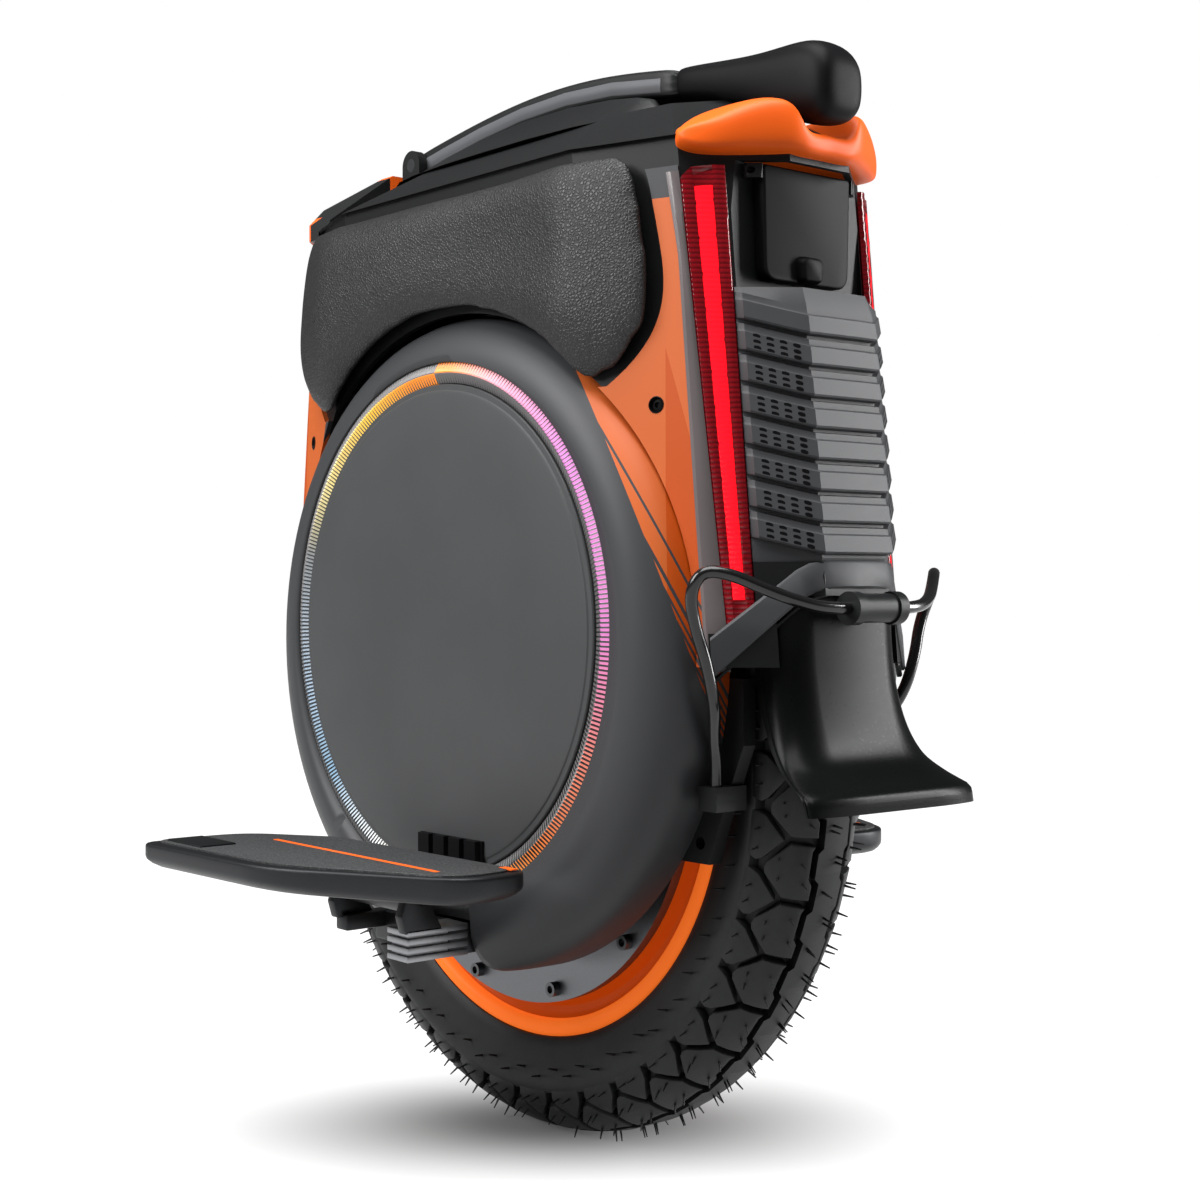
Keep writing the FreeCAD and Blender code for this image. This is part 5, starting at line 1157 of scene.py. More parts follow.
@dataclass
class RimRing:
    """Orange rim with a rounded lip round a deep dish on each face."""

    palette: Palette
    axle_mm: float = 216.0
    steps: int = 144
    dish_mm: Pairs = (
        (24.8, 112.0), (24.8, 141.0), (20.6, 142.4), (18.6, 144.4), (18.0, 147.0), (18.6, 149.6),
        (20.4, 151.6), (22.0, 152.4), (22.0, 158.0), (20.8, 158.0), (20.8, 152.6), (12.0, 152.6),
        (12.0, 148.0))
    lip_mm: Pairs = (
        (20.5, 151.0), (23.4, 151.2), (25.4, 152.2), (26.3, 154.0), (26.6, 156.0), (26.3, 158.2),
        (25.2, 159.8), (23.6, 160.5), (20.5, 160.5))

    def build(self) -> None:
        """Spins the dish and the two lips round the axle."""
        axle = millimetres(0.0, 0.0, self.axle_mm)
        half = in_metres(self.dish_mm)
        dish = spun(half + [(-x, r) for x, r in reversed(half)], axle, self.steps, True)
        # The dish's finish is darker with a weak painted glow, for the shade in its recess; the lips' finish
        # glows strongly as a painted highlight.
        self.palette.fit(new_object("rim_dish", dish, 30.0), Tint.DISH, "wheel", "orange_rim", "rim")
        lip = spun(in_metres(self.lip_mm), axle, self.steps, True)
        pair = new_object("rim_lips", merged((mirrored(lip), lip)), 40.0)
        self.palette.fit(pair, Tint.RIM, "wheel", "orange_rim")


@dataclass(frozen=True)
class BodyPlan:
    """Outline of the leaning body: corner half widths and their setbacks from each end."""

    middle_y_mm: float = -7.4
    bottom_mm: float = 270.0
    top_mm: float = 526.0
    half_length_mm: float = 221.6
    lean_mm: float = 25.0
    half_widths_mm: Numbers = (22.0, 48.0, 66.5, 86.0)
    setbacks_mm: Numbers = (0.0, 20.0, 34.0, 92.0)
    corner_mm: float = 1.0

    def spans(self) -> Iterator[tuple[float, float, float, float]]:
        """Yields each facet of a corner: its inner and outer half width, then its two setbacks."""
        widths, backs = self.half_widths_mm, self.setbacks_mm
        yield from zip(widths, widths[1:], backs, backs[1:])

    def half_length(self, z: float) -> float:
        """Gives the body's half length at a height, both in millimetres."""
        return self.half_length_mm - self.lean_mm * (z - self.bottom_mm) / (self.top_mm - self.bottom_mm)

    def rear(self, x: float, z: float) -> float:
        """Gives the rear surface's place.

        Args:
            x: Reach from the middle plane in millimetres.
            z: Height in millimetres.

        Returns:
            Its Y in millimetres.
        """
        setback = self.setbacks_mm[0 if abs(x) <= self.half_widths_mm[0] else -1]
        for w0, w1, s0, s1 in self.spans():
            if w0 < abs(x) <= w1:
                setback = s0 + (s1 - s0) * (abs(x) - w0) / (w1 - w0)
        return self.middle_y_mm - self.half_length(z) + setback

    def outward(self, x: float) -> Vector:
        """Gives the direction that the rear surface faces, seen from above.

        Args:
            x: Reach from the middle plane in millimetres.

        Returns:
            The direction, halfway between two facets at the first corner.
        """
        slopes = [(s1 - s0) / (w1 - w0) for w0, w1, s0, s1 in self.spans() if w0 <= abs(x) <= w1]
        slope = slopes[0] if slopes else 0.0
        if abs(abs(x) - self.half_widths_mm[0]) < self.corner_mm:
            slope /= 2.0
        return Vector((math.copysign(slope, x), -1.0, 0.0)).normalized()

    def point(self, x: float, z: float, proud: float) -> Vector:
        """Gives a point in metres on the rear, moved out by a distance in millimetres."""
        return millimetres(x, self.rear(x, z), z) + self.outward(x) * proud * MM


def carved(obj: Object, *cutters: BMesh) -> Object:
    """Cuts closed shapes out of a closed piece.

    Args:
        obj: Piece that is cut.
        *cutters: Shapes to take away, which are freed.

    Returns:
        The same object with its new mesh.
    """
    for cutter in cutters:
        tool = new_object("cutter", cutter)
        cut = obj.modifiers.new("cut", "BOOLEAN")
        cut.operation = "DIFFERENCE"
        cut.solver = "EXACT"
        cut.object = tool
        apply_modifiers(obj)
        bpy.data.objects.remove(tool)
    return obj


def block(low: Sequence[float], high: Sequence[float]) -> BMesh:
    """Makes a box between two corners in millimetres.

    Args:
        low: Corner with the least values.
        high: Corner opposite it.

    Returns:
        The box.
    """
    mesh = bmesh.new()
    bmesh.ops.create_cube(mesh, size=1.0)
    size = [(b - a) * MM for a, b in zip(low, high)]
    bmesh.ops.scale(mesh, vec=size, verts=mesh.verts)
    bmesh.ops.translate(mesh, vec=millimetres(*[(a + b) / 2.0 for a, b in zip(low, high)]), verts=mesh.verts)
    return mesh


@dataclass
class SideCover:
    """Round cover with a domed disc inside a toothed light ring."""

    palette: Palette
    centre_mm: Pair = (-9.0, 277.0)
    ring_centre_mm: Pair = (-7.4, 285.7)
    ring_radii_mm: Pair = (132.0, 143.5)
    seat_x_mm: float = 89.0
    beyond_x_mm: float = 99.0
    notch_x_mm: float = 45.0
    notch_mm: Triple = (60.0, 37.5, 131.5)
    disc_rim_mm: Pairs = ((89.0, 0.3), (91.6, 0.3), (92.2, 0.8), (92.4, 3.4), (93.0, 4.2), (93.3, 6.0))
    disc_dome_mm: Pairs = ((93.7, 96.0), (94.0, 50.0), (94.0, 0.0))
    ridge_x_mm: Pair = (90.6, 93.4)
    ridge_half_mm: float = 0.6
    tooth_x_mm: float = 92.0
    tooth_depth_mm: float = 0.8
    steps: int = 128
    teeth: int = 380
    outer_mm: Pairs = (
        (92.0, 0.0), (92.0, 152.0), (91.5, 156.5), (90.2, 161.0), (88.0, 165.6), (85.0, 169.8),
        (81.0, 173.4), (76.0, 176.0), (70.0, 177.6), (64.0, 178.0), (46.0, 178.0))
    inner_mm: Pairs = (
        (46.0, 175.0), (64.0, 175.0), (73.0, 173.4), (80.0, 169.0), (84.5, 162.0), (86.0, 154.0),
        (86.0, 0.0))

    def centre(self, place: Pair) -> Vector:
        """Gives a point of the middle plane in metres."""
        return millimetres(0.0, *place)

    def turned(self, outline: Sequence[Pair], place: Pair) -> BMesh:
        """Spins an open outline in millimetres round a point of the middle plane."""
        return spun(in_metres(outline), self.centre(place), self.steps, False)

    def make_shell(self, side: int) -> Object:
        """Spins the cover's wall, then cuts the ring's seat and the bracket's notch.

        Args:
            side: Positive for the right one.

        Returns:
            The cover.
        """
        mesh = self.turned(self.outer_mm + self.inner_mm, self.centre_mm)
        outer, beyond = self.ring_radii_mm[1], self.beyond_x_mm
        seat = self.turned(((self.seat_x_mm, 0.0), (self.seat_x_mm, outer), (beyond, outer), (beyond, 0.0)),
                           self.ring_centre_mm)
        low, half, top = self.notch_mm
        notch = block((self.notch_x_mm, -half, low), (beyond, half, top))
        shell = sided("round_cover", mesh, side, 24.0)
        carved(shell, on_side(seat, side), on_side(notch, side))
        return shell

    def make_disc(self) -> BMesh:
        """Spins the slightly domed disc with a stepped edge.

        Returns:
            The disc.
        """
        inner = self.ring_radii_mm[0]
        outline = [(self.seat_x_mm, 0.0)] + [(x, inner - inset) for x, inset in self.disc_rim_mm]
        outline += self.disc_dome_mm
        return self.turned(outline, self.ring_centre_mm)

    def make_ring(self) -> BMesh:
        """Spins the ridge of the light ring and notches every other step of its teeth.

        Returns:
            The ring.
        """
        inner, outer = self.ring_radii_mm
        crest = (inner + outer) / 2.0
        centre = self.centre(self.ring_centre_mm)
        base, low, high = (self.seat_x_mm, *self.ridge_x_mm)
        half = self.ridge_half_mm
        outline = ((base, inner + 0.1), (low, inner + 0.2), (high, crest - half), (high, crest + half),
                   (low, outer - 0.2), (base, outer - 0.1))
        mesh = spun(in_metres(outline), centre, 2 * self.teeth, True)
        for vert in mesh.verts:
            turn = math.atan2(vert.co.y - centre.y, vert.co.z - centre.z) / FULL_TURN
            if vert.co.x > self.tooth_x_mm * MM and round(turn * 2 * self.teeth) % 2:
                vert.co.x -= self.tooth_depth_mm * MM
        return mesh

    def build(self) -> None:
        """Makes both covers with their discs and rings."""
        for side in SIDES:
            end = side_name(side)
            self.palette.fit(self.make_shell(side), Tint.PANEL, "chassis", "grey_plastic",
                             f"side_cover_{end}")
            disc = sided("domed_disc", self.make_disc(), side, 20.0)
            self.palette.fit(disc, Tint.DISC, "chassis", "grey_plastic", f"side_disc_{end}")
            ring = sided("toothed_light_ring", self.make_ring(), side, 20.0)
            self.palette.fit(ring, Tint.RING, "chassis", "lit_ring", f"light_ring_{end}")


# Settings of the cloth run that blows up the pads.
FOAM_CLOTH = {
    "quality": 4, "mass": 0.3, "tension_stiffness": 30.0, "compression_stiffness": 30.0,
    "bending_stiffness": 4.0, "use_pressure": True, "uniform_pressure_force": 4.0}


@dataclass
class KneePad:
    """Foam pad under embossed leather, blown up by a cloth run from its plain solid."""

    palette: Palette
    merge_mm: float = 0.05
    voxel_mm: float = 4.5
    shrink_mm: float = 1.2
    frames: int = 20
    cap_mm: float = 4.0
    dish_mm: Pair = (-62.0, 480.0)
    dish_reach_mm: Pair = (108.0, 60.0)
    dish_depth_mm: float = 7.0
    taper_mm: Pair = (52.0, 11.0)
    blank_passes: int = 3
    soft_passes: int = 12
    swell_mm: float = 2.0

    def make_blank(self, name: str, node: Object) -> Object:
        """Copies the plain solid, evenly meshed, drawn in a little and dished on its face.

        Args:
            name: Name of the piece.
            node: Plain solid from the frame.

        Returns:
            The blank that the cloth run starts from.
        """
        mesh = bmesh.new()
        mesh.from_mesh(node.data)
        clean(mesh, self.merge_mm * MM)
        blank = new_object(name, mesh)
        remesh = blank.modifiers.new("remesh", "REMESH")
        remesh.mode = "VOXEL"
        remesh.voxel_size = self.voxel_mm * MM
        apply_modifiers(blank)
        soft = bmesh.new()
        soft.from_mesh(blank.data)
        smoothed(soft, self.blank_passes)
        soft.normal_update()
        middle_y, middle_z = self.dish_mm
        reach_y, reach_z = self.dish_reach_mm
        rear = min(v.co.y for v in soft.verts) / MM
        back, face = (pick(abs(v.co.x) for v in soft.verts) / MM for pick in (min, max))
        for vert in soft.verts:
            vert.co -= vert.normal * self.shrink_mm * MM
            near = max(1.0 - (vert.co.y / MM - rear) / self.taper_mm[0], 0.0)
            out = (abs(vert.co.x) / MM - back) / (face - back)
            vert.co.x -= math.copysign(self.taper_mm[1] * min(near, 1.0) ** 2 * max(out, 0.0) * MM, vert.co.x)
            off = ((vert.co.y / MM - middle_y) / reach_y) ** 2 + ((vert.co.z / MM - middle_z) / reach_z) ** 2
            if abs(vert.normal.x) > 0.5 and vert.normal.x * vert.co.x > 0.0 and off < 1.0:
                vert.co.x -= math.copysign(self.dish_depth_mm * (1.0 - off) ** 2 * MM, vert.co.x)
        soft.to_mesh(blank.data)
        soft.free()
        return blank

    def blow_up(self, obj: Object, side: int) -> None:
        """Runs the cloth under pressure and keeps each point within the cap.

        Args:
            obj: Pad blank.
            side: 1 for the right, -1 for the left.
        """
        scene = bpy.context.scene
        start = [v.co.copy() for v in obj.data.vertices]
        cloth = obj.modifiers.new("foam", "CLOTH").settings
        for setting, value in FOAM_CLOTH.items():
            setattr(cloth, setting, value)
        cloth.effector_weights.gravity = 0.0
        for step in range(1, self.frames + 1):
            scene.frame_set(step)
        apply_modifiers(obj)
        scene.frame_set(1)
        cap = self.cap_mm * MM
        for vert, rest in zip(obj.data.vertices, start):
            move = vert.co - rest
            if move.length > cap:
                move *= cap / move.length
            if side * move.x < 0.0:
                move.x = 0.0
            vert.co = rest + move

    def soften(self, obj: Object, side: int) -> None:
        """Rounds the pad's edges, then swells its face to make up for what the rounding took.

        Args:
            obj: Pad to work on.
            side: Positive for the right one.
        """
        mesh = bmesh.new()
        mesh.from_mesh(obj.data)
        smoothed(mesh, self.soft_passes)
        mesh.normal_update()
        for vert in mesh.verts:
            share = min(max(0.6 + side * vert.normal.x, 0.0), 1.0)
            vert.co += vert.normal * share * self.swell_mm * MM
        mesh.to_mesh(obj.data)
        mesh.free()

    def build(self, nodes: dict[str, Object]) -> None:
        """Makes both pads.

        Args:
            nodes: Frame's nodes by name.
        """
        for side in SIDES:
            name = f"knee_pad_{side_name(side)}"
            pad = self.make_blank(f"padded_{name}", nodes[name])
            self.blow_up(pad, side)
            self.soften(pad, side)
            for face in pad.data.polygons:
                face.use_smooth = True
            rounding(pad, 1)
            self.palette.fit(pad, Tint.LEATHER, "chassis", "pad_leather", name)


def curve_at(points: Sequence[Pair], place: float) -> float:
    """Reads (place, value) points at a place, along a smooth curve through all of them.

    Args:
        points: At least two points, in order of place.
        place: Where the curve is read; beyond the ends it stays level.

    Returns:
        The curve's value.
    """
    place = min(max(place, points[0][0]), points[-1][0])
    start = 0
    while start < len(points) - 2 and place > points[start + 1][0]:
        start += 1
    ends = [points[min(max(start + i, 0), len(points) - 1)] for i in (-1, 0, 1, 2)]
    (x1, v1), (x2, v2) = ends[1:3]
    span = x2 - x1
    m1 = (v2 - ends[0][1]) / (x2 - ends[0][0]) * span
    m2 = (ends[3][1] - v1) / (ends[3][0] - x1) * span
    t = (place - x1) / span
    return ((2 * t ** 3 - 3 * t ** 2 + 1) * v1 + (t ** 3 - 2 * t ** 2 + t) * m1
            + (3 * t ** 2 - 2 * t ** 3) * v2 + (t ** 3 - t ** 2) * m2)


def oval(count: int, half_wide: float, half_high: float, power: float) -> list[Pair]:
    """Lists the points of a rounded box, from the positive first axis towards the second.

    Args:
        count: Points in the loop.
        half_wide: Reach along the first axis.
        half_high: Reach along the second axis.
        power: 2 for an ellipse; larger values fill the corners.

    Returns:
        Pairs on the two axes.
    """
    loop = []
    for i in range(count):
        turn = FULL_TURN * i / count
        c, s = math.cos(turn), math.sin(turn)
        loop.append((math.copysign(abs(c) ** (2.0 / power), c) * half_wide,
                     math.copysign(abs(s) ** (2.0 / power), s) * half_high))
    return loop


def rounded(points: Sequence[Pair], radii: Sequence[float], steps: int = 5) -> list[Pair]:
    """Rounds the corners of a closed outline with arcs.

    Args:
        points: Corners in order.
        radii: Radius of each corner; each is limited by its shorter side.
        steps: Points along an arc.

    Returns:
        The outline's points.
    """
    outline = []
    count = len(points)
    for i, radius in enumerate(radii):
        corner = Vector(points[i])
        before, after = (Vector(points[(i + k) % count]) - corner for k in (-1, 1))
        half = before.angle(after) / 2.0
        cut = min(radius / math.tan(half), 0.49 * before.length, 0.49 * after.length)
        start, end = (corner + way.normalized() * cut for way in (before, after))
        for j in range(steps + 1):
            t = j / steps
            outline.append(tuple(start * (1 - t) ** 2 + corner * 2 * t * (1 - t) + end * t * t))
    return outline


@dataclass
class RearPanel:
    """Ribbed rear panel with rows of vents on its slanted flanks."""

    palette: Palette
    plan: BodyPlan = BodyPlan()
    first_mm: float = 322.0
    foot_mm: float = 320.0
    top_mm: float = 451.8
    skin_mm: float = 0.3
    back_mm: float = 3.0
    plain_mm: float = 47.0
    pitch_mm: float = 15.0
    ribs: int = 8
    rise_mm: float = 8.0
    columns_mm: Numbers = (-48.0, -45.5, -38.0, -30.0, -22.0, -8.0, 8.0, 22.0, 30.0, 38.0, 45.5, 48.0)
    section_mm: Pairs = (
        (0.0, 0.8), (1.3, 0.8), (2.0, 4.3), (2.9, 5.0), (10.6, 4.3), (11.4, 3.4), (12.0, 3.2), (14.4, 3.0))
    vent_rows_mm: Numbers = (3.9, 6.8, 9.7)
    vent_columns_mm: Numbers = (26.2, 31.2, 36.2, 41.2)
    vent_half_mm: Pair = (1.5, 1.05)
    vent_proud_mm: float = 5.35
    rib_fall: float = 0.09
    rib_crest_mm: float = 2.9

    def lift(self, x: float) -> float:
        """Gives how far a rib climbs at a reach from the middle plane."""
        low, high = self.plan.half_widths_mm[:2]
        return self.rise_mm * min(max((abs(x) - low) / (high - low), 0.0), 1.0)

    def make_ribs(self) -> Object:
        """Lofts the panel's ribbed skin from one side to the other.

        Returns:
            The ribs.
        """
        loops = []
        for x in self.columns_mm:
            edge = 0.0 if abs(x) > self.plain_mm else 1.0
            path = [(self.foot_mm, self.skin_mm)]
            for rib in range(self.ribs):
                low = self.first_mm + rib * self.pitch_mm + self.lift(x)
                path += [(low + z, proud * edge + self.skin_mm) for z, proud in self.section_mm]
            path.append((self.top_mm, self.skin_mm))
            loop = [self.plan.point(x, min(z, self.top_mm), proud) for z, proud in path]
            loop += [self.plan.point(x, z, -self.back_mm) for z in (self.top_mm, self.foot_mm)]
            loops.append(loop)
        return new_object("ribbed_rear_panel", lofted(loops), 18.0)

    def make_vents(self) -> Object:
        """Lays flat black ovals on both flanks for the vent openings; their black is painted shade.

        Returns:
            The vents.
        """
        mesh = bmesh.new()
        half_x, half_z = self.vent_half_mm
        for side in SIDES:
            for rib in range(self.ribs - 1):
                for row in self.vent_rows_mm:
                    for column in self.vent_columns_mm:
                        x = side * column
                        z = self.first_mm + rib * self.pitch_mm + row + self.lift(x)
                        proud = self.vent_proud_mm - self.rib_fall * (row - self.rib_crest_mm)
                        ring = [self.plan.point(x + u, z + v + self.lift(x + u) - self.lift(x), proud)
                                for u, v in oval(8, half_x, half_z, 2.6)]
                        mesh.faces.new([mesh.verts.new(p) for p in ring])
        bmesh.ops.recalc_face_normals(mesh, faces=mesh.faces)
        for face in mesh.faces:
            if face.normal.y > 0.0:
                face.normal_flip()
        return new_object("rear_vent_painted_shade", mesh)

    def build(self) -> None:
        """Makes the panel and its vents."""
        self.palette.fit(self.make_ribs(), Tint.REAR, "chassis", "grey_plastic", "rear_panel")
        # The black vent ovals are painted shade.
        self.palette.fit(self.make_vents(), Tint.SOFT, "chassis", "black_plastic")


@dataclass
class ArchBezel:
    """Raised grey band over the mudguard, with a slanting leg down each side."""

    palette: Palette
    plan: BodyPlan = BodyPlan()
    upper_mm: Pairs = (
        (0.0, 320.6), (20.0, 320.6), (27.0, 319.4), (32.0, 316.2), (37.0, 311.4), (50.0, 299.2),
        (66.4, 284.0))
    lower_mm: Pairs = (
        (0.0, 307.4), (18.0, 307.4), (25.0, 305.8), (30.0, 302.6), (35.0, 297.8), (49.0, 283.2),
        (66.4, 265.0))
    proud_mm: float = 3.6
    lip_proud_mm: float = 1.8
    lip_mm: Pair = (1.0, 3.4)
    soft_mm: float = 1.2
    back_mm: float = 1.0
    shoulder_mm: float = 0.9

    def section(self, high: Pair, low: Pair, side: int, proud: float) -> list[Vector]:
        """Gives a band's section between a point of its upper edge and one of its lower edge.

        Args:
            high: Reach and height of the upper point.
            low: Reach and height of the lower point.
            side: Positive on the right.
            proud: How far the band stands out.

        Returns:
            Points of the section in metres.
        """
        ends = (Vector(high), Vector(low))
        way = (ends[1] - ends[0]).normalized() * min(self.soft_mm, (ends[1] - ends[0]).length / 3.0)
        back, shoulder = -self.back_mm, proud - self.shoulder_mm
        spots = ((ends[0], back), (ends[0], shoulder), (ends[0] + way, proud), (ends[1] - way, proud),
                 (ends[1], shoulder), (ends[1], back))
        return [self.plan.point(side * spot.x, spot.y, depth) for spot, depth in spots]

    def make_band(self, name: str, upper: Sequence[Pair], lower: Sequence[Pair], proud: float) -> Object:
        """Lofts a band from the left foot to the right foot.

        Args:
            name: Name of the piece.
            upper: Upper edge of its right half, from the middle outwards.
            lower: Lower edge of its right half.
            proud: How far it stands out.

        Returns:
            The finished band.
        """
        pairs = list(zip(upper, lower))
        loops = [self.section(high, low, -1, proud) for high, low in reversed(pairs[1:])]
        loops += [self.section(high, low, 1, proud) for high, low in pairs]
        return new_object(name, lofted(loops), 38.0)

    def build(self) -> None:
        """Makes the band and the thin lip along its lower edge."""
        band = self.make_band("arch_bezel", self.upper_mm, self.lower_mm, self.proud_mm)
        self.palette.fit(band, Tint.REAR, "chassis", "grey_plastic")
        near, far = self.lip_mm
        lip = self.make_band("arch_lip", [(x, z - near) for x, z in self.lower_mm],
                             [(x, z - far) for x, z in self.lower_mm], self.lip_proud_mm)
        self.palette.fit(lip, Tint.BLACK, "chassis", "black_plastic")


@dataclass
class TailLamp:
    """Tall lamp on each rear corner: dark ribbed lens, bright strip and a grey bead beside it."""

    palette: Palette
    plan: BodyPlan = BodyPlan()
    feet_mm: Pair = (301.0, 284.4)
    strip_foot_mm: float = 302.0
    top_mm: float = 511.0
    strip_top_mm: float = 501.0
    edges_mm: Pair = (48.4, 66.2)
    strip_mm: Pair = (53.6, 61.2)
    rib_mm: float = 3.0
    bead_mm: Pair = (268.0, 508.0)
    bead_rows: int = 12
    strip_rows: int = 24
    rib_dip_mm: float = 0.35
    lens_proud_mm: Numbers = (0.4, 1.2, 1.5, 0.9)
    lens_steps_mm: Pair = (0.8, 0.6)
    strip_proud_mm: Pair = (1.0, 1.5)
    strip_steps_mm: Pair = (0.2, 1.0)
    backs_mm: Pair = (-2.0, 0.2)
    bead_inner_mm: Pairs = ((0.0, -0.8), (0.0, 0.8), (0.7, 1.3))
    bead_outer_mm: Pairs = ((-0.6, 1.3), (0.3, 1.3), (0.9, 0.9), (1.1, -0.6))
    bead_gap_mm: float = 0.2
    bead_least_mm: float = 1.3
    corner_mm: float = 66.4
    lean: float = 0.03
    shoulder_mm: float = 7.0

    def share(self, x: float) -> float:
        """Gives how far across the lamp a reach lies: 0 at its inner edge, 1 at its outer."""
        return (x - self.edges_mm[0]) / (self.edges_mm[1] - self.edges_mm[0])

    def across(self, x: float, z: float) -> float:
        """Draws a reach across the lamp in towards the lamp's foot, the outer edge most."""
        return x - self.share(x) * self.lean * (self.top_mm - z)

    def foot(self, x: float) -> float:
        """Gives the lens's lower edge, which slants down to a tip at its outer side."""
        return self.feet_mm[0] + (self.feet_mm[1] - self.feet_mm[0]) * self.share(x)

    def make_column(self, name: str, side: int, section: Sequence[Pair], back: float, rows: int,
                    top: float, foot: Callable[[float], float]) -> Object:
        """Lofts a tall strip that follows the leaning corner.

        Args:
            name: Name of the piece.
            side: 1 for the right, -1 for the left.
            section: Reaches across the lamp with how far each stands out.
            back: Depth of the strip's rear face.
            rows: Steps up the strip; every other one is a shallow rib.
            top: Height of the strip's upper end in millimetres.
            foot: Height of its lower end at a reach across the lamp.

        Returns:
            The finished strip.
        """
        loops = []
        spots = [(x, proud, self.rib_dip_mm) for x, proud in section]
        spots += [(section[-1][0], back, 0.0), (section[0][0], back, 0.0)]
        for row in range(rows + 1):
            loop = []
            for x, proud, dip in spots:
                z = foot(x) + (top - self.shoulder_mm * self.share(x) ** 6 - foot(x)) * row / rows
                loop.append(self.plan.point(self.across(x, z), z, proud - dip * (row % 2)))
            loops.append(loop)
        return sided(name, lofted(loops), side, 50.0)

    def make_bead(self) -> BMesh:
        """Lofts the grey corner beside the lamp, which widens downwards.

        Returns:
            The bead.
        """
        loops = []
        low, high = self.bead_mm
        for row in range(self.bead_rows + 1):
            z = low + (high - low) * row / self.bead_rows
            near = self.across(self.edges_mm[1], z) + self.bead_gap_mm
            far = max(self.corner_mm, near + self.bead_least_mm)
            section = [(near + u, proud) for u, proud in self.bead_inner_mm]
            section += [(far + u, proud) for u, proud in self.bead_outer_mm]
            loops.append([self.plan.point(x, z, proud) for x, proud in section])
        return lofted(loops)

    def build(self) -> None:
        """Makes both lamps."""
        e0, e1 = self.edges_mm
        s0, s1 = self.strip_mm
        rows = round((self.top_mm - self.feet_mm[1]) / self.rib_mm)
        rim, edge, crest, groove = self.lens_proud_mm
        wide, step = self.lens_steps_mm
        lens = ((e0, rim), (e0 + wide, edge), (s0 - step, crest), (s0, groove), (s1, groove),
                (s1 + step, crest), (e1 - wide, edge), (e1, rim))
        near, far = self.strip_steps_mm
        low, high = self.strip_proud_mm
        glow = ((s0 + near, low), (s0 + far, high), (s1 - far, high), (s1 - near, low))
        lens_back, strip_back = self.backs_mm
        for side in SIDES:
            body = self.make_column("lamp_lens", side, lens, lens_back, rows, self.top_mm, self.foot)
            self.palette.fit(body, Tint.LENS, "chassis", "red_lens", f"tail_lamp_{side_name(side)}")
            strip = self.make_column("lamp_strip", side, glow, strip_back, self.strip_rows, self.strip_top_mm,
                                     lambda x: self.strip_foot_mm)
            self.palette.fit(strip, Tint.STRIP, "chassis", "red_lens")
            bead = sided("lamp_bead", self.make_bead(), side, 30.0)
            self.palette.fit(bead, Tint.EDGE, "chassis", "grey_plastic")


@dataclass
class TailRest:
    """Orange rest under the handle's end: two horns with a notch between them and drooping tips."""

    palette: Palette
    stations_mm: Numbers = (2.0, 10.0, 16.0, 19.5, 23.0, 28.0, 35.0, 44.0, 53.0, 60.0, 65.0, 67.6)
    top_mm: Pairs = (
        (0.0, 530.5), (15.0, 530.8), (22.0, 543.5), (29.0, 545.5), (40.0, 543.0), (56.0, 533.5),
        (68.0, 528.0))
    bottom_mm: Pairs = ((0.0, 516.3), (45.0, 516.3), (60.0, 517.5), (68.0, 522.0))
    rear_mm: Pairs = (
        (0.0, -209.6), (22.0, -209.4), (34.0, -203.0), (48.0, -195.0), (60.0, -186.0), (68.0, -176.5))
    front_mm: Pairs = ((0.0, -150.5), (42.0, -150.5), (52.0, -155.0), (60.0, -163.0), (68.0, -170.5))
    points: int = 20
    power: float = 4.0
    tip_mm: float = 67.0
    tip_share: float = 0.55

    def ring(self, x: float) -> list[Vector]:
        """Gives the rest's closed section at a reach from the middle plane.

        Args:
            x: Place across the part.

        Returns:
            Points around the rest there.
        """
        top, bottom = curve_at(self.top_mm, abs(x)), curve_at(self.bottom_mm, abs(x))
        rear, front = curve_at(self.rear_mm, abs(x)), curve_at(self.front_mm, abs(x))
        shrink = self.tip_share if abs(x) > self.tip_mm else 1.0
        return [millimetres(x, (rear + front) / 2.0 + u * shrink, (top + bottom) / 2.0 + v * shrink)
                for u, v in oval(self.points, (front - rear) / 2.0, (top - bottom) / 2.0, self.power)]

    def build(self) -> None:
        """Lofts the rest from tip to tip."""
        places = [-x for x in reversed(self.stations_mm)] + list(self.stations_mm)
        rest = new_object("smooth_tail_rest", lofted([self.ring(x) for x in places]), 60.0)
        rounding(rest, 2)
        self.palette.fit(rest, Tint.ORANGE, "chassis", "orange_plastic", "tail_rest")


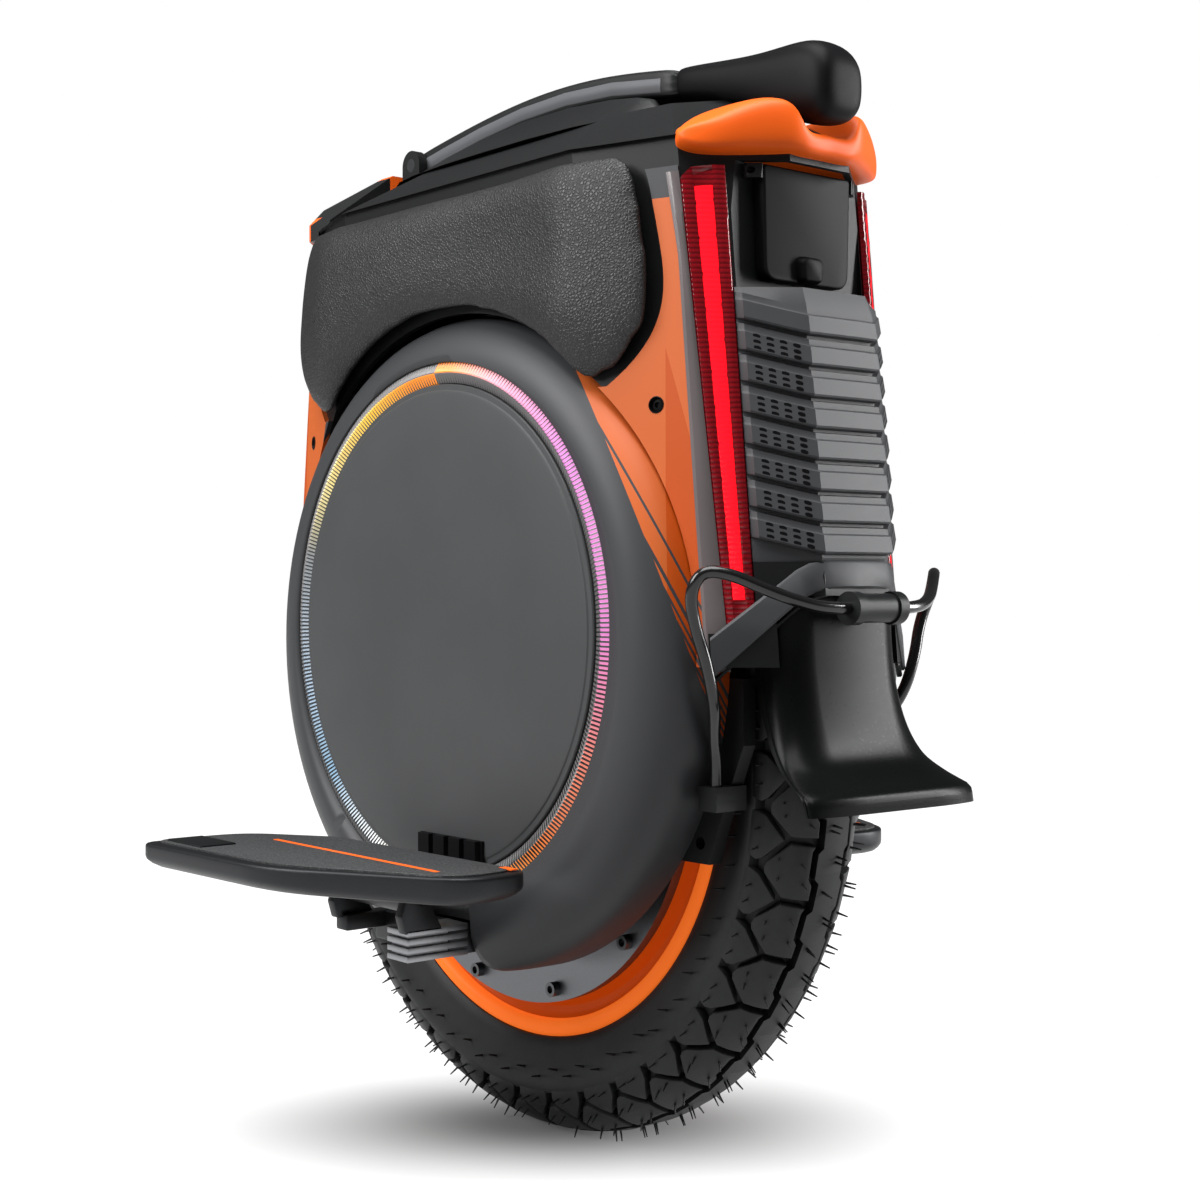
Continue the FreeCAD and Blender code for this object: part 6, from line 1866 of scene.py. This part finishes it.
@dataclass
class Mudguard:
    """Glossy rear guard that flares out to a thick lip."""

    palette: Palette
    bottom_mm: float = 203.0
    height_mm: float = 100.7
    wall_mm: float = 3.0
    rows: int = 44
    rear_mm: Pairs = (
        (0.0, -255.8), (0.08, -255.7), (0.1, -252.6), (0.15, -244.5), (0.22, -236.6), (0.35, -229.9),
        (0.55, -224.7), (0.75, -222.4), (1.0, -221.2))
    half_mm: Pairs = (
        (0.0, 58.0), (0.08, 57.9), (0.1, 56.5), (0.15, 53.0), (0.22, 48.8), (0.35, 45.2), (0.55, 42.7),
        (0.75, 42.0), (1.0, 41.8))
    depth_mm: Pairs = ((0.0, 6.5), (0.12, 11.0), (0.3, 17.0), (0.6, 22.0), (1.0, 23.5))
    flat_half_mm: float = 24.0
    lip_mm: float = 3.4
    border_mm: float = 1.2
    border_full_mm: float = 14.0
    border_shares: Pair = (0.17, 0.14)
    round_share: float = 0.8
    arc_steps: int = 8
    lip_rows: int = 2
    edge_mm: float = 0.9

    def path(self, share: float, inset: float) -> list[Pair]:
        """Gives the guard's plan at a share of its height, moved in by an inset.

        Args:
            share: 0 at the lip, 1 at the top.
            inset: Distance inside the outer face.

        Returns:
            Points from the left front to the right front.
        """
        rear = curve_at(self.rear_mm, share) + inset
        half = curve_at(self.half_mm, share) - inset
        depth = curve_at(self.depth_mm, share) - inset
        radius = self.round_share * depth
        flat = self.flat_half_mm - inset
        right = [(flat + (half - flat) * math.sin(a), rear + radius * (1 - math.cos(a)))
                 for a in (i / self.arc_steps * FULL_TURN / 4 for i in range(self.arc_steps + 1))]
        edge = rear + depth
        raised = half + self.border_mm * min(1.0, depth / self.border_full_mm)
        start, full = (edge - part * depth for part in self.border_shares)
        right += [(half, start), (raised, full), (raised, edge)]
        return [(-x, y) for x, y in reversed(right)] + right

    def build(self) -> None:
        """Lofts the guard's wall from lip to top."""
        loops = []
        for row in range(self.rows + 1):
            share = row / self.rows
            z = self.bottom_mm + share * self.height_mm
            wall = self.wall_mm + (self.lip_mm - self.wall_mm if row < self.lip_rows else 0.0)
            loop = [millimetres(x, y, z) for x, y in self.path(share, 0.0)]
            loop += [millimetres(x, y, z) for x, y in reversed(self.path(share, wall))]
            loops.append(loop)
        guard = new_object("flared_mudguard", lofted(loops), 40.0)
        rim = guard.modifiers.new("soft edges", "BEVEL")
        rim.width = self.edge_mm * MM
        rim.segments = 2
        rim.limit_method = "ANGLE"
        rim.angle_limit = math.radians(50.0)
        self.palette.fit(guard, Tint.GLOSS, "chassis", "gloss_black", "mudguard")


@dataclass
class Handle:
    """Carry handle that swings on the cover: an arched bar and a soft grip that drops into the rest."""

    palette: Palette
    bar_mm: tuple[tuple[float, float, float, float], ...] = (
        (131.0, 566.5, 13.0, 4.0), (128.0, 567.0, 13.0, 7.0), (121.0, 568.6, 13.0, 8.4),
        (96.0, 572.6, 13.0, 8.0), (60.0, 578.0, 12.8, 7.6), (20.0, 581.8, 12.8, 7.6),
        (-20.0, 582.6, 12.8, 7.6), (-60.0, 580.0, 13.0, 7.6), (-100.0, 574.0, 13.0, 7.8),
        (-113.0, 571.6, 13.0, 7.8))
    grip_mm: tuple[tuple[float, float, float, float], ...] = (
        (-111.5, 571.8, 13.6, 8.2), (-115.0, 571.2, 15.6, 9.3), (-130.0, 569.0, 16.4, 10.2),
        (-156.0, 564.0, 16.8, 12.6), (-174.0, 560.2, 17.0, 15.6), (-190.0, 557.0, 17.0, 19.4),
        (-204.0, 554.6, 16.8, 21.4), (-213.0, 552.6, 16.0, 19.0), (-218.0, 551.2, 13.6, 13.4),
        (-219.6, 550.6, 8.0, 7.0))
    points: int = 20
    inlay_shares: Pair = (-0.66, 0.36)
    inlay_proud_mm: float = 0.5
    inlay_sunk_mm: float = 0.4
    inlay_slant_share: float = 0.08

    def make_tube(self, name: str, path: Sequence[tuple[float, float, float, float]], power: float) -> Object:
        """Lofts rounded sections along the handle.

        Args:
            name: Name of the piece.
            path: Y, Z, half width and half height of each section, in millimetres.
            power: How square the sections are.

        Returns:
            The finished piece.
        """
        loops = [[millimetres(u, y, z + v) for u, v in oval(self.points, wide, high, power)]
                 for y, z, wide, high in path]
        tube = new_object(name, lofted(loops), 70.0)
        rounding(tube, 2)
        return tube

    def make_inlay(self) -> Object:
        """Lofts the flat grey inlay along the bar's flanks.

        Returns:
            The inlay.
        """
        low, high = self.inlay_shares
        sunk, slant = self.inlay_sunk_mm, self.inlay_slant_share
        out = self.inlay_proud_mm - sunk
        section = ((-sunk, low), (out, low + slant), (out, high - slant), (-sunk, high))
        strips = []
        for side in SIDES:
            loops = [[millimetres(side * (wide + u), y, z + share * tall) for u, share in section]
                     for y, z, wide, tall in self.bar_mm[2:-1]]
            strips.append(lofted(loops))
        return new_object("handle_inlay", merged(strips), 40.0)

    def build(self) -> None:
        """Makes the bar and its grip."""
        self.palette.fit(self.make_tube("arched_handle_bar", self.bar_mm, 6.0), Tint.BLACK, "handle",
                         "black_plastic", "handle_bar")
        self.palette.fit(self.make_tube("handle_soft_grip", self.grip_mm, 3.0), Tint.SOFT, "handle",
                         "black_rubber", "handle_grip")
        self.palette.fit(self.make_inlay(), Tint.TRIM, "handle", "grey_plastic")


@dataclass
class PortFlap:
    """Soft flap over the charge socket, with rounded lower corners and a thumb tab."""

    palette: Palette
    face_mm: float = -194.0
    levels_mm: Pairs = ((6.6, 1.0), (1.2, 1.0), (0.3, 0.985), (0.0, 0.955))
    outline_mm: Pairs = ((-30.8, 513.0), (30.8, 513.0), (29.4, 457.2), (-29.4, 457.2))
    radii_mm: Numbers = (2.0, 2.0, 8.0, 8.0)
    tab_mm: Pairs = ((-9.0, 471.0), (9.0, 471.0), (7.4, 457.4), (-7.4, 457.4))
    tab_radii_mm: Numbers = (5.0, 5.0, 3.0, 3.0)
    tab_levels_mm: Pairs = ((0.5, 1.0), (-1.8, 0.94), (-3.8, 0.84), (-4.6, 0.70))

    def plate(self, outline: Sequence[Pair], levels: Sequence[Pair]) -> BMesh:
        """Lofts an outline through levels of depth, drawn in towards its middle.

        Args:
            outline: Points across and up.
            levels: Distance inside the face with the share of the outline's size there.

        Returns:
            The closed plate.
        """
        mid_x = sum(x for x, _ in outline) / len(outline)
        mid_z = sum(z for _, z in outline) / len(outline)
        return lofted([[millimetres(mid_x + (x - mid_x) * share, self.face_mm + depth,
                                    mid_z + (z - mid_z) * share) for x, z in outline]
                       for depth, share in levels])

    def build(self) -> None:
        """Makes the flap and its tab."""
        flap = new_object("rounded_port_flap",
                          self.plate(rounded(self.outline_mm, self.radii_mm), self.levels_mm), 50.0)
        self.palette.fit(flap, Tint.SOFT, "port_flap", "black_rubber", "port_flap")
        tab = new_object("flap_thumb_tab",
                         self.plate(rounded(self.tab_mm, self.tab_radii_mm), self.tab_levels_mm), 50.0)
        self.palette.fit(tab, Tint.SOFT, "port_flap", "black_rubber")


@dataclass
class Pedal:
    """Folding footplate: rounded casting, gritted deck with an orange line, heel clip and hinge knuckle."""

    palette: Palette
    inner_mm: float = 109.0
    outer_mm: float = 210.0
    rear_mm: float = -117.0
    front_mm: float = 110.0
    top_mm: float = 168.0
    corner_shares: Pairs = ((0.0, 0.02), (0.41, 0.0), (0.95, 0.43), (1.0, 0.99), (0.4, 0.975), (0.04, 0.75))
    radius_shares: Numbers = (0.14, 0.35, 1.09, 0.08, 0.4, 0.3)
    middle_shift_mm: float = 4.0
    arc_steps: int = 8
    pivot_mm: Pair = (122.0, 146.0)
    knuckle_steps: int = 24
    knuckle_rise_mm: float = 8.6
    knuckle_flat_mm: float = 0.3
    knuckle_mm: Triple = (9.0, 4.1, 28.0)
    deck_mm: float = 1.2
    deck_sunk_mm: float = 0.3
    deck_insets_mm: Pair = (6.0, 6.5)
    line_heights_mm: Pair = (-0.4, 0.15)
    line_mm: tuple[Pair, Pair] = ((150.0, -92.0), (153.0, 62.0))
    tip_mm: tuple[Pair, Pair] = ((115.5, -109.0), (119.5, -99.0))
    clip_mm: tuple[Pair, Pair] = ((178.0, 58.0), (200.0, 96.0))
    clip_heights_mm: Pair = (0.4, 2.2)
    clip_edge_mm: float = 0.8
    skirt_mm: Pairs = (
        (168.0, 1.6), (167.7, 0.7), (167.0, 0.15), (165.8, 0.0), (161.0, 0.0), (159.2, 0.5), (157.0, 2.6),
        (155.0, 6.0), (154.1, 9.5), (154.0, 14.0))

    def outline(self, inset: float, z: float) -> list[Vector]:
        """Gives the footplate's outline, drawn in by an inset.

        Args:
            inset: Distance inside the rim in millimetres.
            z: Height of the loop in millimetres.

        Returns:
            Points of the loop in metres.
        """
        width, length = self.outer_mm - self.inner_mm, self.front_mm - self.rear_mm
        points = [(self.inner_mm + u * width, self.rear_mm + v * length) for u, v in self.corner_shares]
        loop = rounded(points, [share * width for share in self.radius_shares], self.arc_steps)
        mid_x = (self.inner_mm + self.outer_mm) / 2.0 - self.middle_shift_mm
        mid_y = (self.rear_mm + self.front_mm) / 2.0
        fit_x = 1.0 - inset / (width / 2.0)
        fit_y = 1.0 - inset / (length / 2.0)
        return [millimetres(mid_x + (x - mid_x) * fit_x, mid_y + (y - mid_y) * fit_y, z) for x, y in loop]

    def make_plate(self) -> BMesh:
        """Lofts the casting down its rounded skirt."""
        return lofted([self.outline(inset, z) for z, inset in self.skirt_mm])

    def make_knuckle(self) -> BMesh:
        """Lofts the hinge knuckle with its bore under the plate.

        Returns:
            The knuckle.
        """
        radius, bore, half = self.knuckle_mm
        x0, z0 = self.pivot_mm
        steps = self.knuckle_steps
        rings = []
        for r, y in ((bore, -half), (radius, -half), (radius, half), (bore, half)):
            ring = []
            for i in range(steps):
                turn = FULL_TURN * i / steps
                x, z = r * math.cos(turn), r * math.sin(turn)
                if r == radius and z > 0.0:
                    x = math.copysign(radius, x) if abs(x) > self.knuckle_flat_mm else x
                    z = max(z, self.knuckle_rise_mm)
                ring.append(millimetres(x0 + x, y, z0 + z))
            rings.append(ring)
        return lofted(rings + rings[:1], False)

    def make_deck(self) -> BMesh:
        """Lofts the thin grit sheet inside the plate's rim.

        Returns:
            The deck.
        """
        low = self.top_mm - self.deck_sunk_mm
        high = self.top_mm + self.deck_mm
        edge, drawn = self.deck_insets_mm
        return lofted([self.outline(edge, low), self.outline(edge, high - self.deck_sunk_mm),
                       self.outline(drawn, high)])

    def make_line(self, corners: tuple[Pair, Pair]) -> BMesh:
        """Lays a thin raised line along the deck, between two corners."""
        top = self.top_mm + self.deck_mm
        low, high = self.line_heights_mm
        return block((*corners[0], top + low), (*corners[1], top + high))

    def make_clip(self) -> BMesh:
        """Makes the rounded heel clip.

        Returns:
            The clip.
        """
        low, high = self.clip_heights_mm
        clip = block((*self.clip_mm[0], self.top_mm + low), (*self.clip_mm[1], self.top_mm + high))
        bevel(clip, clip.edges, self.clip_edge_mm * MM)
        return clip

    def build(self) -> None:
        """Makes both pedals with their decks and lines."""
        for side in SIDES:
            body = f"pedal_{side_name(side)}"
            deck_node = f"pedal_deck_{side_name(side)}"
            pieces = (
                (f"cast_{body}", self.make_plate(), 50.0, Tint.DARK, "dark_aluminium", (body,)),
                (f"{body}_knuckle", self.make_knuckle(), 40.0, Tint.DARK, "dark_aluminium", ()),
                (f"{body}_grit_sheet", self.make_deck(), 40.0, Tint.GRIT, "grip_sheet", (deck_node,)),
                (f"{body}_deck_line", self.make_line(self.line_mm), 35.0, Tint.ORANGE, "grip_sheet", ()),
                (f"{body}_deck_tip", self.make_line(self.tip_mm), 35.0, Tint.ORANGE, "grip_sheet", ()),
                (f"{body}_heel_clip", self.make_clip(), 35.0, Tint.BLACK, "dark_aluminium", ()),
            )
            for name, mesh, smooth_deg, tint, slot, nodes in pieces:
                self.palette.fit(new_object(name, on_side(mesh, side), smooth_deg), tint, body, slot, *nodes)


@dataclass
class TopRails:
    """Pair of low rails on the top cover, between which the handle's bar lies."""

    palette: Palette
    inner_mm: float = 15.2
    foot_mm: float = 552.0
    edge_mm: Pairs = ((0.0, 1.2), (1.0, 0.2), (3.4, 0.0))
    fall_mm: Pair = (6.0, 4.0)
    fall_shares: Triple = (0.14, 0.55, 0.88)
    spine_mm: tuple[Triple, ...] = (
        (117.0, 560.0, 34.0), (104.0, 563.2, 40.0), (84.0, 566.6, 44.0), (50.0, 571.0, 47.0),
        (10.0, 573.6, 48.0), (-30.0, 573.6, 48.0), (-66.0, 571.0, 46.0), (-88.0, 567.8, 42.0),
        (-100.0, 564.6, 36.0), (-106.0, 558.0, 30.0))

    def make_rail(self) -> BMesh:
        """Lofts one rail along the bar, falling away to the cover's shoulder.

        Returns:
            The rail.
        """
        loops = []
        inner = self.inner_mm
        near, far = self.fall_mm
        for y, top, reach in self.spine_mm:
            rise = top - self.foot_mm
            places = (inner + near, (inner + reach) / 2.0, reach - far)
            section = [(inner, self.foot_mm)] + [(inner + u, top - drop) for u, drop in self.edge_mm]
            section += [(x, top - share * rise) for x, share in zip(places, self.fall_shares)]
            section.append((reach, self.foot_mm))
            loops.append([millimetres(x, y, z) for x, z in section])
        return lofted(loops)

    def build(self) -> None:
        """Makes both rails."""
        for side in SIDES:
            rail = sided("handle_rail", self.make_rail(), side, 34.0)
            self.palette.fit(rail, Tint.BLACK, "chassis", "black_plastic")


@dataclass
class SmallFittings:
    """Socket screws of the corner trims."""

    palette: Palette
    screw_mm: Pair = (156.0, 396.0)
    steps: int = 24
    profile_mm: Pairs = (
        (-2.4, 4.2), (0.25, 4.2), (0.45, 3.8), (-1.3, 3.2), (-1.1, 2.9), (-1.0, 1.5), (-2.2, 1.35),
        (-2.2, 0.0))

    def make_screw(self, place: Vector, facing: Vector) -> BMesh:
        """Spins a recessed socket screw and turns it to the panel.

        Args:
            place: Middle of its head in metres.
            facing: Direction that it faces.

        Returns:
            The screw.
        """
        mesh = spun(in_metres(self.profile_mm), Vector(), self.steps, False)
        turn = AXLE.rotation_difference(facing).to_matrix()
        bmesh.ops.rotate(mesh, cent=(0.0, 0.0, 0.0), matrix=turn, verts=mesh.verts)
        bmesh.ops.translate(mesh, vec=place, verts=mesh.verts)
        return mesh

    def build(self) -> None:
        """Makes the screws."""
        plan = BodyPlan()
        reach, height = self.screw_mm
        inner, outer, near, far = list(plan.spans())[-1]
        slope = (far - near) / (outer - inner)
        across = inner + (plan.half_length(height) - near - reach) / slope
        for end in (-1, 1):
            facing = Vector((slope, end, 0.0)).normalized()
            place = millimetres(across, plan.middle_y_mm + end * reach, height)
            for side in SIDES:
                name = f"trim_screw_{'rear' if end < 0 else 'front'}_{side_name(side)}"
                screw = new_object(name, on_side(self.make_screw(place, facing), side))
                stood_for = ("panel_screws",) if (end, side) == (-1, 1) else ()
                self.palette.fit(screw, Tint.SOFT, "chassis", "steel", *stood_for)


@dataclass
class PedalBracket:
    """Casting that carries a pedal's hinge: slab, ribbed rear block, front arm and an ear at each pin end."""

    palette: Palette
    slab_mm: tuple[Triple, Triple] = ((50.2, -35.0, 113.4), (104.0, 35.0, 129.6))
    arm_mm: tuple[Triple, Triple] = ((98.0, 25.0, 121.0), (129.0, 36.0, 130.0))
    fins_mm: tuple[Triple, Triple] = ((92.0, -36.0, 113.2), (131.0, -17.0, 130.0))
    fin_count: int = 4
    groove_mm: float = 1.3
    groove_depth_mm: float = 2.0
    core_inset_mm: float = 0.4
    block_edge_mm: float = 1.2
    fin_edge_mm: float = 0.5
    ear_edge_mm: float = 0.8
    ears_mm: Pairs = ((-36.0, -29.4), (29.4, 36.0))
    ear_mm: Pairs = (
        (108.0, 128.0), (132.0, 128.0), (134.6, 137.0), (131.0, 148.6), (126.0, 152.8), (118.0, 152.8),
        (115.2, 148.6), (113.6, 138.0))

    def make_fins(self) -> list[BMesh]:
        """Cuts the rear block into fins round a narrower core.

        Returns:
            The core and its fins.
        """
        (x0, y0, z0), (x1, y1, z1) = self.fins_mm
        deep = self.groove_depth_mm
        parts = [block((x0, y0 + deep, z0 + self.core_inset_mm),
                       (x1 - deep, y1 - deep, z1 - self.core_inset_mm))]
        tall = (z1 - z0 - (self.fin_count - 1) * self.groove_mm) / self.fin_count
        for fin in range(self.fin_count):
            low = z0 + fin * (tall + self.groove_mm)
            part = block((x0, y0, low), (x1, y1, low + tall))
            bevel(part, part.edges, self.fin_edge_mm * MM)
            parts.append(part)
        return parts

    def make_ear(self, y0: float, y1: float) -> BMesh:
        """Lofts the many-sided plate at one end of the pin."""
        mesh = lofted([[millimetres(x, y, z) for x, z in self.ear_mm] for y in (y0, y1)])
        bevel(mesh, mesh.edges, self.ear_edge_mm * MM)
        return mesh

    def build(self) -> None:
        """Makes both brackets."""
        for side in SIDES:
            plain = []
            for low, high in (self.slab_mm, self.arm_mm):
                part = block(low, high)
                bevel(part, part.edges, self.block_edge_mm * MM)
                plain.append(part)
            plain += [self.make_ear(y0, y1) for y0, y1 in self.ears_mm]
            end = side_name(side)
            casting = sided("bracket_casting", merged(plain), side, 40.0)
            self.palette.fit(casting, Tint.DARK, "chassis", "dark_aluminium", f"pedal_bracket_{end}")
            fins = sided("bracket_fins", merged(self.make_fins()), side, 40.0)
            self.palette.fit(fins, Tint.RIBBED, "chassis", "grey_aluminium")


@dataclass
class Headlamp:
    """Square headlamp: dark bezel, clear cover and rows of small bright lens domes."""

    palette: Palette
    half_mm: float = 19.0
    low_mm: float = 462.0
    high_mm: float = 498.0
    lean: float = 25.0 / 256.0
    front_mm: float = 197.0
    columns: int = 4
    rows: int = 4
    bezel_mm: float = 3.0
    corner_mm: float = 3.0
    floor_inset_mm: float = 2.6
    section_mm: Pairs = ((3.0, -5.0), (3.0, -0.4), (2.4, 0.2), (0.6, 0.2), (0.0, -0.5), (0.0, -5.0))
    dome_share: float = 0.46
    dome_mm: Pairs = ((1.0, -4.6), (0.86, -2.9), (0.5, -1.7), (0.12, -1.3))

    def face(self, x: float, z: float, proud: float) -> Vector:
        """Gives a point on the leaning lamp face, moved out by a distance."""
        return millimetres(x, self.front_mm - self.lean * (z - self.low_mm) + proud, z)

    def frame(self, inset: float, proud: float) -> list[Vector]:
        """Gives a rounded square on the lamp face, drawn in by an inset."""
        half, low, high = self.half_mm - inset, self.low_mm + inset, self.high_mm - inset
        corners = ((-half, low), (half, low), (half, high), (-half, high))
        return [self.face(x, z, proud) for x, z in rounded(corners, (self.corner_mm,) * len(corners))]

    def make_bezel(self) -> Object:
        """Lofts the frame round the lamp."""
        loops = [self.frame(inset, proud) for inset, proud in self.section_mm]
        return new_object("headlamp_bezel", lofted(loops + loops[:1], False), 40.0)

    def make_domes(self) -> Object:
        """Sets the lens domes on the lamp's floor.

        Returns:
            The domes.
        """
        base = bmesh.new()
        wide = 2.0 * (self.half_mm - self.bezel_mm) / self.columns
        tall = (self.high_mm - self.low_mm - 2.0 * self.bezel_mm) / self.rows
        floor = self.frame(self.floor_inset_mm, self.dome_mm[0][1])
        base.faces.new([base.verts.new(p) for p in floor])
        parts = [base]
        for column in range(self.columns):
            for row in range(self.rows):
                x = -self.half_mm + self.bezel_mm + (column + 0.5) * wide
                z = self.low_mm + self.bezel_mm + (row + 0.5) * tall
                half = self.dome_share
                loops = [[self.face(x + u, z + v, proud)
                          for u, v in oval(12, half * wide * share, half * tall * share, 3.0)]
                         for share, proud in self.dome_mm]
                parts.append(lofted(loops))
        mesh = merged(parts)
        bmesh.ops.recalc_face_normals(mesh, faces=mesh.faces)
        return new_object("headlamp_domes", mesh, 50.0)

    def build(self) -> None:
        """Makes the bezel and the domes."""
        self.palette.fit(self.make_bezel(), Tint.BLACK, "chassis", "black_plastic")
        self.palette.fit(self.make_domes(), Tint.CLEAR, "chassis", "clear_lens", "headlamp")


def main() -> None:
    """Loads the frame and builds each sub-assembly."""
    logging.basicConfig(level=logging.INFO, format="%(message)s")
    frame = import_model()
    nodes = frame["nodes"]
    palette = Palette()
    palette.dress_nodes(nodes)
    Studio().build()
    RearLead(palette).build(nodes)
    for kind in (KnobblyTyre, RimRing, SideCover):
        kind(palette).build()
    KneePad(palette).build(nodes)
    for kind in (RearPanel, ArchBezel, TailLamp, TailRest, Mudguard, Handle, PortFlap, Pedal, TopRails,
                 SmallFittings, PedalBracket, Headlamp):
        kind(palette).build()


if __name__ == "__main__":
    main()
